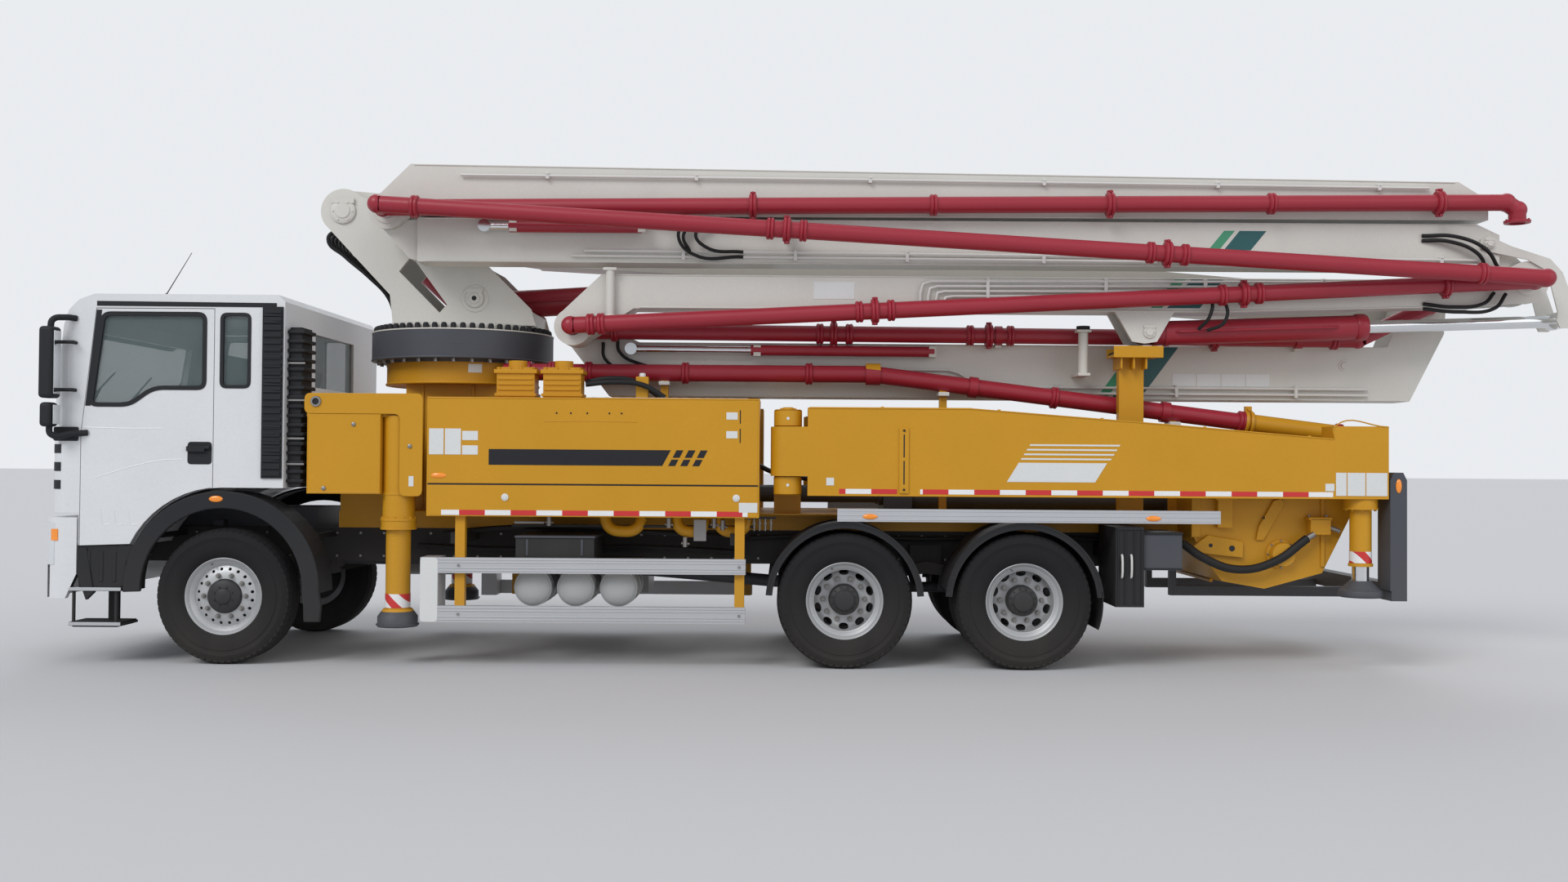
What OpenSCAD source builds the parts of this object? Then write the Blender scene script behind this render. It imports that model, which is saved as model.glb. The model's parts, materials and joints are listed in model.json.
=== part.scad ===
// Truck-mounted concrete pump with a five-section placing boom, parked with its boom folded.
// X runs from the cab (minus) to the hopper (plus), minus Y is the driver's left, Z is up from the ground.

/* [Wheels] */
// Height of the wheel centres
axle_z = 530; // [515:1:545]
// Outer radius of the tyres
tyre_r = 530; // [515:1:545]
// Width of one tyre
tyre_w = 290; // [270:1:300]
// Seat radius of the rims
rim_r = 292; // [286:1:296]
// Front axle place along the truck
front_axle_x = -4650; // [-4670:1:-4630]
// First rear axle place
rear_axle_x = 200; // [180:1:220]
// Distance between the rear axles
rear_spacing = 1400; // [1380:1:1420]
// Sideways place of a front wheel's middle
front_track = 1065; // [1055:1:1075]
// Sideways place of the inner rear tyre's middle
inner_track = 750; // [745:1:755]
// Sideways place of the outer rear tyre's middle
outer_track = 1090; // [1085:1:1095]
// Sideways place of the king pins
king_y = 840; // [830:1:845]

/* [Chassis] */
// Front end of the side rails
rail_front = -5650; // [-5700:1:-5600]
// Back end of the side rails
rail_back = 2950; // [2900:1:2960]
// Underside of the rails
rail_low = 760; // [750:1:770]
// Top of the rails
rail_high = 1040; // [1030:1:1045]
// Outer face of the rails
rail_out = 430; // [425:1:432]
// Top of the subframe
deck_z = 1180; // [1170:1:1190]

/* [Cab] */
// Front face of the cab
cab_front = -6040; // [-6045:1:-6030]
// Rear wall of the cab
cab_back = -4174; // [-4180:1:-4160]
// Top of the roof
cab_top = 2885; // [2860:1:2900]
// Thickness of the walls and doors
wall = 60; // [50:1:60]
// Front edge of the doors
door_front = -5750; // [-5755:1:-5740]
// Rear edge of the doors
door_back = -4726; // [-4735:1:-4720]
// Radius of the wheel arch in the cab and doors
arch_r = 790; // [785:1:795]

/* [Body sides] */
// Half width of the whole truck
half_w = 1250; // [1245:1:1250]
// Front end of the side boxes
box_front = -3056; // [-3070:1:-3040]
// Back end of the side boxes
box_back = -472; // [-480:1:-460]
// Underside of the side boxes
box_low = 1172; // [1165:1:1180]
// Top of the side boxes
box_high = 2099; // [2090:1:2105]

/* [Outriggers] */
// Place of the front legs along the truck
front_leg_x = -3307; // [-3310:1:-3300]
// Place of the rear swing pins
swing_x = -250; // [-255:1:-245]
// Place of the rear legs
rear_leg_x = 4258; // [4250:1:4260]

/* [Boom] */
// Centre of the slewing ring along the truck
ring_x = -3060; // [-3065:1:-3055]
// Radius of the slewing ring
ring_r = 765; // [755:1:770]
// Width of sections three to five
arm_w = 300; // [290:2:300]
// Radius of the delivery pipe
pipe_r = 66; // [60:1:66]

/* [Hidden] */
$fn = 48;
yellow = [0.80, 0.58, 0.14];
cab_white = [0.90, 0.90, 0.89];
boom_white = [0.82, 0.80, 0.77];
crimson = [0.58, 0.12, 0.17];
black = [0.10, 0.10, 0.11];
silver = [0.72, 0.73, 0.74];
slate = [0.27, 0.28, 0.30];
gap = 8;
seat = 0.3;
elbow = 8;
// The cab and fenders end this far inside the truck's widest places
side_inset = 10;
cab_half = half_w - side_inset;
// Both pairs of legs and the rear swing pins stand in line
front_leg_y = half_w - 140;
swing_y = half_w - 140;
hopper_half = half_w - 350;
// Outer and inner faces of the rear outrigger arms
arm_out = half_w - 5;
arm_in = half_w - 265;

// Boom pivots as [x, z]
j0 = [-4000, 3693];
j12 = [5100, 2950];
j23 = [-1992, 2690];
j34 = [5707, 3100];
j45 = [-3500, 3620];
tip = [5476, 3723];
// Sideways bands of the sections as [near, far]
band_1 = [10, 350];
band_2 = [-385, -60];
band_3 = [-560 - arm_w, -560];
// Sideways places of the delivery pipe on sections one to five and the turret
pipe_turret_y = 640;
pipe_1_y = 460;
pipe_2_y = -460;
pipe_3_y = -970;
pipe_4_y = -1140;
pipe_5_y = -970;
// Planes where the pipes of the sections meet end to end at the folding pins
join_y = -1050;
join_gap = 1;
raise_pin = [-2885, 2965];
raise_eye = [-500, 3110];
raise_y = 180;
fold_pin = [2658, 2677];
fold_eye = [6000, 2800];
link_pin = [5383, 3407];
ram_3 = [[965, 2537], [-1560, 2545]];
ram_5 = [[-1431, 3486], [-2690, 3486]];
ram_5_y = -930;
fold_y = -710;
// Thickness of the folding link's plates and their running gap to the sections
link_t = 14;
link_gap = 6;
// Pin about which the cab tilts
tilt_pin = [-6000, 1130];
tilt_pin_r = 12;

function arc(c, r, a0, a1, n) = [for (i = [0:n]) c + r * [cos(a0 + (a1 - a0) * i / n), sin(a0 + (a1 - a0) * i / n)]];

// A side-view outline in [x, z] drawn from y0 to y1
module side(y0, y1) {
    translate([0, y1, 0]) rotate([90, 0, 0]) linear_extrude(y1 - y0) children();
}

// A round bar along Y at a side-view point
module pin(p, r, y0, y1) {
    translate([p[0], y1, p[1]]) rotate([90, 0, 0]) cylinder(r = r, h = y1 - y0);
}

// A box between two corners
module block(a, b) {
    translate(a) cube(b - a);
}

module both_sides() {
    children();
    mirror([0, 1, 0]) children();
}

// A round bar between two points
module bar(a, b, r) {
    d = b - a;
    translate(a) rotate([0, acos(d[2] / norm(d)), atan2(d[1], d[0])]) cylinder(r = r, h = norm(d));
}

// Round pipe through points, with elbows a little fatter than the pipe
module run(points, r) {
    for (i = [0:len(points) - 2]) bar(points[i], points[i + 1], r);
    for (i = [1:1:len(points) - 2]) translate(points[i]) sphere(r = r + elbow);
}

// Wheels

// Tyre ring about Y, its middle at y
module tyre(y) {
    h = tyre_w / 2;
    translate([0, y, 0]) rotate([90, 0, 0]) rotate_extrude()
        polygon([[rim_r, -h + 40], [rim_r + 60, -h], [tyre_r - 70, -h], [tyre_r, -h + 35],
            [tyre_r, h - 35], [tyre_r - 70, h], [rim_r + 60, h], [rim_r, h - 40]]);
}

// Rim ring with a dished disc; dish is the disc's place from the middle, out is +1 or -1
module rim(y, dish, out) {
    h = tyre_w / 2 - 40;
    disc = y + out * dish;
    difference() {
        union() {
            translate([0, y, 0]) rotate([90, 0, 0]) rotate_extrude()
                polygon([[rim_r, -h], [rim_r, h], [rim_r - 14, h], [rim_r - 40, h - 30], [rim_r - 40, -h + 30],
                    [rim_r - 14, -h]]);
            pin([0, 0], rim_r - 39, disc - 9, disc + 9);
        }
        pin([0, 0], 80, disc - 20, disc + 20);
        for (i = [0:9]) pin(arc([0, 0], 205, 36 * i, 36 * i, 1)[0], 28, disc - 20, disc + 20);
    }
}

// Left hub from y0 to y1 with a wider flange from f0 to f1, bored for its stub
module hub(y0, y1, r, f0, f1) {
    mirror([0, 1, 0]) difference() {
        union() {
            pin([0, 0], r, y0, y1);
            pin([0, 0], 130, f0, f1);
        }
        pin([0, 0], 58, y0 - 1, y1 - 40);
    }
}

module front_tyre() color(black) translate([front_axle_x, 0, axle_z]) tyre(-front_track);
module front_rim() {
    color(silver) translate([front_axle_x, 0, axle_z]) {
        rim(-front_track, 70, -1);
        hub(front_track - 60, front_track + 120, 81, front_track + 40, front_track + 61);
    }
}
module twin_tyres(x) color(black) translate([x, 0, axle_z]) {
    tyre(-inner_track);
    tyre(-outer_track);
}
module twin_rims(x) {
    color(silver) translate([x, 0, axle_z]) {
        rim(-inner_track, 60, -1);
        rim(-outer_track, 60, 1);
        hub(inner_track - 60, outer_track + 70, 81, inner_track + 69, outer_track - 69);
    }
}

module tyre_front_left() front_tyre();
module tyre_front_right() mirror([0, 1, 0]) front_tyre();
module tyres_mid_left() twin_tyres(rear_axle_x);
module tyres_mid_right() mirror([0, 1, 0]) twin_tyres(rear_axle_x);
module tyres_back_left() twin_tyres(rear_axle_x + rear_spacing);
module tyres_back_right() mirror([0, 1, 0]) twin_tyres(rear_axle_x + rear_spacing);
module rim_front_left() front_rim();
module rim_front_right() mirror([0, 1, 0]) front_rim();
module rims_mid_left() twin_rims(rear_axle_x);
module rims_mid_right() mirror([0, 1, 0]) twin_rims(rear_axle_x);
module rims_back_left() twin_rims(rear_axle_x + rear_spacing);
module rims_back_right() mirror([0, 1, 0]) twin_rims(rear_axle_x + rear_spacing);

// Axles, springs and steering

module front_axle() {
    color(slate) {
        side(-620, 620) translate([front_axle_x - 55, 420]) square([110, 90]);
        both_sides() {
            side(600, king_y - 62) translate([front_axle_x - 45, 450]) square([90, 100]);
            translate([front_axle_x, king_y, 460]) cylinder(r = 63, h = 140);
        }
        both_sides() block([front_axle_x - 60, 360, 509], [front_axle_x + 60, 425, 590]);
    }
}

module knuckle() {
    color(slate) translate([front_axle_x, -king_y, 0]) {
        for (z = [390, 606]) translate([0, 0, z]) cylinder(r = 58, h = 64);
        block([-45, -112, 390], [45, -70, 670]);
        for (z = [390, 606]) block([-45, -100, z], [45, 0, z + 64]);
        pin([0, axle_z], 50, -300, -100);
    }
}
module knuckle_left() knuckle();
module knuckle_right() mirror([0, 1, 0]) knuckle();

axle_tube_r = 78;
module rear_axle(x) {
    color(slate) translate([x, 0, axle_z]) {
        sphere(r = 205);
        pin([0, 0], axle_tube_r, -590, 590);
        pin([0, 0], 50, -1080, 1080);
    }
}
module rear_axles() for (x = [rear_axle_x, rear_axle_x + rear_spacing]) rear_axle(x);

module leaf_springs() {
    mid = rear_axle_x + rear_spacing / 2;
    color(black) both_sides() {
        side(355, 425) polygon(concat(arc([front_axle_x, 3590], 3000, 257, 283, 12),
            arc([front_axle_x, 3590], 2930, 283, 257, 12)));
        for (s = [-1, 1]) block([front_axle_x + s * 640 - 45, 355, 715], [front_axle_x + s * 640 + 45, 425, rail_low]);
        side(490, 580) polygon([[rear_axle_x - 60, 609], [mid, 700], [rear_axle_x + rear_spacing + 60, 609],
            [rear_axle_x + rear_spacing + 60, 640], [mid, 800], [rear_axle_x - 60, 640]]);
        for (x = [rear_axle_x, rear_axle_x + rear_spacing])
            block([x - 60, 490, axle_z + axle_tube_r + seat], [x + 60, 580, axle_z + axle_tube_r + 20]);
        block([mid - 130, rail_out, 690], [mid + 130, 491, 930]);
    }
}

// Chassis

module chassis_frame() {
    cross_x = [-5600, -3600, -2200, -700, 500, 1400, 2850];
    color(black) {
        both_sides() difference() {
            block([rail_front, rail_out - 80, rail_low], [rail_back, rail_out, rail_high]);
            block([rail_front - 1, rail_out - 81, rail_low + 10], [rail_back + 1, rail_out - 10, rail_high - 10]);
        }
        for (x = cross_x) block([x, -rail_out + 9, 800], [x + 90, rail_out - 9, 1000]);
        both_sides() {
            block([-5640, rail_out - 1, 820], [-5560, 1000, 900]);
            for (x = [-2900, -700]) block([x, rail_out - 1, 1040 - 90], [x + 80, 1100, 1040]);
        }
    }
}

hopper_front = 3010;
deck_y = 760;
module subframe() {
    color(yellow) {
        both_sides() block([-3990, rail_out - 80, rail_high], [hopper_front - seat, rail_out, deck_z]);
        for (x = [-3990, -3200, -2000, -900, -380, 700, 1900, 2870])
            block([x, -rail_out + 79, rail_high], [x + 80, rail_out - 79, deck_z]);
        block([-3430, -deck_y, deck_z], [2950, deck_y, deck_z + 12]);
        // Brackets that carry the rear swing pins
        both_sides() for (z = [[1360, 1492], [1894, 2013]]) {
            block([swing_x - 110, 560, z[0]], [swing_x + 110, swing_y, z[1]]);
            translate([swing_x, swing_y, z[0]]) cylinder(r = 110, h = z[1] - z[0]);
        }
        both_sides() block([swing_x - 110, 500, deck_z + 12], [swing_x + 110, 640, 2013]);
        both_sides() translate([swing_x, swing_y, 1491]) cylinder(r = 40, h = 404);
    }
}

module engine() {
    color(slate) block([-5400, -335, 640], [-4200, 335, 1200]);
    color(slate) both_sides() for (x = [-5050, -4400]) block([x, 334, rail_high + seat], [x + 90, rail_out - 20, rail_high + 50]);
}

module fenders() {
    color(black) both_sides() {
        side(900, cab_half) polygon(concat(arc([front_axle_x, 590], 760, -2, 182, 28),
            arc([front_axle_x, 590], 740, 182, -2, 28)));
        for (s = [-1, 1]) block([front_axle_x + s * 622 - 20, rail_out, 970], [front_axle_x + s * 622 + 20, 901, 1010]);
        for (x = [rear_axle_x, rear_axle_x + rear_spacing]) {
            side(620, cab_half) polygon(concat(arc([x, axle_z], 612, 8, 172, 24), arc([x, axle_z], 600, 172, 8, 24)));
            block([x - 20, rail_out, 1104], [x + 20, 625, 1134]);
        }
    }
}

// Cab

module cab_outline() {
    polygon(concat([[cab_front, 1180], [cab_front, 1700], [cab_front + 10, 1800], [-5905, 2640], [-5860, 2760],
        [-5780, 2840], [-5660, cab_top], [-4230, cab_top], [cab_back, 2830], [cab_back, 1380]],
        arc([front_axle_x, 590], arch_r, 90, 155, 10), [[door_front - 10, 924], [door_front - 10, 1180]]));
}
module cab_inside_outline() {
    t = wall;
    polygon(concat([[cab_front + t, 1250], [cab_front + t, 1700], [cab_front + t + 10, 1800], [-5845, 2625],
        [-5790, 2730], [-5650, cab_top - t], [cab_back - t, cab_top - t], [cab_back - t, 1440]],
        arc([front_axle_x, 590], arch_r + t, 90, 151, 10), [[door_front + t, 1002], [door_front + t, 1250]]));
}
module cab_plan(inset, r) {
    y = cab_half - inset;
    x = cab_front + inset;
    polygon(concat([[cab_back - inset, -y], [cab_back - inset, y]], arc([x + r, y - r], r, 90, 180, 8),
        arc([x + r, r - y], r, 180, 270, 8)));
}
module cab_outer() {
    intersection() {
        side(-cab_half, cab_half) cab_outline();
        translate([0, 0, 800]) linear_extrude(2200) cab_plan(0, 220);
    }
}
module windscreen_cut() block([cab_front - 10, 200 - cab_half, 1850], [-5700, cab_half - 200, 2620]);
// g is the gap round the edge and drop how far the outline reaches below the door's lower edge
module door_outline(g, drop) {
    polygon(concat([[door_front - g, 924 - drop], [door_front - g, 1800], [-5640 - g, 2770 + g],
        [door_back + g, 2770 + g], [door_back + g, 1376 - drop]],
        arc([front_axle_x, 590], arch_r + 4 - drop, 97, 154, 8)));
}
module door_window_outline() {
    polygon([[-5680, 2025], [-5380, 2025], [-5196, 2159], [-4802, 2159], [-4802, 2725], [-5585, 2725]]);
}
module quarter_outline() polygon([[-4660, 2170], [-4453, 2170], [-4453, 2725], [-4660, 2725]]);
module rear_window_cut() block([cab_back - 100, -520, 2200], [cab_back + 10, 520, 2640]);

module cab_shell() {
    // Ears that hang on the tilting pins
    color(cab_white) both_sides() difference() {
        side(310, 370) {
            translate(tilt_pin) circle(r = 22);
            translate([tilt_pin[0] - 12, tilt_pin[1]]) square([24, 51]);
        }
        pin(tilt_pin, tilt_pin_r + seat, 309, 371);
    }
    color(cab_white) difference() {
        cab_outer();
        difference() {
            intersection() {
                side(-cab_half + wall, cab_half - wall) cab_inside_outline();
                translate([0, 0, 800]) linear_extrude(2200) cab_plan(wall, 180);
            }
            block([-5500, -520, 900], [-4100, 520, 1500]);
            block([-5900, -520, 900], [-5499, 520, 1120]);
        }
        // Engine bay and room for the rails under the floor
        block([-5500, -470, 800], [-4100, 470, 1430]);
        block([-5800, -470, 800], [-5499, 470, 1060]);
        windscreen_cut();
        rear_window_cut();
        both_sides() {
            side(cab_half - wall - 10, cab_half + 10) door_outline(6, 30);
            side(cab_half - wall - 10, cab_half + 10) quarter_outline();
        }
    }
}

module cab_glass() {
    color([0.25, 0.32, 0.36, 0.5]) {
        difference() {
            intersection() {
                cab_outer();
                windscreen_cut();
            }
            translate([14, 0, 0]) cab_outer();
        }
        block([cab_back - 30, -520, 2200], [cab_back - 20, 520, 2640]);
        both_sides() side(cab_half - 30, cab_half - 20) quarter_outline();
    }
}

seat_y = 740;
module cab_interior() {
    color([0.22, 0.22, 0.24]) {
        for (y = [-seat_y, seat_y]) {
            side(y - 200, y + 200) polygon(concat(arc([front_axle_x, 590], arch_r + wall + seat, 102.2, 126.6, 4),
                [[-5157, 1641], [-4829.7, 1641]]));
            block([-5250, y - 260, 1640], [-4720, y + 260, 1780]);
            side(y - 250, y + 250) polygon([[-4860, 1780], [-4720, 1780], [-4600, 2400], [-4720, 2430]]);
        }
        side(-990, 990) polygon([[cab_front + wall + seat, 1500], [cab_front + wall + seat, 1690], [-5950, 1840],
            [-5640, 1840], [-5640, 1500]]);
        bar([-5660, -seat_y, 1700], [-5480, -seat_y, 1910], 30);
        translate([-5480, -seat_y, 1910]) rotate([0, 40, 0]) rotate_extrude() translate([215, 0]) circle(r = 16);
        translate([-5480, -seat_y, 1910]) rotate([0, 40, 0]) for (a = [0, 120, 240])
            rotate([0, 0, a]) rotate([0, 90, 0]) cylinder(r = 12, h = 215);
    }
}

module door() {
    color(cab_white) difference() {
        side(-cab_half, -cab_half + wall) door_outline(0, 0);
        side(-cab_half - 10, -cab_half + wall + 10) door_window_outline();
    }
    color([0.25, 0.32, 0.36, 0.5]) side(-cab_half + 20, -cab_half + 30) door_window_outline();
    color(black) block([-4920, -cab_half - 30, 1660], [-4780, -cab_half, 1700]);
}
module door_left() door();
module door_right() mirror([0, 1, 0]) door();

module cab_fittings() {
    color(black) {
        block([cab_front - 12, -900, 1250], [cab_front, 900, 1700]);
        for (z = [1290:90:1650]) block([cab_front - 30, -880, z], [cab_front - 12, 880, z + 40]);
        block([-4345, -cab_half - 14, 1454], [-4186, -cab_half, 2790]);
        for (z = [1480:60:2740]) block([-4335, -cab_half - 22, z], [-4196, -cab_half - 14, z + 30]);
    }
    color(black) both_sides() {
        block([-5990, cab_half + 50, 2080], [-5900, cab_half + 180, 2560]);
        for (z = [2130, 2500]) {
            bar([-5945, cab_half + 64, z], [-5786, cab_half + 64, z], 14);
            bar([-5800, cab_half + seat, z], [-5800, cab_half + 64, z], 14);
        }
    }
}

module front_bumper() {
    color(cab_white) difference() {
        intersection() {
            side(-cab_half, cab_half) polygon([[-6086, 512], [-6086, 1090], [-6040, 1140], [-5775, 1140],
                [-5775, 700], [-5860, 512]]);
            linear_extrude(1300) polygon(concat([[-5775, -cab_half], [-5775, cab_half]],
                arc([-5866, cab_half - 220], 220, 90, 180, 8), arc([-5866, 220 - cab_half], 220, 180, 270, 8)));
        }
        block([-6040, -cab_half + 50, 500], [-5700, cab_half - 50, 1100]);
        both_sides() block([tilt_pin[0] - 38, 300, 1090], [tilt_pin[0] + 30, 380, 1150]);
    }
    color(slate) both_sides() pin(tilt_pin, tilt_pin_r, 295, 385);
    color(black) both_sides() block([-6040, 300, 700], [rail_front, 380, 1000]);
    color([0.9, 0.9, 0.85]) both_sides() block([-6100, 700, 800], [-6080, 1000, 1000]);
    color(black) both_sides() {
        for (z = [300, 570]) block([-5830, 950, z], [-5420, cab_half, z + 20]);
        block([-5640, 950, 300], [-5560, 985, 820 - seat]);
    }
}

// Superstructure

module side_boxes() {
    color(yellow) both_sides() {
        block([box_front, deck_y + seat, box_low], [box_back, half_w, box_high]);
    }
    color(black) both_sides() block([-2565, half_w - 1, 1580], [-1160, half_w + 0, 1705]);
}

module side_guards() {
    color(silver) both_sides() {
        for (z = [[349, 476], [730, 850]]) block([-3075, half_w - 45, z[0]], [-573, half_w, z[1]]);
        block([-3100, half_w - 250, 349], [-2960, half_w - 5, 850]);
        block([138, half_w - 60, 1150], [3116, half_w, 1250]);
    }
    color(yellow) both_sides() {
        for (x = [-2840, -660]) block([x, half_w - 110, 349], [x + 76, half_w - 44, box_low]);
        for (x = [850, 2600]) {
            block([x, half_w - 150, deck_z], [x + 60, half_w - 59, deck_z + 50]);
            block([x, deck_y, deck_z], [x + 60, half_w - 149, deck_z + 40]);
        }
    }
}

module tanks() {
    color(silver) {
        for (x = [-2249, -1912, -1575]) {
            pin([x, 610], 147, 150 - half_w, -600);
            pin([x, 610], 110, 130 - half_w, -580);
        }
        block([-2380, 250 - half_w, 757], [-1400, -700, 835]);
    }
    color(black) block([-2380, 110 - half_w, 835], [-1765, -600, 1010]);
    color(black) block([-2380, -601, 850], [-1765, -rail_out, 950]);
    color(silver) block([-2400, 600, 420], [-1500, half_w - 100, 1000]);
    color(silver) block([-2300, rail_out, 800], [-1600, 601, 900]);
    color(black) block([2303, 10 - half_w, 500], [2525, -640, 1120]);
    color(black) block([2303, -641, 850], [2525, -rail_out, 950]);
    color(silver) block([2532, 50 - half_w, 785], [2830, -700, 1080]);
    color(silver) block([2532, -701, 850], [2830, -rail_out, 950]);
}

module rear_guard() {
    color(slate) {
        both_sides() {
            block([rail_back + seat, 350, 520], [3000, 425, rail_high - 10]);
            block([rail_back + seat, 350, 520], [4460, 425, 600]);
        }
        block([4450, 15 - half_w, 560], [4570, half_w - 15, 690]);
        both_sides() {
            side(half_w - 250, half_w - 15) polygon([[4440, 640], [4570, 640], [4570, 1500], [4540, 1560], [4470, 1560], [4440, 1500]]);
        }
    }
    color([0.7, 0.1, 0.1]) both_sides() block([4569, 700, 585], [4586, 960, 665]);
}

module hopper_outline(t) {
    polygon([[hopper_front + t, 1030], [3060 + t, 900], [3235 + t, 680 + t], [3573, 622 + t], [4035 - t, 750 + t],
        [4400 - t, 1480], [4400 - t, 1500], [hopper_front + t, 1500]]);
}
// Pin of the grate along the right side as [y, z]
grate_pin = [half_w - 388, 1537];
grate_pin_r = 22;
// Where the delivery pipe leaves the hopper
outlet = [4400, -550, 1330];
module hopper() {
    color(yellow) {
        difference() {
            union() {
                side(-hopper_half, hopper_half) hopper_outline(0);
                bar([4300, outlet[1], outlet[2]], [4400, outlet[1], outlet[2]], 82);
                for (x = [hopper_front, 4370]) block([x, hopper_half - 68, 1470], [x + 30, hopper_half - 8, 1567]);
            }
            side(20 - hopper_half, hopper_half - 20) hopper_outline(20);
            bar([hopper_front + 10, grate_pin[0], grate_pin[1]], [4390, grate_pin[0], grate_pin[1]], grate_pin_r + seat);
            block([3031, 21 - hopper_half, 1400], [4379, hopper_half - 21, 1600]);
            pin([3700, 900], 40, -hopper_half - 50, hopper_half + 50);
        }
    }
    color(slate) {
        pin([3700, 900], 39, -hopper_half - 60, hopper_half + 60);
        for (i = [0:5]) translate([3700, -700 + 280 * i, 900]) rotate([0, 60 * i, 0]) block([-30, -10, 0], [30, 10, 190]);
        for (y = [-hopper_half - 90, hopper_half]) pin([3700, 900], 90, y, y + 90);
    }
}

module hopper_grate() {
    color(black) {
        for (y = [-225, hopper_half - 110]) block([3080, y, 1512], [4240, y + 40, 1562]);
        for (x = [3088:104:4240]) block([x - 8, -224, 1520], [x + 8, grate_pin[0], 1555]);
        bar([hopper_front + 11, grate_pin[0], grate_pin[1]], [4389, grate_pin[0], grate_pin[1]], grate_pin_r);
    }
}

module pump_unit() {
    color(slate) {
        both_sides() bar([700, 180, 1340], [hopper_front - seat, 180, 1340], 125);
        both_sides() bar([-900, 180, 1340], [701, 180, 1340], 70);
        block([560, -340, 1192], [800, 340, 1520]);
    }
    color(yellow) block([-2000, -500, 1192], [-1300, 500, 1800]);
    color(yellow) for (x = [-2570, -2200]) block([x, -1000, box_high], [x + 300, -800, 2350]);
}

module deck_pipe() {
    y = outlet[1];
    bend = [450, y, 2340];
    drop = [4500, y, 1844];
    slope = (drop - bend) / norm(drop - bend);
    color(crimson) {
        bar([-2600, y, bend[2]], bend, 70);
        run([bend - slope * 12, drop, [drop[0], y, outlet[2]], outlet + [seat, 0, 0]], 70);
        bar(bend - [60, 0, 0], bend + [60, 0, 0], 90);
        for (d = [800, 2400]) bar(bend + slope * d, bend + slope * (d + 70), 86);
    }
    color(yellow) for (post = [[-1300, 2285], [1000, 2225], [2900, 1985]])
        block([post[0], y - 30, deck_z + 12], [post[0] + 60, y + 30, post[1]]);
}

module boom_rest() {
    color(yellow) {
        block([2440, -750, deck_z + 12], [2640, -660, 2500]);
        block([2380, -860, 2480], [2760, -560, 2500]);
        for (y = [-860, -580]) block([2380, y, 2499], [2760, y + 20, 2560]);
    }
}

// Front outriggers

module outrigger_housing() {
    color(yellow) difference() {
        block([-3990, 250 - half_w, 1340], [-3440, half_w - 250, 1960]);
        for (x = [-3940, -3700]) block([x, -half_w, 1400], [x + 210, half_w, 1900]);
    }
    color(yellow) both_sides() block([-3980, 350, deck_z], [-3450, 430, 1341]);
}

// beam_x is the front face of the sliding beam
module front_outrigger(beam_x) {
    color(yellow) difference() {
        union() {
            block([beam_x, 50 - half_w, 1400 + seat], [beam_x + 194, half_w - 310, 1900 - gap]);
            block([-3990, 5 - half_w, 1340], [-3420, 240 - half_w, 1960]);
            translate([front_leg_x, -front_leg_y, 1060]) cylinder(r = 124, h = 890);
            translate([front_leg_x, -front_leg_y, 1060]) cylinder(r = 134, h = 72);
            side(50 - half_w, 230 - half_w) polygon([[-4009, 1940], [-4009, 2060], [-3900, 2120], [-3230, 2120], [-3151, 2040],
                [-3151, 1330], [-3200, 1330], [-3200, 1940]]);
        }
        translate([front_leg_x, -front_leg_y, 1050]) cylinder(r = 100, h = 800);
    }
}
module outrigger_front_left() front_outrigger(-3932);
module outrigger_front_right() mirror([0, 1, 0]) front_outrigger(-3692);

module front_leg() {
    translate([front_leg_x, -front_leg_y, 0]) {
        color(silver) translate([0, 0, 430]) cylinder(r = 95, h = 1300);
        color(black) translate([0, 0, 380]) cylinder(r1 = 155, r2 = 110, h = 60);
        color(black) translate([0, 0, 300]) cylinder(r = 155, h = 80);
    }
}
module leg_front_left() front_leg();
module leg_front_right() mirror([0, 1, 0]) front_leg();

// Rear swing outriggers

module rear_outrigger() {
    color(yellow) difference() {
        union() {
            side(-arm_out, -arm_in) polygon([[-95, 1348], [-95, 2035], [1184, 2035], [2638, 1928], [3999, 1817],
                [3999, 1918], [4424, 1918], [4424, 1352]]);
            block([swing_x, -arm_out, 1500], [-94, -arm_in, 1886]);
            translate([swing_x, -swing_y, 1500]) cylinder(r = 135, h = 386);
            translate([rear_leg_x, -swing_y, 822]) cylinder(r = 82, h = 600);
            translate([rear_leg_x, -swing_y, 1270]) cylinder(r = 127, h = 90);
        }
        translate([swing_x, -swing_y, 1400]) cylinder(r = 40 + seat, h = 600);
        translate([rear_leg_x, -swing_y, 800]) cylinder(r = 68, h = 950);
    }
}
module outrigger_rear_left() rear_outrigger();
module outrigger_rear_right() mirror([0, 1, 0]) rear_outrigger();

module rear_leg() {
    translate([rear_leg_x, -swing_y, 0]) {
        color(silver) translate([0, 0, 640]) cylinder(r = 64, h = 1040);
        color(black) translate([0, 0, 630]) cylinder(r1 = 158, r2 = 80, h = 78);
        color(black) translate([0, 0, 581]) cylinder(r = 158, h = 50);
    }
}
module leg_rear_left() rear_leg();
module leg_rear_right() mirror([0, 1, 0]) rear_leg();

// Pedestal and turret

module pedestal() {
    color(yellow) {
        block([-3430, -470, deck_z + 12], [-2600, 470, 2240]);
        translate([ring_x, 0, 2239]) cylinder(r = 640, h = 207);
    }
    color(slate) translate([ring_x, 0, 2446]) cylinder(r = ring_r, h = 110);
}

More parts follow.
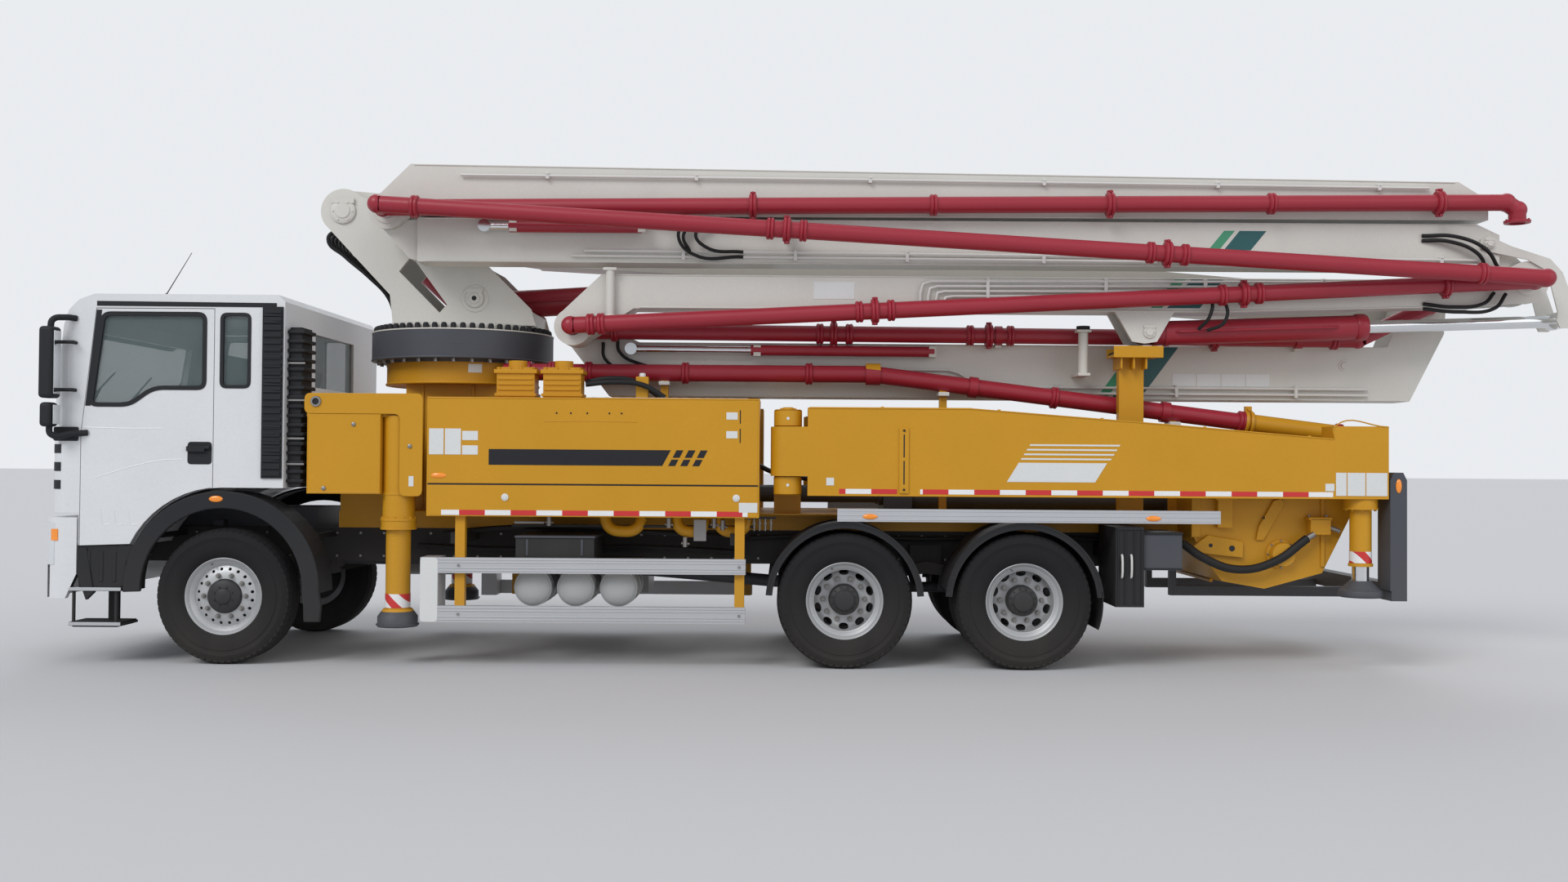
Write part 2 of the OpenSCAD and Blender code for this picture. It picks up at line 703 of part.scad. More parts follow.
module turret_plate_outline() {
    difference() {
        polygon(concat(arc(j0, 190, 50, 215, 14), [[-3601, 2993], [-3574, 2740], [-2373, 2740], [-2414, 2877],
            [-2778, 3238]]));
        polygon([[-3423, 3323], [-3526, 3190], [-3183, 2844], [-3121, 2913]]);
        translate(j0) circle(r = 90);
        translate(raise_pin) circle(r = 60);
    }
}
module turret() {
    color(slate) translate([ring_x, 0, 2556 + seat]) cylinder(r = ring_r, h = 123 - seat);
    color(boom_white) {
        translate([ring_x, 0, 2678]) cylinder(r = 700, h = 64);
        both_sides() side(340, 380) turret_plate_outline();
        block([-3560, -341, 2741], [-3520, 341, 2980]);
        block([-2450, -341, 2741], [-2410, 341, 2860]);
    }
    color(slate) {
        pin(j0, 90, -388, 388);
        pin(raise_pin, 60, -395, 395);
    }
    color(crimson) run([[j0[0], pipe_turret_y - 95, j0[1]], [j0[0], pipe_turret_y, j0[1]],
        [-3250, 560, 3000], [-3250, 560, 2700]], pipe_r);
}

// Boom sections

// A length of round bar from a towards b in the side plane at y
module ram(a, b, y, r, from, to) {
    u = (b - a) / norm(b - a);
    p = a + u * from;
    q = a + u * to;
    bar([p[0], y, p[1]], [q[0], y, q[1]], r);
}

// Barrel bored for its rod
module ram_barrel(a, b, y, r, rod_r, from, to) {
    difference() {
        ram(a, b, y, r, from, to);
        ram(a, b, y, rod_r + seat, from + 60, to + 1);
    }
}

// Rod with its round eye
module ram_rod(a, b, y, r, eye_r, from) {
    ram(a, b, y, r, from, norm(b - a));
    pin(b, eye_r, y - 45, y + 45);
}

// Pipe clamps that hold a straight pipe from p to q to the face at face_y, at places along X
module clamps(p, q, pipe_y, face_y, places, low, high) {
    for (x = places) {
        z = p[1] + (q[1] - p[1]) * (x - p[0]) / (q[0] - p[0]);
        block([x - 25, min(pipe_y, face_y), z - low], [x + 25, max(pipe_y, face_y), z + high]);
        bar([x - 30, pipe_y, z], [x + 30, pipe_y, z], pipe_r + 14);
    }
}

module arm_1() {
    color(boom_white) {
        difference() {
            union() {
                side(band_1[0], band_1[1])
                    polygon([[-2450, 3720], [5100, 3120], [5100, 2780], [-500, 3200], [-2450, 3300]]);
                side(-300, 300) polygon([[-4000, 3883], [-2400, 3752], [-2400, 3300], [-4000, 3503]]);
                pin(j0, 190, -300, 300);
                pin(j12, 170, band_1[0], band_1[1]);
                for (y = [raise_y - 95, raise_y + 65])
                    side(y, y + 30) polygon([[-640, 3225], [-560, 3020], [-440, 3020], [-300, 3225]]);
            }
            pin(j0, 90 + seat, -310, 310);
            pin(j12, 100 + seat, band_1[0] - 1, band_1[1] + 1);
        }
        clamps(j0, j12, pipe_1_y, band_1[1], [-2000, 1000, 4000], 40, 40);
    }
    color(crimson) run([[j0[0], pipe_turret_y - 97, j0[1]], [j0[0], pipe_1_y, j0[1]], [j12[0], pipe_1_y, j12[1]],
        [j12[0], 384, j12[1]]], pipe_r);
}

// The pin sleeve at the third section's pivot has a window for the pipe to leave through
module arm_2() {
    rise = [4500, 2662];
    sleeve_end = band_3[0] - 2;
    color(boom_white) {
        difference() {
            union() {
                side(band_2[0], band_2[1]) polygon([[-2130, 2640], [-1750, 2152], [4963, 2152], [5253, 2720],
                    [5268, 2930], [4935, 2990], [4780, 2607], [-1500, 2607], [-1880, 2790]]);
                pin(j12, 170, band_2[0], band_2[1]);
                pin(j23, 150, band_2[0], band_2[1]);
                pin(j12, 100, band_2[1] - 1, 365);
                pin(j23, 100, sleeve_end, band_2[0] + 1);
            }
            pin(j23, pipe_r + 5, sleeve_end - 1, band_2[0] + 1);
            pin(j12, pipe_r + 5, band_2[0] - 1, 366);
            block([j23[0], -550, j23[1] - 72], [j23[0] + 140, band_2[0] - 1, j23[1] + 72]);
        }
        clamps(j23, rise, pipe_2_y, band_2[0], [1500, 4000], 100, 40);
        difference() {
            for (x = [920, -540]) block([x, -500, 2490], [x + 60, band_2[0] + 1, 2580]);
            ram(ram_3[0], ram_3[1], -460, 28 + seat, 60, 2000);
        }
    }
    color(crimson) {
        run([[j23[0], sleeve_end, j23[1]], [j23[0], pipe_2_y, j23[1]],
            [rise[0], pipe_2_y, rise[1]], [j12[0], pipe_2_y, j12[1]], [j12[0], 380, j12[1]]], pipe_r);
        ram_barrel(ram_3[0], ram_3[1], -460, 45, 28, 0, 1527);
    }
}

module arm_3() {
    lug = [[2380, 2845], [2520, 2600], [2620, 2585], [2720, 2600], [2860, 2845]];
    color(boom_white) {
        difference() {
            union() {
                side(band_3[0], band_3[1]) polygon([[-2100, 2790], [-1760, 3115], [5350, 3115], [5350, 2905],
                    [4600, 2890], [3200, 2840], [-1500, 2840], [-1860, 2610]]);
                pin(j23, 150, band_3[0], band_3[1]);
                for (y = [band_3[0], band_3[1] - 60]) side(y, y + 60) union() {
                    polygon([[5300, 3115], [5680, 3265], [5680, 2935], [5300, 2905]]);
                    translate(j34) circle(r = 170);
                }
                for (y = [band_3[0], band_3[1] - 40]) side(y, y + 40) polygon(lug);
                pin(fold_pin, 40, band_3[0] + 10, band_3[1] - 10);
            }
            pin(j23, 100 + seat, band_3[0] - 1, band_3[1] + 1);
            pin(j34, 60 + seat, band_3[0] - 1, band_3[1] + 1);
        }
        clamps(j23, j34, pipe_3_y, band_3[0], [437, 3382, 4994], 40, 60);
    }
    color(crimson) run([[j23[0], band_3[0] - 16, j23[1]], [j23[0], pipe_3_y, j23[1]], [j34[0], pipe_3_y, j34[1]],
        [j34[0], join_y + join_gap, j34[1]]], pipe_r);
}

module arm_4() {
    inner = [band_3[0] + 65, band_3[1] - 65];
    color(boom_white) {
        side(band_3[0], band_3[1]) polygon([[-3250, 3207], [5480, 3207], [5480, 3480], [5300, 3565], [-3250, 3565]]);
        side(inner[0], inner[1]) union() {
            polygon([[5300, 3400], [5300, 3207], [5600, 2990], [5850, 3100], [5700, 3260], [5490, 3460]]);
            translate(j34) circle(r = 150);
            polygon([[-3620, 3600], [-3400, 3550], [-3200, 3560], [-3200, 3215], [-3330, 3240], [-3600, 3540]]);
            translate(j45) circle(r = 120);
        }
        for (j = [j34, j45]) pin(j, 60, band_3[0] - 6, band_3[1] + 6);
        pin(link_pin, 45, band_3[0] - 30, band_3[0] + 1);
        pin(link_pin, 45, band_3[1] - 1, band_3[1] + 30);
        clamps(j45, j34, pipe_4_y, band_3[0], [-270, 2725], 40, 60);
        difference() {
            for (x = [-1460, -2490]) block([x, -975, 3440], [x + 60, band_3[0] + 1, 3532]);
            ram(ram_5[0], ram_5[1], ram_5_y, 32 + seat, 60, 2000);
        }
    }
    color(crimson) {
        run([[j45[0], join_y - join_gap, j45[1]], [j45[0], pipe_4_y, j45[1]], [j34[0], pipe_4_y, j34[1]],
            [j34[0], join_y - join_gap, j34[1]]], pipe_r);
        ram_barrel(ram_5[0], ram_5[1], ram_5_y, 50, 32, 0, 1064);
    }
}

module arm_5() {
    color(boom_white) {
        side(band_3[0], band_3[1]) polygon([[-3300, 3580], [5390, 3600], [5390, 3760], [5150, 3908], [-3300, 3997]]);
        difference() {
            for (y = [band_3[0], band_3[1] - 60]) side(y, y + 60) union() {
                polygon([[-3560, 3750], [-3310, 3997], [-3299, 3997], [-3299, 3585], [-3450, 3480]]);
                translate(j45) circle(r = 150);
            }
            pin(j45, 60 + seat, band_3[0] - 1, band_3[1] + 1);
        }
        clamps(j45, tip, pipe_5_y, band_3[0], [-542, 2311, 4942], 40, 40);
    }
    color(crimson) difference() {
        run([[j45[0], join_y + join_gap, j45[1]], [j45[0], pipe_5_y, j45[1]], [tip[0], pipe_5_y, tip[1]],
            [tip[0] + 90, pipe_5_y, tip[1] - 60], [tip[0] + 90, pipe_5_y, tip[1] - 170]], pipe_r);
        translate([tip[0] + 90, pipe_5_y, tip[1] - 171]) cylinder(r = 60, h = 80);
    }
}

// Boom rams

module raise_barrel() {
    color(crimson) difference() {
        union() {
            ram_barrel(raise_pin, raise_eye, raise_y, 120, 62, 90, 1900);
            pin(raise_pin, 110, raise_y - 80, raise_y + 80);
        }
        pin(raise_pin, 60 + seat, raise_y - 81, raise_y + 81);
    }
}
module raise_rod() color(silver) ram_rod(raise_pin, raise_eye, raise_y, 62, 75, 200);
module rod_3() color(silver) ram_rod(ram_3[0], ram_3[1], -460, 28, 50, 1265);
module fold_barrel() {
    color(crimson) difference() {
        union() {
            ram_barrel(fold_pin, fold_eye, fold_y, 100, 50, 60, 1800);
            pin(fold_pin, 85, fold_y - 80, fold_y + 80);
        }
        pin(fold_pin, 40 + seat, fold_y - 81, fold_y + 81);
    }
}
module fold_rod() color(silver) ram_rod(fold_pin, fold_eye, fold_y, 50, 70, 1450);
module fold_link() {
    color(boom_white) for (y = [band_3[0] - link_gap - link_t, band_3[1] + link_gap]) difference() {
        side(y, y + link_t) polygon([[5383, 3470], [5577, 3385], [5879, 3290], [5980, 3180], [6085, 2884], [6085, 2770],
            [6040, 2730], [5960, 2730], [5930, 2790], [5940, 2860], [5885, 3080], [5860, 3190], [5700, 3280],
            [5383, 3344], [5320, 3370], [5320, 3440]]);
        pin(link_pin, 45 + seat, y - 1, y + link_t + 1);
    }
}
module rod_5() color(silver) ram_rod(ram_5[0], ram_5[1], ram_5_y, 32, 50, 560);

chassis_frame();
subframe();
engine();
front_axle();
rear_axles();
leaf_springs();
knuckle_left();
knuckle_right();
tyre_front_left();
tyre_front_right();
tyres_mid_left();
tyres_mid_right();
tyres_back_left();
tyres_back_right();
rim_front_left();
rim_front_right();
rims_mid_left();
rims_mid_right();
rims_back_left();
rims_back_right();
cab_shell();
cab_glass();
cab_interior();
cab_fittings();
door_left();
door_right();
front_bumper();
fenders();
side_boxes();
side_guards();
tanks();
rear_guard();
hopper();
hopper_grate();
pump_unit();
deck_pipe();
boom_rest();
outrigger_housing();
outrigger_front_left();
outrigger_front_right();
leg_front_left();
leg_front_right();
outrigger_rear_left();
outrigger_rear_right();
leg_rear_left();
leg_rear_right();
pedestal();
turret();
arm_1();
arm_2();
arm_3();
arm_4();
arm_5();
raise_barrel();
raise_rod();
rod_3();
fold_barrel();
fold_rod();
fold_link();
rod_5();
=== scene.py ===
"""Looks of a parked truck-mounted concrete pump with a folded five-section boom."""

from __future__ import annotations

import json
import logging
import math
from dataclasses import dataclass, field
from enum import Enum
from typing import Callable, Iterable, Sequence

import bmesh
import bpy
from mathutils import Matrix, Vector

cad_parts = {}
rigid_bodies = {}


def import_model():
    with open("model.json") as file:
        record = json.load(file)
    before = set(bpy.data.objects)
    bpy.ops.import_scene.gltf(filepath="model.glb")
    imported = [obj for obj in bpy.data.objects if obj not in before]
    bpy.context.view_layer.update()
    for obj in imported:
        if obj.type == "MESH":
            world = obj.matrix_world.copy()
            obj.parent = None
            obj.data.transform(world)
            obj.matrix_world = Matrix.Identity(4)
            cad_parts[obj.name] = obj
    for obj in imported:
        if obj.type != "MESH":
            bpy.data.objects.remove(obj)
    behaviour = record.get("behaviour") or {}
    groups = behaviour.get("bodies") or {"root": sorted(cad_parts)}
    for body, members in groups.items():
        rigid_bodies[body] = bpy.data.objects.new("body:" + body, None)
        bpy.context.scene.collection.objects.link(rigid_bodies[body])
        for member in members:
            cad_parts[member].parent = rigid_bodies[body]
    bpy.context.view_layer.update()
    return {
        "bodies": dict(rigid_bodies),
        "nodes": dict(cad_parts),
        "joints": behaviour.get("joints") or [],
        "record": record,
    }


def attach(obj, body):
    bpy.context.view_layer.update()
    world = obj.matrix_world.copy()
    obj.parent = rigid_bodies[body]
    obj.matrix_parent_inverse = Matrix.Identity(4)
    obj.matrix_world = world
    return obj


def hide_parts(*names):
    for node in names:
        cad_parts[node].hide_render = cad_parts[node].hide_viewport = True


LOG = logging.getLogger("concrete_pump")

Colour = tuple[float, float, float]
Point = tuple[float, float, float]

UP: Point = (0.0, 0.0, 1.0)
ALONG: Point = (1.0, 0.0, 0.0)


class Side(Enum):
    """The two sides of the truck, as the sign of Y."""

    LEFT = -1
    RIGHT = 1


class Pattern(Enum):
    """How a surface's colour is laid out."""

    PLAIN = "plain"
    TAPE = "tape"
    HAZARD = "hazard"


BOTH = (Side.LEFT, Side.RIGHT)


def side_word(side: Side) -> str:
    """Gives the word that names of this side's bodies and nodes end in."""
    return "left" if side is Side.LEFT else "right"


# Shader groups


class GroupMaker:
    """Builds one shader node group with named sockets."""

    def __init__(self, name: str, inputs: Sequence[tuple[str, str, object]],
                 outputs: Sequence[tuple[str, str]]) -> None:
        """Makes the empty group.

        Args:
            name: Name of the group.
            inputs: Socket name, type and default of each input.
            outputs: Socket name and type of each output.
        """
        self.tree = bpy.data.node_groups.new(name, "ShaderNodeTree")
        for label, kind, default in inputs:
            socket = self.tree.interface.new_socket(name=label, in_out="INPUT", socket_type=kind)
            socket.default_value = default
        for label, kind in outputs:
            self.tree.interface.new_socket(name=label, in_out="OUTPUT", socket_type=kind)
        self.source = self.tree.nodes.new("NodeGroupInput")
        self.sink = self.tree.nodes.new("NodeGroupOutput")

    def node(self, kind: str, **values: object) -> bpy.types.Node:
        """Adds a node and sets its properties."""
        made = self.tree.nodes.new(kind)
        for key, value in values.items():
            setattr(made, key, value)
        return made

    def wire(self, start: bpy.types.NodeSocket, end: bpy.types.NodeSocket) -> None:
        """Joins two sockets."""
        self.tree.links.new(start, end)

    def math(self, operation: str, *inputs: object) -> bpy.types.NodeSocket:
        """Adds a math node.

        Args:
            operation: Name of the math operation.
            inputs: Sockets or numbers for its inputs.

        Returns:
            The node's output socket.
        """
        made = self.node("ShaderNodeMath", operation=operation)
        for index, value in enumerate(inputs):
            if isinstance(value, bpy.types.NodeSocket):
                self.wire(value, made.inputs[index])
            else:
                made.inputs[index].default_value = value
        return made.outputs[0]

    def mix(self, factor: object, first: object, second: object) -> bpy.types.NodeSocket:
        """Mixes two colours by a factor and returns the result."""
        made = self.node("ShaderNodeMix", data_type="RGBA")
        for socket, value in ((made.inputs[0], factor), (made.inputs[6], first), (made.inputs[7], second)):
            if isinstance(value, bpy.types.NodeSocket):
                self.wire(value, socket)
            else:
                socket.default_value = value
        return made.outputs[2]

    def noise(self, scale: object, detail: float = 4.0,
              stretch: Point = (1.0, 1.0, 1.0)) -> bpy.types.NodeSocket:
        """Adds noise on the object's own coordinates.

        Args:
            scale: Number or socket for the noise scale.
            detail: Octaves of detail.
            stretch: Scale along each axis.

        Returns:
            The noise value from 0 to 1.
        """
        place = self.node("ShaderNodeTexCoord")
        mapping = self.node("ShaderNodeMapping")
        mapping.inputs["Scale"].default_value = stretch
        made = self.node("ShaderNodeTexNoise")
        made.inputs["Detail"].default_value = detail
        self.wire(place.outputs["Object"], mapping.inputs["Vector"])
        self.wire(mapping.outputs[0], made.inputs["Vector"])
        if isinstance(scale, bpy.types.NodeSocket):
            self.wire(scale, made.inputs["Scale"])
        else:
            made.inputs["Scale"].default_value = scale
        return made.outputs[0]

    def height(self) -> bpy.types.NodeSocket:
        """Returns the height over the ground in metres."""
        place = self.node("ShaderNodeTexCoord")
        split = self.node("ShaderNodeSeparateXYZ")
        self.wire(place.outputs["Object"], split.inputs[0])
        return split.outputs[2]


def road_dust_group() -> bpy.types.ShaderNodeTree:
    """Builds the group that lays dust low down and stains all over.

    Returns:
        The group, with colour, roughness and bump height as outputs.
    """
    maker = GroupMaker(
        "RoadDust",
        (
            ("Colour", "NodeSocketColor", (0.8, 0.8, 0.8, 1.0)),
            ("Dust", "NodeSocketColor", (0.26, 0.23, 0.18, 1.0)),
            ("Amount", "NodeSocketFloat", 0.3),
            ("Fade height", "NodeSocketFloat", 1.2),
            ("Roughness", "NodeSocketFloat", 0.4),
            ("Grain", "NodeSocketFloat", 60.0),
        ),
        (("Colour", "NodeSocketColor"), ("Roughness", "NodeSocketFloat"), ("Bump", "NodeSocketFloat")),
    )
    inputs = maker.source.outputs
    broad = maker.noise(1.6, 5.0)
    streaks = maker.noise(7.0, 4.0, (1.0, 1.0, 0.16))
    fine = maker.noise(inputs["Grain"], 3.0)
    low = maker.math("DIVIDE", maker.height(), inputs["Fade height"])
    low = maker.math("SUBTRACT", 1.0, low)
    low = maker.math("MAXIMUM", low, 0.0)
    mask = maker.math("MULTIPLY_ADD", low, 0.34, 0.05)
    mask = maker.math("MULTIPLY", mask, maker.math("MULTIPLY_ADD", broad, 1.1, streaks))
    mask = maker.math("MULTIPLY", mask, inputs["Amount"])
    mask = maker.math("MINIMUM", mask, 0.85)
    colour = maker.mix(mask, inputs["Colour"], inputs["Dust"])
    shade = maker.math("MULTIPLY_ADD", fine, 0.10, -0.05)
    dark = maker.math("MULTIPLY_ADD", broad, 0.16, -0.08)
    value = maker.node("ShaderNodeHueSaturation")
    maker.wire(colour, value.inputs["Color"])
    maker.wire(maker.math("ADD", 1.0, maker.math("ADD", shade, dark)), value.inputs["Value"])
    maker.wire(value.outputs[0], maker.sink.inputs["Colour"])
    rough = maker.math("MULTIPLY_ADD", mask, 0.45, inputs["Roughness"])
    rough = maker.math("MULTIPLY_ADD", fine, 0.08, rough)
    maker.wire(maker.math("MINIMUM", rough, 0.95), maker.sink.inputs["Roughness"])
    maker.wire(maker.math("ADD", fine, maker.math("MULTIPLY", broad, 0.5)), maker.sink.inputs["Bump"])
    return maker.tree


def band_group() -> bpy.types.ShaderNodeTree:
    """Builds the group that lays two colours in bands along a slanted direction.

    Returns:
        The group, with the banded colour as output.
    """
    maker = GroupMaker(
        "ColourBands",
        (
            ("First", "NodeSocketColor", (0.6, 0.02, 0.02, 1.0)),
            ("Second", "NodeSocketColor", (0.85, 0.85, 0.85, 1.0)),
            ("Along X", "NodeSocketFloat", 1.0),
            ("Along Z", "NodeSocketFloat", 0.0),
            ("Length", "NodeSocketFloat", 0.3),
        ),
        (("Colour", "NodeSocketColor"),),
    )
    inputs = maker.source.outputs
    place = maker.node("ShaderNodeTexCoord")
    split = maker.node("ShaderNodeSeparateXYZ")
    maker.wire(place.outputs["Object"], split.inputs[0])
    along = maker.math("MULTIPLY", split.outputs[0], inputs["Along X"])
    along = maker.math("ADD", along, maker.math("MULTIPLY", split.outputs[2], inputs["Along Z"]))
    step = maker.math("FRACT", maker.math("DIVIDE", along, inputs["Length"]))
    colour = maker.mix(maker.math("GREATER_THAN", step, 0.5), inputs["First"], inputs["Second"])
    maker.wire(colour, maker.sink.inputs["Colour"])
    return maker.tree


class Shop:
    """Holds the shader groups and the finished materials."""

    def __init__(self) -> None:
        """Builds the shared shader groups."""
        self.dust = road_dust_group()
        self.bands = band_group()
        self.made: dict[str, bpy.types.Material] = {}


@dataclass(frozen=True)
class Finish:
    """One surface finish of the truck."""

    name: str
    colour: Colour
    roughness: float = 0.4
    metallic: float = 0.0
    coat: float = 0.0
    dust: float = 0.3
    fade: float = 1.2
    grain: float = 60.0
    bump: float = 0.02
    second: Colour = (0.85, 0.85, 0.85)
    pattern: Pattern = Pattern.PLAIN
    length: float = 0.30
    alpha: float = 1.0
    transmission: float = 0.0
    glow: float = 0.0
    specular: float = 0.5

    def build(self, shop: Shop) -> bpy.types.Material:
        """Makes the material once and returns it.

        Args:
            shop: Holder of the groups and of what is already made.

        Returns:
            The finished material.
        """
        if self.name in shop.made:
            return shop.made[self.name]
        material = bpy.data.materials.new(self.name)
        material.use_nodes = True
        tree = material.node_tree
        shader = tree.nodes["Principled BSDF"]
        dust = tree.nodes.new("ShaderNodeGroup")
        dust.node_tree = shop.dust
        dust.inputs["Colour"].default_value = (*self.colour, 1.0)
        dust.inputs["Amount"].default_value = self.dust
        dust.inputs["Fade height"].default_value = self.fade
        dust.inputs["Roughness"].default_value = self.roughness
        dust.inputs["Grain"].default_value = self.grain
        if self.pattern is not Pattern.PLAIN:
            bands = tree.nodes.new("ShaderNodeGroup")
            bands.node_tree = shop.bands
            bands.inputs["First"].default_value = (*self.colour, 1.0)
            bands.inputs["Second"].default_value = (*self.second, 1.0)
            bands.inputs["Length"].default_value = self.length
            bands.inputs["Along Z"].default_value = 1.0 if self.pattern is Pattern.HAZARD else 0.0
            tree.links.new(bands.outputs["Colour"], dust.inputs["Colour"])
        bump = tree.nodes.new("ShaderNodeBump")
        bump.inputs["Strength"].default_value = self.bump
        bump.inputs["Distance"].default_value = 0.01
        tree.links.new(dust.outputs["Colour"], shader.inputs["Base Color"])
        tree.links.new(dust.outputs["Roughness"], shader.inputs["Roughness"])
        tree.links.new(dust.outputs["Bump"], bump.inputs["Height"])
        tree.links.new(bump.outputs[0], shader.inputs["Normal"])
        shader.inputs["Metallic"].default_value = self.metallic
        shader.inputs["Coat Weight"].default_value = self.coat
        shader.inputs["Specular IOR Level"].default_value = self.specular
        shader.inputs["Coat Roughness"].default_value = 0.12
        if self.transmission:
            shader.inputs["Transmission Weight"].default_value = self.transmission
        if self.alpha < 1.0:
            shader.inputs["Alpha"].default_value = self.alpha
        if self.glow:
            shader.inputs["Emission Color"].default_value = (*self.colour, 1.0)
            shader.inputs["Emission Strength"].default_value = self.glow
        shop.made[self.name] = material
        return material


YELLOW = Finish("golden_yellow_enamel", (0.60, 0.290, 0.010), 0.40, coat=0.06, dust=0.25, specular=0.32)
CAB_WHITE = Finish("cab_white_gloss", (0.74, 0.75, 0.76), 0.25, coat=0.3, dust=0.16)
BOOM_WHITE = Finish("boom_warm_white", (0.66, 0.64, 0.59), 0.42, coat=0.1, dust=0.28, fade=3.0)
CRIMSON = Finish("pipe_crimson", (0.34, 0.012, 0.030), 0.40, coat=0.15, dust=0.18)
FRAME_BLACK = Finish("chassis_black", (0.016, 0.017, 0.020), 0.55, dust=0.45, fade=1.4, specular=0.3)
TRIM_BLACK = Finish("black_plastic", (0.016, 0.017, 0.020), 0.58, dust=0.16, grain=220.0, bump=0.06,
                    specular=0.3)
SLATE = Finish("slate_grey_paint", (0.062, 0.068, 0.082), 0.45, dust=0.3, specular=0.4)
TYRE = Finish("tyre_rubber", (0.014, 0.014, 0.016), 0.80, dust=0.22, fade=0.8, grain=160.0, bump=0.10,
              specular=0.22)
HUB = Finish("hub_black", (0.024, 0.025, 0.028), 0.45, dust=0.20, specular=0.35)
RIM = Finish("rim_silver", (0.52, 0.53, 0.54), 0.38, metallic=0.45, dust=0.38)
ALUMINIUM = Finish("brushed_aluminium", (0.55, 0.56, 0.58), 0.40, metallic=0.45, dust=0.22)
TANK_GREY = Finish("tank_light_grey", (0.46, 0.47, 0.47), 0.42, dust=0.30)
CHROME = Finish("hard_chrome", (0.78, 0.79, 0.80), 0.12, metallic=1.0, dust=0.05, bump=0.0)
STEEL = Finish("bare_steel", (0.32, 0.31, 0.30), 0.42, metallic=0.9, dust=0.25)
GLASS = Finish("cab_glass", (0.16, 0.21, 0.21), 0.05, dust=0.03, bump=0.0, alpha=0.40)
CABIN = Finish("cab_cloth", (0.055, 0.055, 0.060), 0.8, dust=0.1, grain=240.0, bump=0.2)
HOSE = Finish("hose_rubber", (0.013, 0.013, 0.014), 0.5, dust=0.15, grain=300.0, bump=0.08, specular=0.3)
TUBE_WHITE = Finish("white_tube", (0.68, 0.67, 0.64), 0.35, coat=0.2, dust=0.2, fade=3.0)
GREEN = Finish("stripe_green", (0.055, 0.30, 0.16), 0.40, coat=0.1, dust=0.2, fade=3.0)
TEAL = Finish("stripe_teal", (0.012, 0.10, 0.105), 0.40, coat=0.1, dust=0.2, fade=3.0)
STRIPE_BLACK = Finish("stripe_black", (0.016, 0.016, 0.020), 0.45, dust=0.12, specular=0.3)
TAPE = Finish("reflective_tape", (0.62, 0.03, 0.03), 0.3, dust=0.1, pattern=Pattern.TAPE, length=0.40,
              bump=0.03)
LEG_TAPE = Finish("leg_bands", (0.62, 0.03, 0.03), 0.3, dust=0.15, pattern=Pattern.HAZARD, length=0.16)
PLATE = Finish("blank_plate", (0.72, 0.73, 0.72), 0.35, dust=0.15)
AMBER = Finish("amber_lens", (0.85, 0.26, 0.02), 0.15, coat=0.6, dust=0.05, glow=0.15)
RED_LENS = Finish("red_lens", (0.55, 0.01, 0.01), 0.15, coat=0.6, dust=0.05, glow=0.1)
LAMP_GLASS = Finish("lamp_glass", (0.75, 0.78, 0.80), 0.05, coat=0.8, dust=0.04, metallic=0.3)
MIRROR = Finish("mirror_glass", (0.85, 0.86, 0.87), 0.03, metallic=1.0, dust=0.03, bump=0.0)

NODE_FINISHES: dict[str, Finish] = {
    "chassis_frame": FRAME_BLACK,
    "subframe": YELLOW,
    "engine": SLATE,
    "front_axle": SLATE,
    "rear_axles": SLATE,
    "leaf_springs": FRAME_BLACK,
    "knuckle_left": SLATE,
    "knuckle_right": SLATE,
    "cab_shell": CAB_WHITE,
    "cab_glass": GLASS,
    "cab_interior": CABIN,
    "cab_fittings": TRIM_BLACK,
    "door_left": CAB_WHITE,
    "door_right": CAB_WHITE,
    "front_bumper": CAB_WHITE,
    "fenders": TRIM_BLACK,
    "side_boxes": YELLOW,
    "side_guards": ALUMINIUM,
    "tanks": TANK_GREY,
    "rear_guard": SLATE,
    "hopper": YELLOW,
    "hopper_grate": FRAME_BLACK,
    "pump_unit": YELLOW,
    "deck_pipe": CRIMSON,
    "boom_rest": YELLOW,
    "outrigger_housing": YELLOW,
    "outrigger_front_left": YELLOW,
    "outrigger_front_right": YELLOW,
    "outrigger_rear_left": YELLOW,
    "outrigger_rear_right": YELLOW,
    "leg_front_left": SLATE,
    "leg_front_right": SLATE,
    "leg_rear_left": SLATE,
    "leg_rear_right": SLATE,
    "pedestal": YELLOW,
    "turret": BOOM_WHITE,
    "arm_1": BOOM_WHITE,
    "arm_2": BOOM_WHITE,
    "arm_3": BOOM_WHITE,
    "arm_4": BOOM_WHITE,
    "arm_5": BOOM_WHITE,
    "raise_barrel": CRIMSON,
    "raise_rod": CHROME,
    "rod_3": CHROME,
    "fold_barrel": CRIMSON,
    "fold_rod": CHROME,
    "fold_link": BOOM_WHITE,
    "rod_5": CHROME,
}


# Mesh tools


def look_along(direction: Vector) -> Matrix:
    """Returns the turn that brings +Z onto a direction."""
    return direction.to_track_quat("Z", "Y").to_matrix().to_4x4()


def add_box(bm: bmesh.types.BMesh, low: Point, high: Point) -> list[bmesh.types.BMVert]:
    """Adds a box between two corners.

    Args:
        bm: Mesh that gets the box.
        low: Lowest corner in metres.
        high: Highest corner in metres.

    Returns:
        The new vertices.
    """
    size = [b - a for a, b in zip(low, high)]
    middle = Vector([(a + b) / 2 for a, b in zip(low, high)])
    matrix = Matrix.Translation(middle) @ Matrix.Diagonal((*size, 1.0))
    return bmesh.ops.create_cube(bm, size=1.0, matrix=matrix)["verts"]


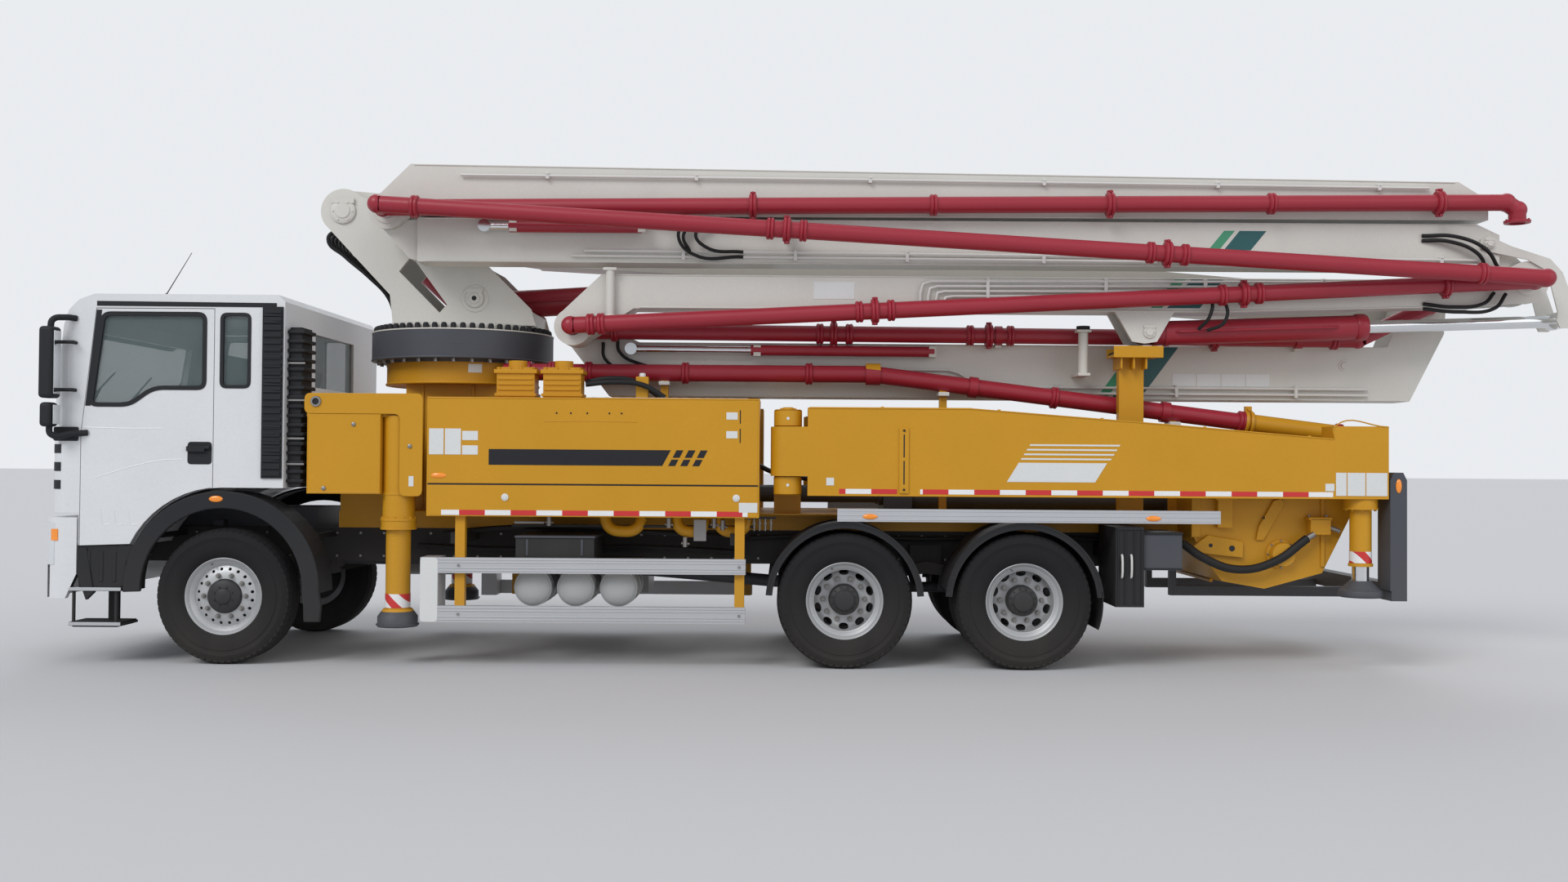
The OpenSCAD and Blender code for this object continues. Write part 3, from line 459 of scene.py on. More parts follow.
def add_rod(bm: bmesh.types.BMesh, start: Point, end: Point, radius: float, sides: int = 20,
            end_radius: float | None = None) -> None:
    """Adds a round or tapered bar between two points.

    Args:
        bm: Mesh that gets the bar.
        start: Middle of the first end.
        end: Middle of the last end.
        radius: Radius at the start.
        sides: Number of sides.
        end_radius: Radius at the end, when it tapers.
    """
    first = Vector(start)
    span = Vector(end) - first
    matrix = Matrix.Translation(first + span / 2) @ look_along(span)
    bmesh.ops.create_cone(bm, cap_ends=True, segments=sides, radius1=radius,
                          radius2=radius if end_radius is None else end_radius, depth=span.length,
                          matrix=matrix)


def add_ball(bm: bmesh.types.BMesh, middle: Point, radius: float, stretch: Point = (1.0, 1.0, 1.0)) -> None:
    """Adds a ball, stretched if asked."""
    matrix = Matrix.Translation(middle) @ Matrix.Diagonal((*stretch, 1.0))
    bmesh.ops.create_uvsphere(bm, u_segments=20, v_segments=12, radius=radius, matrix=matrix)


def add_turned(bm: bmesh.types.BMesh, outline: Sequence[tuple[float, float]], middle: Point, axis: Point,
               steps: int = 48) -> None:
    """Spins an outline of (radius, along) about an axis.

    Args:
        bm: Mesh that gets the turned shape.
        outline: Points as radius and distance along the axis.
        middle: Point on the axis where along is zero.
        axis: Direction of the axis.
        steps: Number of steps in the turn.
    """
    centre = Vector(middle)
    turn = look_along(Vector(axis))
    verts = [bm.verts.new(centre + turn @ Vector((radius, 0.0, level))) for radius, level in outline]
    edges = [
        bm.edges.new((verts[step - 1], verts[step]))
        for step in range(len(verts))
        if outline[step - 1][0] > 0.0 or outline[step][0] > 0.0
    ]
    bmesh.ops.spin(bm, geom=verts + edges, cent=centre, axis=Vector(axis), angle=math.tau, steps=steps,
                   use_merge=True)
    bmesh.ops.remove_doubles(bm, verts=bm.verts, dist=1e-5)


def add_plate(bm: bmesh.types.BMesh, outline: Sequence[tuple[float, float]], near: float, far: float) -> None:
    """Adds a plate drawn as (x, z) points and carried from one Y to another.

    Args:
        bm: Mesh that gets the plate.
        outline: Corners in the side view.
        near: Y of the first face.
        far: Y of the last face.
    """
    face = bm.faces.new([bm.verts.new((x, near, z)) for x, z in outline])
    grown = bmesh.ops.extrude_face_region(bm, geom=[face])["geom"]
    verts = [item for item in grown if isinstance(item, bmesh.types.BMVert)]
    bmesh.ops.translate(bm, verts=verts, vec=(0.0, far - near, 0.0))


def arc_points(middle: tuple[float, float], radius: float, start: float, end: float,
               count: int) -> list[tuple[float, float]]:
    """Returns points along an arc, with angles in degrees."""
    return [
        (
            middle[0] + radius * math.cos(math.radians(start + (end - start) * step / count)),
            middle[1] + radius * math.sin(math.radians(start + (end - start) * step / count)),
        )
        for step in range(count + 1)
    ]


class Yard:
    """Turns meshes into dressed pieces that ride on a body."""

    def __init__(self, shop: Shop) -> None:
        """Keeps the finishes' shop and counts the pieces."""
        self.shop = shop
        self.count = 0

    def piece(self, name: str, bm: bmesh.types.BMesh, finish: Finish | tuple[Finish, ...], body: str,
              slot: str, edge: float = 0.0, smooth: bool = True, turn: bool = True) -> bpy.types.Object:
        """Turns a mesh into an object, gives it its finish and lets it ride.

        Args:
            name: Name of the piece.
            bm: Its mesh, which is freed.
            finish: Its finish, or several in the order of its faces' indices.
            body: Body that it moves with.
            slot: Material slot of the record; not used.
            edge: Width of the bevel on its edges, in metres.
            smooth: Whether its round faces shade smoothly.
            turn: Whether its faces are turned outwards here.

        Returns:
            The new object.
        """
        if turn:
            bmesh.ops.recalc_face_normals(bm, faces=bm.faces)
        mesh = bpy.data.meshes.new(name)
        bm.to_mesh(mesh)
        bm.free()
        if "custom_normal" in mesh.attributes:
            mesh.attributes.remove(mesh.attributes["custom_normal"])
        made = bpy.data.objects.new(name, mesh)
        bpy.context.scene.collection.objects.link(made)
        for one in finish if isinstance(finish, tuple) else (finish,):
            mesh.materials.append(one.build(self.shop))
        if edge:
            bevel = made.modifiers.new("edge", "BEVEL")
            bevel.width = edge
            bevel.segments = 2
            bevel.limit_method = "ANGLE"
            bevel.angle_limit = math.radians(40)
        if smooth:
            mesh.shade_smooth()
            mesh.set_sharp_from_angle(angle=math.radians(38))
        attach(made, body)
        self.count += 1
        LOG.info("%s rides on %s", name, body)
        return made

    def tubes(self, name: str, routes: Iterable[Sequence[Point]], radius: float, finish: Finish, body: str,
              slot: str) -> bpy.types.Object:
        """Makes straight tubes with tight bends through points."""
        bent = []
        for route in routes:
            path = [Vector(point) for point in route]
            line = [tuple(path[0])]
            for before, here, after in zip(path, path[1:], path[2:]):
                for other in (before, after):
                    reach = min(radius * 4.0, (other - here).length * 0.4)
                    line.append(tuple(here + (other - here).normalized() * reach))
            line.append(tuple(path[-1]))
            bent.append(line)
        return self.hose(name, bent, radius, finish, body, slot, 2, True)

    def hose(self, name: str, routes: Iterable[Sequence[Point]], radius: float, finish: Finish, body: str,
             slot: str, sides: int = 3, straight: bool = False) -> bpy.types.Object:
        """Makes smooth hoses through points.

        Args:
            name: Name of the piece.
            routes: One list of points for each hose.
            radius: Radius of each hose.
            finish: Its finish.
            body: Body that it moves with.
            slot: Material slot of the record.
            sides: Roundness of the hose.
            straight: Whether it runs straight from point to point.

        Returns:
            The new object.
        """
        curve = bpy.data.curves.new(name, "CURVE")
        curve.dimensions = "3D"
        curve.bevel_depth = radius
        curve.bevel_resolution = sides
        curve.resolution_u = 1 if straight else 8
        curve.use_fill_caps = True
        for route in routes:
            spline = curve.splines.new("BEZIER")
            spline.bezier_points.add(len(route) - 1)
            for point, place in zip(spline.bezier_points, route):
                point.co = place
                point.handle_left_type = "VECTOR" if straight else "AUTO"
                point.handle_right_type = "VECTOR" if straight else "AUTO"
        holder = bpy.data.objects.new(name + "_path", curve)
        bpy.context.scene.collection.objects.link(holder)
        bpy.context.view_layer.update()
        mesh = bpy.data.meshes.new_from_object(holder)
        bpy.data.objects.remove(holder)
        bm = bmesh.new()
        bm.from_mesh(mesh)
        bmesh.ops.remove_doubles(bm, verts=bm.verts, dist=1e-6)
        return self.piece(name, bm, finish, body, slot)


def rectangle(left: float, right: float, low: float, high: float,
              lean: float = 0.0) -> list[tuple[float, float]]:
    """Returns the corners of an upright rectangle.

    Args:
        left: First value along the lower edge.
        right: Last value along the lower edge.
        low: Height of the lower edge.
        high: Height of the upper edge.
        lean: How far the upper edge is shifted along the lower one.

    Returns:
        The corners in order, which also serve as the section of a turned band.
    """
    return [(left, low), (right, low), (right + lean, high), (left + lean, high)]


def around(count: int, radius: float, first: float = 0.0) -> list[tuple[float, float]]:
    """Returns places spread evenly on a circle about zero.

    Args:
        count: Number of places.
        radius: Radius of the circle.
        first: Where the first place lies, as a share of the step between two.

    Returns:
        The places in order.
    """
    turns = [math.tau * (step + first) / count for step in range(count)]
    return [(radius * math.cos(turn), radius * math.sin(turn)) for turn in turns]


def across(side: Side, near: float, far: float) -> tuple[float, float]:
    """Returns the lower and the upper Y of two distances from the middle plane, on one side."""
    low, high = sorted((side.value * near, side.value * far))
    return low, high


# Studio


@dataclass
class Studio:
    """Floor, lights and camera."""

    eye: Point = (-0.281, -12.25, 1.60)
    lens: float = 32.49
    pitch: float = 0.90
    roll: float = 0.40
    floor_size: float = 400.0

    def floor(self) -> None:
        """Lays the pale floor."""
        bm = bmesh.new()
        bmesh.ops.create_grid(bm, x_segments=1, y_segments=1, size=self.floor_size / 2)
        mesh = bpy.data.meshes.new("studio_floor")
        bm.to_mesh(mesh)
        bm.free()
        plane = bpy.data.objects.new("studio_floor", mesh)
        bpy.context.scene.collection.objects.link(plane)
        material = bpy.data.materials.new("pale_floor")
        material.use_nodes = True
        shader = material.node_tree.nodes["Principled BSDF"]
        shader.inputs["Base Color"].default_value = (0.60, 0.60, 0.61, 1.0)
        shader.inputs["Roughness"].default_value = 0.9
        mesh.materials.append(material)

    def world(self) -> None:
        """Gives a soft even sky, pale where the camera sees it."""
        world = bpy.data.worlds.new("studio_sky")
        bpy.context.scene.world = world
        world.use_nodes = True
        tree = world.node_tree
        back = tree.nodes["Background"]
        back.inputs["Color"].default_value = (0.86, 0.90, 0.96, 1.0)
        back.inputs["Strength"].default_value = 0.58
        pale = tree.nodes.new("ShaderNodeBackground")
        pale.inputs["Color"].default_value = (0.82, 0.84, 0.87, 1.0)
        path = tree.nodes.new("ShaderNodeLightPath")
        mix = tree.nodes.new("ShaderNodeMixShader")
        tree.links.new(path.outputs["Is Camera Ray"], mix.inputs[0])
        tree.links.new(back.outputs[0], mix.inputs[1])
        tree.links.new(pale.outputs[0], mix.inputs[2])
        tree.links.new(mix.outputs[0], tree.nodes["World Output"].inputs["Surface"])

    def lamp(self, name: str, place: Point, power: float, spread: float) -> None:
        """Hangs one wide, far lamp that shines evenly towards the truck.

        Args:
            name: Name of the lamp.
            place: Direction that its light comes from.
            power: Its power in watts per square metre.
            spread: Width of the lamp as seen from the truck, in degrees.
        """
        light = bpy.data.lights.new(name, "SUN")
        light.energy = power
        light.angle = math.radians(spread)
        holder = bpy.data.objects.new(name, light)
        holder.matrix_world = look_along(Vector(place)).to_4x4()
        bpy.context.scene.collection.objects.link(holder)

    def camera(self) -> None:
        """Stands the camera where the photograph was taken."""
        data = bpy.data.cameras.new("photo_camera")
        data.lens = self.lens
        data.sensor_width = 36.0
        data.clip_end = 500.0
        camera = bpy.data.objects.new("photo_camera", data)
        rise = Matrix.Rotation(math.radians(90.0 + self.pitch), 4, "X")
        turn = rise @ Matrix.Rotation(math.radians(self.roll), 4, "Z")
        camera.matrix_world = Matrix.Translation(self.eye) @ turn
        bpy.context.scene.collection.objects.link(camera)
        bpy.context.scene.camera = camera

    def build(self) -> None:
        """Sets up the whole studio."""
        bpy.context.scene.view_settings.view_transform = "Standard"
        self.camera()
        self.floor()
        self.world()
        self.lamp("key_lamp", (-9.0, -13.0, 13.0), 1.30, 28.0)
        self.lamp("fill_lamp", (11.0, -11.0, 7.0), 0.45, 50.0)
        self.lamp("back_lamp", (2.0, 12.0, 11.0), 0.60, 40.0)


# Dressing


class CadDress:
    """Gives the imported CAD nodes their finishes."""

    def __init__(self, shop: Shop) -> None:
        """Keeps the finishes' shop."""
        self.shop = shop

    def build(self, nodes: dict[str, bpy.types.Object]) -> None:
        """Assigns a finish to every node.

        Args:
            nodes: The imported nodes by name.
        """
        for name, node in nodes.items():
            finish = NODE_FINISHES.get(name)
            if finish is None:
                finish = TYRE if name.startswith("tyre") else RIM if name.startswith("rim") else None
            if finish is None:
                LOG.warning("no finish for %s", name)
                continue
            material = finish.build(self.shop)
            for index in range(len(node.material_slots)):
                node.material_slots[index].material = material


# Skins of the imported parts


@dataclass(frozen=True)
class Near:
    """Faces that lie within a reach of a bent line."""

    route: tuple[Point, ...]
    reach: float

    def holds(self, point: Vector) -> bool:
        """Tells whether a point is near the line."""
        for first, last in zip(self.route, self.route[1:]):
            start, span = Vector(first), Vector(last) - Vector(first)
            share = min(1.0, max(0.0, (point - start).dot(span) / span.length_squared))
            if (point - start - span * share).length <= self.reach:
                return True
        return False


@dataclass(frozen=True)
class Within:
    """Faces that lie in a box, or in its mirror image across the truck."""

    low: Point
    high: Point
    both: bool = True

    def holds(self, point: Vector) -> bool:
        """Tells whether a point is in the box."""
        place = (point.x, abs(point.y) if self.both else point.y, point.z)
        return all(least <= value <= most for least, value, most in zip(self.low, place, self.high))


@dataclass(frozen=True)
class Skin:
    """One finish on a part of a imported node."""

    name: str
    finish: Finish
    slot: str
    area: Near | Within | None = None


PIPE_TURRET: tuple[Point, ...] = ((-4.0, 0.545, 3.693), (-4.0, 0.64, 3.693), (-3.25, 0.56, 3.0),
                                  (-3.25, 0.56, 2.7))
PIPE_1: tuple[Point, ...] = ((-4.0, 0.543, 3.693), (-4.0, 0.46, 3.693), (5.1, 0.46, 2.95), (5.1, 0.384, 2.95))
PIPE_2: tuple[Point, ...] = ((-1.992, -0.862, 2.69), (-1.992, -0.46, 2.69), (4.5, -0.46, 2.662),
                             (5.1, -0.46, 2.95), (5.1, 0.38, 2.95))
PIPE_3: tuple[Point, ...] = ((-1.992, -0.876, 2.69), (-1.992, -0.97, 2.69), (5.707, -0.97, 3.1),
                             (5.707, -1.049, 3.1))
PIPE_4: tuple[Point, ...] = ((-3.5, -1.051, 3.62), (-3.5, -1.14, 3.62), (5.707, -1.14, 3.1),
                             (5.707, -1.051, 3.1))
PIPE_5: tuple[Point, ...] = ((-3.5, -1.049, 3.62), (-3.5, -0.97, 3.62), (5.476, -0.97, 3.723),
                             (5.566, -0.97, 3.663), (5.566, -0.97, 3.553))
PIPE_DECK: tuple[Point, ...] = ((-2.6, -0.55, 2.34), (0.45, -0.55, 2.34), (4.5, -0.55, 1.844),
                                (4.5, -0.55, 1.33), (4.4, -0.55, 1.33))
BARREL_3: tuple[Point, ...] = ((0.965, -0.46, 2.537), (-0.562, -0.46, 2.542))
BARREL_5: tuple[Point, ...] = ((-1.431, -0.93, 3.486), (-2.495, -0.93, 3.486))

PIPE_REACH = 0.0825


def boom_skins(route: tuple[Point, ...], *barrels: tuple[Point, ...]) -> tuple[Skin, ...]:
    """Lists the skins of one boom section.

    Args:
        route: Middle line of its delivery pipe.
        barrels: Middle lines of the ram barrels on it.

    Returns:
        The crimson pipe and barrels, and the white rest.
    """
    skins = [Skin("pipe", CRIMSON, "pipe_red", Near(route, PIPE_REACH))]
    skins += [Skin("barrel", CRIMSON, "pipe_red", Near(barrel, 0.053)) for barrel in barrels]
    return (*skins, Skin("box", BOOM_WHITE, "boom_white"))


DOOR_SKINS: tuple[Skin, ...] = (
    Skin("pane", GLASS, "glass", Within((-5.70, 1.2090, 2.0), (-4.78, 1.2210, 2.75))),
    Skin("handle", TRIM_BLACK, "cab_trim", Within((-4.93, 1.2395, 1.65), (-4.77, 1.28, 1.71))),
    Skin("panel", CAB_WHITE, "cab_white"),
)

FRONT_LEG_SKINS: tuple[Skin, ...] = (
    Skin("foot", SLATE, "frame_black", Within((-3.5, 0.9, 0.29), (-3.1, 1.3, 0.4305))),
    Skin("tube", YELLOW, "rod_chrome"),
)

REAR_LEG_SKINS: tuple[Skin, ...] = (
    Skin("foot", SLATE, "frame_black", Within((4.0, 0.9, 0.57), (4.5, 1.3, 0.7095))),
    Skin("tube", CHROME, "rod_chrome"),
)

NODE_SKINS: dict[str, tuple[Skin, ...]] = {
    "turret": (
        Skin("pipe", CRIMSON, "pipe_red", Near(PIPE_TURRET, PIPE_REACH)),
        Skin("ring", SLATE, "frame_black", Within((-3.9, 0.0, 2.5), (-2.1, 0.9, 2.6796))),
        Skin("body", BOOM_WHITE, "boom_white"),
    ),
    "arm_1": boom_skins(PIPE_1),
    "arm_2": boom_skins(PIPE_2, BARREL_3),
    "arm_3": boom_skins(PIPE_3),
    "arm_4": boom_skins(PIPE_4, BARREL_5),
    "arm_5": boom_skins(PIPE_5),
    "deck_pipe": (
        Skin("pipe", CRIMSON, "pipe_red", Near(PIPE_DECK, 0.093)),
        Skin("posts", YELLOW, "body_yellow"),
    ),
    "door_left": DOOR_SKINS,
    "door_right": DOOR_SKINS,
    "front_bumper": (
        Skin("lamp", LAMP_GLASS, "glass", Within((-6.2, 0.69, 0.79), (-6.079, 1.01, 1.01))),
        Skin("bracket", FRAME_BLACK, "frame_black", Within((-6.041, 0.294, 0.69), (-5.64, 0.386, 1.15))),
        Skin("step", TRIM_BLACK, "cab_trim", Within((-5.831, 0.94, 0.29), (-5.41, 1.25, 0.83))),
        Skin("shell", CAB_WHITE, "cab_white"),
    ),
    "side_guards": (
        Skin("front_post", YELLOW, "body_yellow", Within((-2.841, 1.139, 0.34), (-2.763, 1.2065, 1.18))),
        Skin("rear_post", YELLOW, "body_yellow", Within((-0.661, 1.139, 0.34), (-0.583, 1.2065, 1.18))),
        Skin("bracket", YELLOW, "body_yellow", Within((0.84, 0.75, 1.17), (2.67, 1.192, 1.235))),
        Skin("rail", ALUMINIUM, "aluminium"),
    ),
    "tanks": (
        Skin("toolbox", TRIM_BLACK, "cab_trim", Within((2.30, 0.42, 0.49), (2.5255, 1.25, 1.13))),
        Skin("battery", SLATE, "frame_black", Within((2.53, 0.42, 0.78), (2.84, 1.21, 1.09))),
        Skin("bottle", TANK_GREY, "aluminium", Within((-2.41, 0.57, 0.45), (-1.41, 1.121, 0.7575))),
        Skin("tank", TANK_GREY, "aluminium", Within((-2.41, 0.599, 0.41), (-1.49, 1.151, 1.001), False)),
        Skin("frame", FRAME_BLACK, "frame_black"),
    ),
    "rear_guard": (
        Skin("lamp", RED_LENS, "glass", Within((4.5695, 0.69, 0.58), (4.60, 0.97, 0.67))),
        Skin("frame", SLATE, "frame_black"),
    ),
    "hopper": (
        Skin("shaft", SLATE, "axle_steel", Within((3.49, 0.0, 0.69), (3.91, 0.8795, 1.12))),
        Skin("pan", YELLOW, "body_yellow"),
    ),
    "pump_unit": (
        Skin("pump", SLATE, "axle_steel", Within((-0.91, 0.0, 1.19), (3.05, 0.35, 1.53))),
        Skin("case", YELLOW, "body_yellow"),
    ),
    "pedestal": (
        Skin("ring", SLATE, "frame_black", Within((-3.9, 0.0, 2.4455), (-2.1, 0.9, 2.56))),
        Skin("column", YELLOW, "body_yellow"),
    ),
    "leg_front_left": FRONT_LEG_SKINS,
    "leg_front_right": FRONT_LEG_SKINS,
    "leg_rear_left": REAR_LEG_SKINS,
    "leg_rear_right": REAR_LEG_SKINS,
}


class NodeSkins:
    """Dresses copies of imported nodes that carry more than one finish."""

    def __init__(self, yard: Yard, frame: dict) -> None:
        """Keeps the yard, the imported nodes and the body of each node."""
        self.yard = yard
        self.nodes: dict[str, bpy.types.Object] = frame["nodes"]
        bodies = frame["record"]["behaviour"]["bodies"]
        self.rides = {node: body for body, owned in bodies.items() for node in owned}

    def build(self) -> None:
        """Dresses every node that has skins."""
        for node, skins in NODE_SKINS.items():
            self.dress(node, skins)

    def dress(self, node: str, skins: Sequence[Skin]) -> None:
        """Makes the dressed copy that stands for a node.

        Args:
            node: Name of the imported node.
            skins: Its skins; the last takes the faces that no other holds.
        """
        shell = bmesh.new()
        shell.from_mesh(self.nodes[node].data)
        bmesh.ops.remove_doubles(shell, verts=shell.verts, dist=1e-6)
        for face in shell.faces:
            face.material_index = self.owner(face, skins)
        found = {face.material_index for face in shell.faces}
        for index, skin in enumerate(skins):
            if index not in found:
                LOG.warning("%s has no %s", node, skin.name)
        made = self.yard.piece(f"{node}_dressed", shell, tuple(skin.finish for skin in skins),
                               self.rides[node], skins[-1].slot, turn=False)
        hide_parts(node)

    @staticmethod
    def owner(face: bmesh.types.BMFace, skins: Sequence[Skin]) -> int:
        """Finds the skin that holds the whole of a face.

        Args:
            face: Face to be placed.
            skins: Skins in their order.

        Returns:
            The place of the skin in the list.
        """
        for index, skin in enumerate(skins[:-1]):
            if all(skin.area.holds(vert.co) for vert in face.verts):
                return index
        return len(skins) - 1


# Wheels


def cut_out(body: bmesh.types.BMesh, tool: bmesh.types.BMesh) -> bmesh.types.BMesh:
    """Cuts one closed mesh out of another.

    Args:
        body: Mesh that is cut, freed here.
        tool: Mesh that cuts, freed here.

    Returns:
        The mesh that is left.
    """
    holders = []
    for name, bm in (("cut_body", body), ("cut_tool", tool)):
        bmesh.ops.recalc_face_normals(bm, faces=bm.faces)
        mesh = bpy.data.meshes.new(name)
        bm.to_mesh(mesh)
        bm.free()
        holder = bpy.data.objects.new(name, mesh)
        bpy.context.scene.collection.objects.link(holder)
        holders.append(holder)
    cut = holders[0].modifiers.new("cut", "BOOLEAN")
    cut.operation = "DIFFERENCE"
    cut.solver = "EXACT"
    cut.object = holders[1]
    bpy.context.view_layer.update()
    solved = holders[0].evaluated_get(bpy.context.evaluated_depsgraph_get())
    left = bmesh.new()
    left.from_mesh(solved.to_mesh())
    solved.to_mesh_clear()
    for holder in holders:
        mesh = holder.data
        bpy.data.objects.remove(holder)
        bpy.data.meshes.remove(mesh)
    return left


@dataclass(frozen=True)
class WheelSpot:
    """One wheel: its body, the nodes that it stands for and its place."""

    body: str
    tyre_node: str
    rim_node: str
    x: float
    y: float
    outward: int
    steered: bool = False


@dataclass
class Wheels:
    """Tyres with ribs and lugs, pressed rims with their holes, nuts and hubs."""

    yard: Yard
    centre_z: float = 0.530
    tyre_r: float = 0.530
    half_w: float = 0.145
    seat_r: float = 0.292
    lugs: int = 60
    nuts: int = 10
    nut_ring: float = 0.165
    front_axle_x: float = -4.650
    rear_axles_x: tuple[float, float] = (0.200, 1.600)
    front_y: float = 1.065
    inner_y: float = 0.750
    outer_y: float = 1.090

    def spots(self) -> list[list[WheelSpot]]:
        """Lists the wheels, grouped by the node they stand for."""
        groups = []
        for side in BOTH:
            word = side_word(side)
            out = side.value
            groups.append([WheelSpot(f"wheel_front_{word}", f"tyre_front_{word}", f"rim_front_{word}",
                                     self.front_axle_x, out * self.front_y, out, steered=True)])
            for x, place in zip(self.rear_axles_x, ("mid", "back")):
                body, tyre, rim = f"wheels_{place}_{word}", f"tyres_{place}_{word}", f"rims_{place}_{word}"
                groups.append([
                    WheelSpot(body, tyre, rim, x, out * self.outer_y, out),
                    WheelSpot(body, tyre, rim, x, out * self.inner_y, -out),
                ])
        return groups

    def tyre_outline(self) -> list[tuple[float, float]]:
        """Draws half a turn's section of a tyre as (radius, along)."""
        half, outer, seat = self.half_w, self.tyre_r, self.seat_r
        side = [(seat, half - 0.040), (seat + 0.012, half - 0.022), (seat + 0.030, half - 0.016),
                (seat + 0.036, half - 0.010), (seat + 0.090, half), (outer - 0.110, half),
                (outer - 0.106, half - 0.004), (outer - 0.074, half - 0.004), (outer - 0.070, half - 0.002),
                (outer - 0.030, half - 0.014), (outer - 0.016, half - 0.026), (outer - 0.012, half - 0.034)]
        tread = []
        for groove in (0.075, 0.026, -0.026, -0.075):
            tread += [(outer - 0.001, groove + 0.007), (outer - 0.016, groove + 0.004),
                      (outer - 0.016, groove - 0.004), (outer - 0.001, groove - 0.007)]
        return side + tread + [(radius, -along) for radius, along in reversed(side)]

    def add_lugs(self, bm: bmesh.types.BMesh, spot: WheelSpot) -> None:
        """Adds the shoulder blocks of one tyre."""
        depth, wide = 0.040, 0.036
        for side in (-1, 1):
            low, high = sorted((side * (self.half_w - 0.052), side * (self.half_w - 0.0145)))
            for step in range(self.lugs):
                turn = Matrix.Rotation(math.tau * step / self.lugs, 4, "Y")
                verts = add_box(bm, (self.tyre_r - depth, low, -wide / 2),
                                (self.tyre_r - 0.0015, high, wide / 2))
                for vert in verts:
                    slope = max(0.0, abs(vert.co.y) - self.half_w + 0.030)
                    vert.co.x -= slope * 1.1 if vert.co.x > self.tyre_r - 0.01 else 0.0
                bmesh.ops.transform(bm, verts=verts,
                                    matrix=Matrix.Translation((spot.x, spot.y, self.centre_z)) @ turn)

    def tyre(self, group: Sequence[WheelSpot]) -> None:
        """Makes the tyres of one node."""
        bm = bmesh.new()
        for spot in group:
            add_turned(bm, self.tyre_outline(), (spot.x, spot.y, self.centre_z), (0.0, 1.0, 0.0), 96)
        for spot in group:
            self.add_lugs(bm, spot)
        made = self.yard.piece(group[0].tyre_node + "_treaded", bm, TYRE, group[0].body, "tyre_rubber")
        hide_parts(group[0].tyre_node)

    def rim_outline(self, spot: WheelSpot) -> list[tuple[float, float]]:
        """Draws the section of a rim as (radius, along), with along growing outwards."""
        edge = self.half_w - 0.026
        if spot.steered:
            disc = [(0.238, 0.062), (0.214, 0.072), (0.188, 0.086), (0.110, 0.086), (0.110, 0.072),
                    (0.184, 0.072), (0.208, 0.060), (0.236, 0.048)]
        else:
            disc = [(0.238, -0.020), (0.222, -0.050), (0.196, -0.066), (0.110, -0.066), (0.110, -0.080),
                    (0.192, -0.080), (0.214, -0.066), (0.236, -0.034)]
        return [(0.291, edge - 0.014), (0.300, edge - 0.006), (0.304, edge), (0.298, edge + 0.004),
                (0.288, edge - 0.004), (0.279, edge - 0.020), (0.272, edge - 0.028), (0.258, edge - 0.034),
                (0.250, edge - 0.046), (0.240, edge - 0.052), *disc, (0.238, -edge + 0.052),
                (0.250, -edge + 0.046), (0.279, -edge + 0.014), (0.291, -edge + 0.006),
                (0.291, -edge + 0.030), (0.262, -edge + 0.060), (0.262, edge - 0.066)]

    def holes(self, spot: WheelSpot, axis: int) -> bmesh.types.BMesh:
        """Makes the tool that cuts a rim's hand holes."""
        tool = bmesh.new()
        count, ring, radius, stretch = (20, 0.212, 0.0125, 1.0) if spot.steered else (10, 0.214, 0.026, 1.5)
        near, far = (0.040, 0.100) if spot.steered else (-0.100, -0.020)
        for step in range(count):
            angle = math.tau * (step + 0.5) / count
            matrix = (Matrix.Translation((spot.x, spot.y + axis * (near + far) / 2, self.centre_z))
                      @ Matrix.Rotation(angle, 4, "Y") @ Matrix.Translation((ring, 0.0, 0.0))
                      @ Matrix.Rotation(math.radians(90), 4, "X") @ Matrix.Diagonal((1.0, stretch, 1.0, 1.0)))
            bmesh.ops.create_cone(tool, cap_ends=True, segments=16, radius1=radius, radius2=radius,
                                  depth=far - near, matrix=matrix)
        return tool

    def rim(self, group: Sequence[WheelSpot]) -> None:
        """Makes the rims of one node, with their hand holes."""
        bm = bmesh.new()
        for spot in group:
            one = bmesh.new()
            add_turned(one, self.rim_outline(spot), (spot.x, spot.y, self.centre_z), (0.0, spot.outward, 0.0),
                       64)
            one = cut_out(one, self.holes(spot, spot.outward))
            mesh = bpy.data.meshes.new("rim_part")
            one.to_mesh(mesh)
            one.free()
            bm.from_mesh(mesh)
            bpy.data.meshes.remove(mesh)
        made = self.yard.piece(group[0].rim_node + "_pressed", bm, RIM, group[0].body, "rim_silver",
                               turn=False)
        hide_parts(group[0].rim_node)

    def face_y(self, spot: WheelSpot) -> float:
        """Returns the Y of a wheel's bolting face."""
        return spot.y + spot.outward * (0.086 if spot.steered else -0.066)

    def add_nuts(self, bm: bmesh.types.BMesh, spot: WheelSpot) -> None:
        """Adds the wheel nuts with their washers and stud ends."""
        face = self.face_y(spot)
        for dx, dz in around(self.nuts, self.nut_ring):
            x, z = spot.x + dx, self.centre_z + dz
            for radius, start, end, sides in ((0.021, 0.0, 0.004, 20), (0.017, 0.003, 0.024, 6),
                                              (0.010, 0.022, 0.036, 12)):
                add_rod(bm, (x, face + spot.outward * start, z), (x, face + spot.outward * end, z), radius,
                        sides)

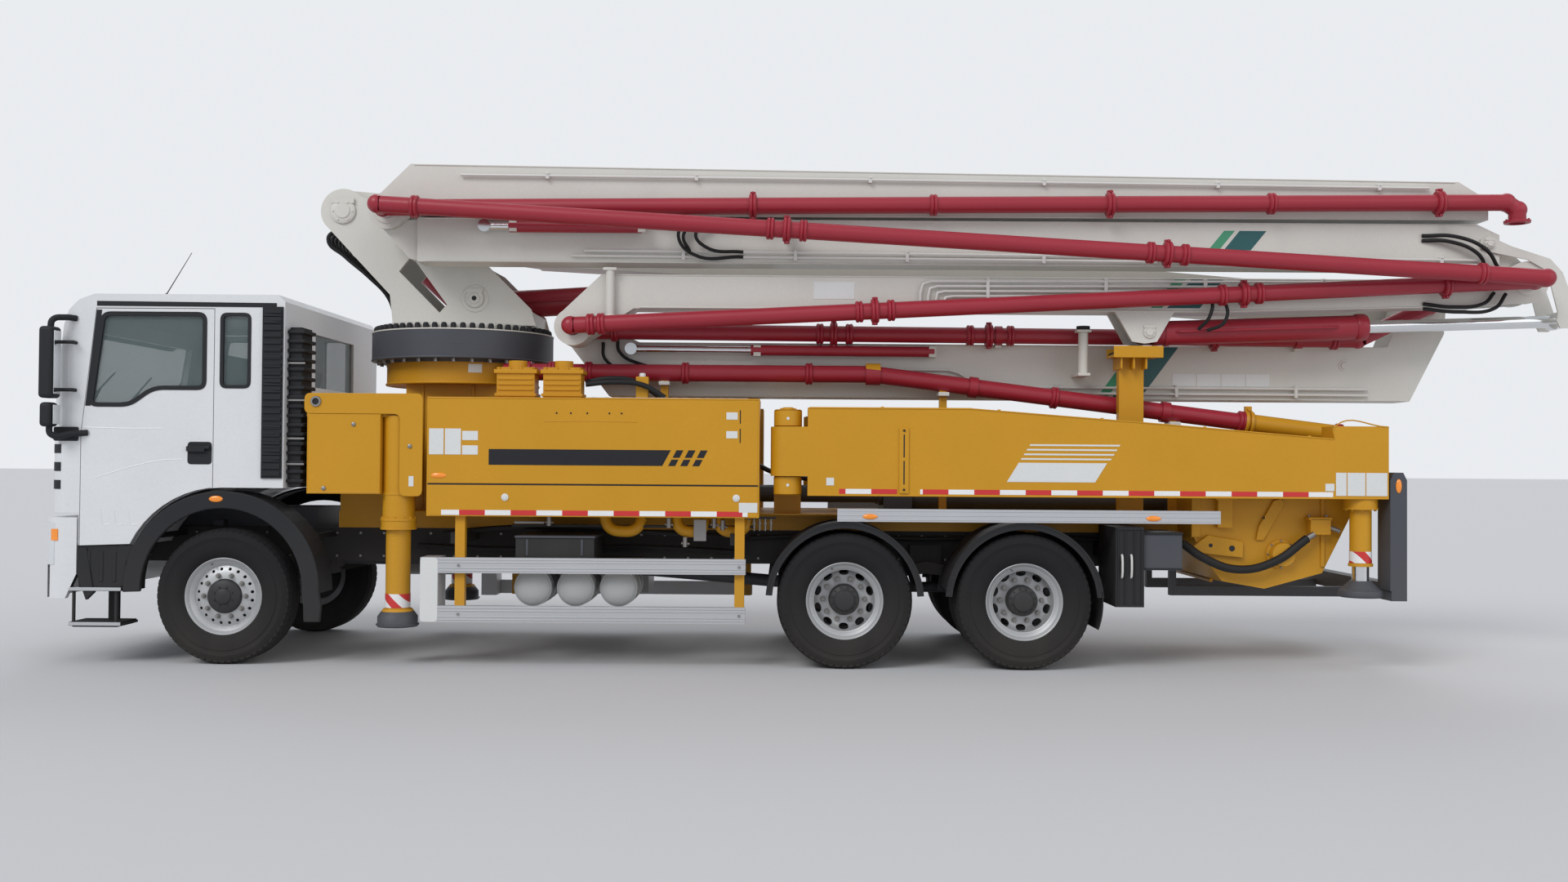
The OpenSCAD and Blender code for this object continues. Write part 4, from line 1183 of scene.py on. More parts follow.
    def hub(self, group: Sequence[WheelSpot]) -> None:
        """Makes the nuts and the hub of the wheel that shows."""
        spot = group[0]
        nuts = bmesh.new()
        self.add_nuts(nuts, spot)
        self.yard.piece(spot.rim_node + "_nuts", nuts, STEEL, spot.body, "rim_silver")
        hub = bmesh.new()
        if spot.steered:
            outline = [(0.0, 0.078), (0.0, 0.140), (0.050, 0.140), (0.060, 0.134), (0.066, 0.126),
                       (0.088, 0.122), (0.120, 0.112), (0.131, 0.104), (0.136, 0.088), (0.136, 0.070),
                       (0.109, 0.070), (0.109, 0.060), (0.084, 0.060), (0.084, 0.078)]
        else:
            outline = [(0.0, 0.030), (0.0, 0.084), (0.060, 0.084), (0.074, 0.080), (0.082, 0.066),
                       (0.094, 0.060), (0.112, 0.052), (0.118, 0.040), (0.122, -0.064), (0.109, -0.066),
                       (0.109, -0.075), (0.084, -0.075), (0.084, 0.030)]
        add_turned(hub, outline, (spot.x, spot.y, self.centre_z), (0.0, spot.outward, 0.0), 40)
        if spot.steered:
            drum = [(0.080, 0.018), (0.226, 0.018), (0.226, 0.040), (0.080, 0.046)]
            add_turned(hub, drum, (spot.x, spot.y, self.centre_z), (0.0, spot.outward, 0.0), 40)
        count = 8 if spot.steered else 12
        ring, level = (0.075, 0.126) if spot.steered else (0.102, 0.060)
        inner, outer = spot.y + spot.outward * (level - 0.012), spot.y + spot.outward * (level + 0.006)
        for dx, dz in around(count, ring, 0.5):
            x, z = spot.x + dx, self.centre_z + dz
            add_rod(hub, (x, inner, z), (x, outer, z), 0.007, 8)
        self.yard.piece(spot.rim_node + "_hub", hub, HUB, spot.body, "axle_steel")

    def valve(self, group: Sequence[WheelSpot]) -> None:
        """Makes the valve on the rim of the wheel that shows."""
        spot = group[0]
        bm = bmesh.new()
        edge = spot.y + spot.outward * (self.half_w - 0.030)
        angle = math.radians(112)
        x, z = spot.x + 0.270 * math.cos(angle), self.centre_z + 0.270 * math.sin(angle)
        add_rod(bm, (x, edge - spot.outward * 0.03, z), (x + 0.010, edge + spot.outward * 0.012, z - 0.010),
                0.006, 10)
        self.yard.piece(spot.rim_node + "_valve", bm, STEEL, spot.body, "rim_silver")

    def build(self) -> None:
        """Makes every wheel."""
        for group in self.spots():
            self.tyre(group)
            self.rim(group)
            self.hub(group)
            self.valve(group)


# Cab


def rounded(outline: Sequence[tuple[float, float]], radius: float,
            count: int = 5) -> list[tuple[float, float]]:
    """Rounds the corners of a closed outline.

    Args:
        outline: Corners in order.
        radius: Distance from a corner at which its curve starts.
        count: Points on each curve.

    Returns:
        The rounded outline.
    """
    points = []
    for index, corner in enumerate(outline):
        here = Vector(corner)
        before = Vector(outline[index - 1]) - here
        after = Vector(outline[(index + 1) % len(outline)]) - here
        start = here + before.normalized() * min(radius, before.length * 0.45)
        end = here + after.normalized() * min(radius, after.length * 0.45)
        for step in range(count + 1):
            share = step / count
            spot = start * (1 - share) ** 2 + here * (2 * share * (1 - share)) + end * share ** 2
            points.append((spot.x, spot.y))
    return points


def add_frame(bm: bmesh.types.BMesh, outline: Sequence[tuple[float, float]], width: float, near: float,
              far: float) -> None:
    """Adds a flat frame whose outer edge is an (x, z) outline.

    Args:
        bm: Mesh that gets the frame.
        outline: Outer edge in the side view.
        width: Width of the frame.
        near: Y of the first face.
        far: Y of the last face.
    """
    part = bmesh.new()
    face = part.faces.new([part.verts.new((x, near, z)) for x, z in outline])
    face.normal_update()
    bmesh.ops.inset_region(part, faces=[face], thickness=width, use_even_offset=True, use_boundary=True)
    bmesh.ops.delete(part, geom=[face], context="FACES_ONLY")
    grown = bmesh.ops.extrude_face_region(part, geom=part.faces[:])["geom"]
    verts = [item for item in grown if isinstance(item, bmesh.types.BMVert)]
    bmesh.ops.translate(part, verts=verts, vec=(0.0, far - near, 0.0))
    mesh = bpy.data.meshes.new("frame_part")
    part.to_mesh(mesh)
    part.free()
    bm.from_mesh(mesh)
    bpy.data.meshes.remove(mesh)


def add_bent(bm: bmesh.types.BMesh, middle: Point, radius: float, thick: float, height: float,
             start: float, end: float, steps: int = 12) -> None:
    """Adds a strip bent about an upright line.

    Args:
        bm: Mesh that gets the strip.
        middle: Point on the upright line, at the strip's underside.
        radius: Inner radius of the strip.
        thick: Its thickness.
        height: Its height.
        start: Angle of its first end in degrees, from +X.
        end: Angle of its last end in degrees.
        steps: Number of steps in the bend.
    """
    x, y, z = middle
    section = rectangle(radius, radius + thick, 0.0, height)
    turn = Matrix.Rotation(math.radians(start), 3, "Z")
    face = bm.faces.new([bm.verts.new(Vector(middle) + turn @ Vector((r, 0.0, up))) for r, up in section])
    bmesh.ops.spin(bm, geom=[face], cent=(x, y, z), axis=(0.0, 0.0, 1.0), angle=math.radians(end - start),
                   steps=steps, use_duplicate=False)


def corner_heading(side: Side, past: float) -> float:
    """Returns the heading, from +X in degrees, that lies past straight ahead on a front corner."""
    return 180.0 - side.value * past


@dataclass
class CabSides:
    """Window rubbers, handles, creases, vents and marker lamps on both sides of the cab."""

    yard: Yard
    face: float = 1.240
    window: tuple[tuple[float, float], ...] = ((-5.702, 2.003), (-5.372, 2.003), (-5.188, 2.137),
                                               (-4.780, 2.137), (-4.780, 2.747), (-5.606, 2.747))
    quarter: tuple[tuple[float, float], ...] = tuple(rectangle(-4.678, -4.436, 2.152, 2.743))
    arch: tuple[float, float] = (-4.650, 0.590)

    def plate(self, side: Side, outline: Sequence[tuple[float, float]], out: float, deep: float = 0.004,
              bm: bmesh.types.BMesh | None = None) -> bmesh.types.BMesh:
        """Makes a plate on the cab's side face.

        Args:
            side: Side of the cab.
            outline: Corners as (x, z).
            out: How far it stands out.
            deep: How far it goes in.
            bm: Mesh to add it to, or none for a new one.

        Returns:
            The mesh.
        """
        made = bm if bm else bmesh.new()
        add_plate(made, outline, side.value * (self.face - deep), side.value * (self.face + out))
        return made

    def windows(self, side: Side, word: str) -> None:
        """Lays the black rubbers round the door and quarter windows and the rail under the roof."""
        door = bmesh.new()
        add_frame(door, rounded(self.window, 0.075), 0.034, side.value * (self.face - 0.016),
                  side.value * (self.face + 0.004))
        self.yard.piece(f"door_rubber_{word}", door, TRIM_BLACK, f"cab_door_{word}", "cab_trim")
        rear = bmesh.new()
        add_frame(rear, rounded(self.quarter, 0.055), 0.026, side.value * (self.face - 0.022),
                  side.value * (self.face + 0.004))
        self.yard.piece(f"quarter_rubber_{word}", rear, TRIM_BLACK, "cab", "cab_trim")
        roof = self.plate(side, ((-5.640, 2.790), (-4.240, 2.786), (-4.240, 2.820), (-5.640, 2.828)), 0.003)
        self.yard.piece(f"roof_rail_{word}", roof, TRIM_BLACK, "cab", "cab_trim")

    def handle(self, side: Side, word: str) -> None:
        """Makes the dark grip recess at the door's rear edge."""
        bm = self.plate(side, rounded(rectangle(-4.920, -4.732, 1.560, 1.735), 0.030), 0.003)
        y = side.value * (self.face + 0.016)
        add_rod(bm, (-4.900, y, 1.690), (-4.745, y, 1.690), 0.014, 14)
        add_rod(bm, (-4.895, side.value * self.face, 1.690), (-4.895, y, 1.690), 0.012, 12)
        add_rod(bm, (-4.750, side.value * self.face, 1.690), (-4.750, y, 1.690), 0.012, 12)
        self.yard.piece(f"door_grip_{word}", bm, TRIM_BLACK, f"cab_door_{word}", "cab_trim")

    def creases(self, side: Side, word: str) -> None:
        """Presses the shallow creases into the door."""
        y = side.value * (self.face - 0.0015)
        routes: list[list[Point]] = [
            [(-5.730, y, 1.842), (-5.400, y, 1.836), (-5.120, y, 1.838)],
            [(-5.640, y, 1.450), (-5.350, y, 1.540), (-5.120, y, 1.590), (-4.960, y, 1.598)],
        ]
        for x in (-5.590, -5.485, -5.375):
            routes.append([(x, y, 1.205), (x + 0.010, y, 1.120), (x + 0.018, y, 1.092),
                           (x + 0.070, y, 1.090)])
        self.yard.hose(f"door_creases_{word}", routes, 0.0042, CAB_WHITE, f"cab_door_{word}", "cab_white", 2)

    def pillar(self, side: Side, word: str) -> None:
        """Makes the black corner behind the mirror and the slotted corner vane."""
        corner = self.plate(side, ((-5.722, 2.010), (-5.680, 2.010), (-5.600, 2.760), (-5.640, 2.760)),
                            0.0025)
        self.yard.piece(f"window_corner_{word}", corner, TRIM_BLACK, f"cab_door_{word}", "cab_trim")
        vane = bmesh.new()
        middle = (-5.818, side.value * 1.018, 0.0)
        angle = corner_heading(side, 42.0)
        for low in (1.640, 1.500, 1.360):
            add_bent(vane, (middle[0], middle[1], low), 0.2215, 0.004, 0.070, angle - 22.0, angle + 22.0)
        self.yard.piece(f"corner_slots_{word}", vane, TRIM_BLACK, "cab", "cab_trim")

    def arch_flare(self, side: Side, word: str) -> None:
        """Makes the wide black lip over the front wheel, with its marker lamp."""
        y_in, y_out = side.value * 1.205, side.value * 1.2425
        outer = arc_points(self.arch, 0.764, 182.0, -2.0, 30)
        outer += [(-3.868, 0.470), (-3.880, 0.340)]
        inner = [(-4.005, 0.340), (-4.010, 0.470)] + arc_points(self.arch, 0.628, -2.0, 182.0, 30)
        bm = bmesh.new()
        add_plate(bm, outer + inner, y_in, y_out)
        self.yard.piece(f"arch_lip_{word}", bm, TRIM_BLACK, "chassis", "cab_trim", edge=0.008)
        lamp = bmesh.new()
        add_ball(lamp, (-4.695, side.value * 1.2425, 1.292), 0.054, (1.0, 0.22, 0.46))
        self.yard.piece(f"arch_marker_{word}", lamp, AMBER, "chassis", "glass")

    def mirror(self, side: Side, word: str) -> None:
        """Makes the tall mirror, the wide mirror under it and their bent arms."""
        sign = side.value
        shell = bmesh.new()
        low, high = across(side, 1.286, 1.432)
        add_box(shell, (-6.000, low, 2.062), (-5.884, high, 2.615))
        low, high = across(side, 1.296, 1.424)
        add_box(shell, (-5.992, low, 1.842), (-5.896, high, 2.030))
        made = self.yard.piece(f"mirror_shell_{word}", shell, TRIM_BLACK, "cab", "cab_trim", edge=0.030)
        made.modifiers["edge"].segments = 5
        glass = bmesh.new()
        low, high = across(side, 1.306, 1.412)
        for bottom, top in ((2.095, 2.582), (1.862, 2.010)):
            add_box(glass, (-5.8855, low, bottom), (-5.8815, high, top))
        self.yard.piece(f"mirror_glass_{word}", glass, MIRROR, "cab", "glass", edge=0.0015)
        routes = [
            [(-5.800, sign * 1.236, 2.690), (-5.860, sign * 1.300, 2.692), (-5.925, sign * 1.352, 2.670),
             (-5.940, sign * 1.360, 2.600)],
            [(-5.700, sign * 1.236, 1.800), (-5.800, sign * 1.290, 1.790), (-5.925, sign * 1.352, 1.782),
             (-5.940, sign * 1.360, 1.860)],
        ]
        self.yard.hose(f"mirror_arms_{word}", routes, 0.024, TRIM_BLACK, "cab", "cab_trim", 4)
        foot = bmesh.new()
        low, high = across(side, 1.205, 1.262)
        add_box(foot, (-5.960, low, 1.735), (-5.770, high, 1.845))
        self.yard.piece(f"mirror_foot_{word}", foot, TRIM_BLACK, "cab", "cab_trim", edge=0.012)

    def stack(self) -> None:
        """Makes the ribbed air duct behind the cab's left corner."""
        bm = bmesh.new()
        add_box(bm, (-4.160, -1.170, 1.385), (-4.062, -0.930, 2.640))
        for step in range(17):
            low = 1.420 + step * 0.073
            add_box(bm, (-4.172, -1.190, low), (-4.036, -0.915, low + 0.030))
        self.yard.piece("air_duct", bm, TRIM_BLACK, "cab", "cab_trim", edge=0.008)
        ties = bmesh.new()
        for low in (1.560, 1.760, 2.060, 2.350):
            add_box(ties, (-4.165, -1.196, low), (-4.030, -1.190, low + 0.014))
        self.yard.piece("air_duct_ties", ties, STEEL, "cab", "cab_trim")
        louvre = bmesh.new()
        for step in range(24):
            z = 1.475 + step * 0.054
            add_plate(louvre, ((-4.338, z), (-4.193, z), (-4.193, z + 0.010), (-4.338, z + 0.022)), -1.2660,
                      -1.2560)
        self.yard.piece("duct_louvres", louvre, TRIM_BLACK, "cab", "cab_trim")

    def build(self) -> None:
        """Makes both sides of the cab."""
        for side in BOTH:
            word = side_word(side)
            self.windows(side, word)
            self.handle(side, word)
            self.creases(side, word)
            self.pillar(side, word)
            self.arch_flare(side, word)
            self.mirror(side, word)
        self.stack()


@dataclass
class CabFront:
    """Lamps, wipers, grille bars, steps and plates on the cab's front and bumper."""

    yard: Yard
    lamp_y: tuple[float, float] = (0.775, 0.925)
    corner_x: float = -5.866
    corner_y: float = 1.020

    def headlamps(self) -> None:
        """Makes the lamps behind the headlamp glass and round the corner."""
        rings, lenses, corner = bmesh.new(), bmesh.new(), bmesh.new()
        for side in BOTH:
            for y in self.lamp_y:
                place = (-6.100, side.value * y, 0.900)
                add_turned(rings,
                           [(0.052, 0.0), (0.060, 0.006), (0.068, 0.006), (0.070, -0.004), (0.052, -0.004)],
                           place, (-1.0, 0.0, 0.0), 28)
                add_ball(lenses, place, 0.052, (0.14, 1.0, 1.0))
            angle = corner_heading(side, 42.0)
            add_bent(corner, (self.corner_x, side.value * self.corner_y, 0.770), 0.2190, 0.005, 0.330,
                     angle - 30.0, angle + 24.0)
        self.yard.piece("headlamp_rings", rings, CHROME, "chassis", "aluminium")
        self.yard.piece("headlamp_lenses", lenses, LAMP_GLASS, "chassis", "glass")
        self.yard.piece("corner_lamps", corner, LAMP_GLASS, "chassis", "glass", edge=0.002)
        amber = bmesh.new()
        for side in BOTH:
            angle = corner_heading(side, 66.0)
            add_bent(amber, (self.corner_x, side.value * self.corner_y, 0.960), 0.2215, 0.0045, 0.090,
                     angle - 9.0, angle + 9.0)
        self.yard.piece("turn_lamps", amber, AMBER, "chassis", "glass")

    def bumper_details(self) -> None:
        """Makes the blank plate, the dark boxes painted as the shade in the bumper's openings, the tow points
        and the fog lamps of the bumper.
        """
        plate = bmesh.new()
        add_box(plate, (-6.0905, -0.260, 0.600), (-6.0850, 0.260, 0.760))
        self.yard.piece("front_plate", plate, PLATE, "chassis", "aluminium", edge=0.002)
        dark = bmesh.new()
        # The boxes for the middle opening and round the fog lamps are painted shade; the tow rings and the
        # plates by the steps are black trim.
        add_box(dark, (-6.0890, -0.640, 0.860), (-6.0840, 0.640, 1.040))
        for side in BOTH:
            add_box(dark, (-6.0895, side.value * 0.840 - 0.130, 0.620),
                    (-6.0845, side.value * 0.840 + 0.130, 0.730))
            add_turned(dark, [(0.020, 0.0), (0.020, 0.012), (0.034, 0.012), (0.034, 0.0)],
                       (-6.086, side.value * 0.42, 0.56), (-1.0, 0.0, 0.0), 20)
            y_low, y_high = across(side, 1.190, 1.236)
            add_plate(dark,
                      ((-5.770, 0.905), (-5.700, 0.905), (-5.640, 0.560), (-5.700, 0.500), (-5.770, 0.700)),
                      y_low, y_high)
        self.yard.piece("bumper_dark_parts", dark, TRIM_BLACK, "chassis", "cab_trim", edge=0.004)
        lamps = bmesh.new()
        for side in BOTH:
            for step in (-0.07, 0.07):
                add_ball(lamps, (-6.0895, side.value * 0.840 + step, 0.675), 0.040, (0.20, 1.0, 1.0))
        self.yard.piece("fog_lamps", lamps, LAMP_GLASS, "chassis", "glass")

    def skirts(self) -> None:
        """Makes the black panels between the bumper and the front wheels."""
        bm = bmesh.new()
        for side in BOTH:
            outline = ((-5.792, 0.930), (-5.330, 0.930), (-5.392, 0.790), (-5.412, 0.610), (-5.480, 0.575),
                       (-5.760, 0.575))
            add_plate(bm, outline, side.value * 1.196, side.value * 1.226)
            for x in (-5.700, -5.600, -5.500):
                add_plate(bm, rectangle(x, x + 0.030, 0.640, 0.880), side.value * 1.222, side.value * 1.232)
            add_plate(bm, ((-5.830, 0.330), (-5.800, 0.290), (-5.450, 0.290), (-5.420, 0.330)),
                      side.value * 0.960, side.value * 1.235)
        self.yard.piece("step_skirts", bm, TRIM_BLACK, "chassis", "cab_trim", edge=0.006)

    def steps(self) -> None:
        """Makes the ribbed treads and the round hangers of the entry steps."""
        treads, hangers = bmesh.new(), bmesh.new()
        for side in BOTH:
            for z in (0.320, 0.590):
                for rib in range(5):
                    y = side.value * (1.000 + rib * 0.050)
                    add_rod(treads, (-5.822, y, z + 0.003), (-5.428, y, z + 0.003), 0.006, 10)
                low, high = across(side, 1.236, 1.246)
                add_box(treads, (-5.828, low, z - 0.018), (-5.424, high, z + 0.008))
            for x in (-5.800, -5.470):
                add_rod(hangers, (x, side.value * 1.215, 0.300), (x, side.value * 1.215, 0.585), 0.013, 12)
        self.yard.piece("step_treads", treads, ALUMINIUM, "chassis", "aluminium", edge=0.002)
        self.yard.piece("step_hangers", hangers, TRIM_BLACK, "chassis", "cab_trim")

    def wipers(self) -> None:
        """Makes the three wipers at the foot of the windscreen."""
        bm = bmesh.new()
        for y in (-0.700, 0.000, 0.650):
            foot, bend, top = (-6.052, y, 1.790), (-6.046, y + 0.130, 1.960), (-5.998, y + 0.330, 2.230)
            add_rod(bm, (-6.025, y, 1.780), foot, 0.024, 16)
            add_rod(bm, foot, bend, 0.011, 10)
            add_rod(bm, bend, top, 0.008, 10, 0.005)
            add_rod(bm, (-6.040, y - 0.060, 1.950), (-5.978, y + 0.480, 2.330), 0.007, 8)
        self.yard.piece("wipers", bm, TRIM_BLACK, "cab", "cab_trim")

    def grille(self) -> None:
        """Makes the bright bars, the frame and the screen rubber of the front."""
        bars = bmesh.new()
        for z in (1.310, 1.400, 1.490, 1.580, 1.670):
            add_rod(bars, (-6.070, -0.860, z), (-6.070, 0.860, z), 0.007, 10)
        self.yard.piece("grille_bars", bars, CHROME, "cab", "cab_trim")
        rim = bmesh.new()
        for z in (1.230, 1.705):
            add_box(rim, (-6.062, -0.910, z - 0.012), (-6.038, 0.910, z + 0.012))
        for y in (-0.905, 0.905):
            add_box(rim, (-6.062, y - 0.012, 1.220), (-6.038, y + 0.012, 1.715))
        self.yard.piece("grille_frame", rim, TRIM_BLACK, "cab", "cab_trim", edge=0.005)

    def roof(self) -> None:
        """Makes the aerial, the roof hatch and the sun visor."""
        aerial = bmesh.new()
        add_rod(aerial, (-5.200, -1.020, 2.884), (-5.195, -1.020, 2.915), 0.018, 16, 0.010)
        add_rod(aerial, (-5.195, -1.020, 2.912), (-5.000, -1.020, 3.240), 0.0045, 8, 0.0025)
        self.yard.piece("roof_aerial", aerial, TRIM_BLACK, "cab", "cab_trim")
        hatch = bmesh.new()
        add_box(hatch, (-5.260, -0.340, 2.880), (-4.660, 0.340, 2.925))
        self.yard.piece("roof_hatch", hatch, CAB_WHITE, "cab", "cab_white", edge=0.020)
        visor = bmesh.new()
        add_plate(visor, ((-5.905, 2.655), (-6.020, 2.600), (-6.026, 2.612), (-5.900, 2.720)), -0.980, 0.980)
        self.yard.piece("sun_visor", visor, TRIM_BLACK, "cab", "cab_trim", edge=0.004)

    def build(self) -> None:
        """Makes the whole front."""
        self.headlamps()
        self.bumper_details()
        self.skirts()
        self.steps()
        self.wipers()
        self.grille()
        self.roof()


# Body sides, outriggers and guards


@dataclass
class SideBoxes:
    """Doors, stripes, tape, bolts, plates and lamps on the long side boxes."""

    yard: Yard
    face: float = 1.250
    front: float = -3.056
    back: float = -0.472
    low: float = 1.172
    seam: float = 1.421
    high: float = 2.099
    door_gap: float = 0.012

    def span(self, side: Side, start: float, end: float) -> tuple[float, float]:
        """Returns two Y values for a layer from start to end outside the face."""
        return side.value * (self.face + start), side.value * (self.face + end)

    def doors(self, side: Side, word: str) -> None:
        """Makes the upper flap, the lower panel and the black strip between them, painted as the shade in
        their gap.
        """
        bm = bmesh.new()
        left, right = self.front + self.door_gap, self.back - self.door_gap
        for low, high in ((self.seam + 0.007, self.high - self.door_gap),
                          (self.low + 0.006, self.seam - 0.007)):
            add_plate(bm, rounded(rectangle(left, right, low, high), 0.014, 3),
                      *self.span(side, -0.002, 0.003))
        self.yard.piece(f"box_doors_{word}", bm, YELLOW, "chassis", "body_yellow", edge=0.002)
        # Black strip in the gap between the flap and the panel: painted shade.
        seam = bmesh.new()
        add_plate(seam,
                  rectangle(self.front + 0.006, self.back - 0.006, self.seam - 0.006, self.seam + 0.006),
                  *self.span(side, -0.001, 0.0008))
        self.yard.piece(f"box_gap_painted_shade_{word}", seam, TRIM_BLACK, "chassis", "frame_black")

    def crown(self, side: Side, word: str) -> None:
        """Makes the rounded top edge, the pressed crease and the row of small rivets."""
        y = side.value * (self.face + 0.0022)
        routes = [
            [(-2.142, y, 1.913), (-1.800, y, 1.918), (-1.424, y, 1.913)],
            [(self.front + 0.010, y, self.high - 0.008), (-1.760, y, self.high - 0.007),
             (self.back - 0.010, y, self.high - 0.008)],
        ]
        self.yard.hose(f"box_creases_{word}", routes, 0.0045, YELLOW, "chassis", "body_yellow", 2)
        bm = bmesh.new()
        for x in (-2.050, -1.940, -1.812, -1.640, -1.545):
            add_rod(bm, (x, side.value * self.face, 1.978), (x, side.value * (self.face + 0.008), 1.978),
                    0.008, 12, 0.006)
        self.yard.piece(f"box_rivets_{word}", bm, TRIM_BLACK, "chassis", "frame_black")

    def stripe(self, side: Side, word: str) -> None:
        """Lays the plain black stripe with its leaning bars."""
        bm = bmesh.new()
        layer = self.span(side, 0.0025, 0.0045)
        add_plate(bm, ((-2.575, 1.572), (-1.226, 1.572), (-1.160, 1.695), (-2.575, 1.695)), *layer)
        for step in range(3):
            left = -1.180 + step * 0.094
            add_plate(bm, rectangle(left, left + 0.054, 1.572, 1.622, 0.026), *layer)
            add_plate(bm, rectangle(left + 0.034, left + 0.088, 1.636, 1.695, 0.030), *layer)
        self.yard.piece(f"box_stripe_{word}", bm, STRIPE_BLACK, "chassis", "frame_black")

    def marks(self, side: Side, word: str) -> None:
        """Lays the tape, the blank plates, the bolts, the slots as dark strips of painted shade and the
        marker lamp.
        """
        tape = bmesh.new()
        add_plate(tape, rectangle(-2.940, -0.560, 1.181, 1.221), *self.span(side, 0.0025, 0.0045))
        self.yard.piece(f"box_tape_{word}", tape, TAPE, "chassis", "frame_black")
        plates = bmesh.new()
        layer = self.span(side, 0.0025, 0.0050)
        for left, right, low, high in ((-3.040, -2.926, 1.650, 1.852), (-2.916, -2.792, 1.650, 1.852),
                                       (-2.782, -2.660, 1.650, 1.722), (-2.782, -2.660, 1.762, 1.834),
                                       (-0.730, -0.642, 1.936, 1.992), (-0.730, -0.642, 1.790, 1.846),
                                       (-0.628, -0.484, 1.214, 1.290)):
            add_plate(plates, rectangle(left, right, low, high), *layer)
        self.yard.piece(f"box_plates_{word}", plates, PLATE, "chassis", "aluminium", edge=0.001)
        bolts = bmesh.new()
        for x, z in ((-2.446, 1.321), (-0.649, 1.325)):
            add_turned(bolts,
                       [(0.0, 0.0), (0.0, 0.016), (0.014, 0.016), (0.017, 0.012), (0.027, 0.010),
                        (0.030, 0.0)], (x, side.value * self.face, z), (0.0, side.value, 0.0), 24)
        self.yard.piece(f"box_bolts_{word}", bolts, PLATE, "chassis", "aluminium")
        # Dark strips where the slots are: painted shade inside the slots.
        slots = bmesh.new()
        for low, high in ((1.905, 2.010), (1.755, 1.865)):
            add_plate(slots, rectangle(-0.626, -0.618, low, high), *self.span(side, 0.002, 0.0042))
        self.yard.piece(f"box_slot_painted_shade_{word}", slots, TRIM_BLACK, "chassis", "frame_black")
        lamp = bmesh.new()
        add_ball(lamp, (-2.963, side.value * (self.face + 0.002), 1.487), 0.062, (1.0, 0.20, 0.34))
        self.yard.piece(f"box_marker_{word}", lamp, AMBER, "chassis", "glass")

    def build(self) -> None:
        """Dresses both boxes."""
        for side in BOTH:
            word = side_word(side)
            self.doors(side, word)
            self.crown(side, word)
            self.stripe(side, word)
            self.marks(side, word)


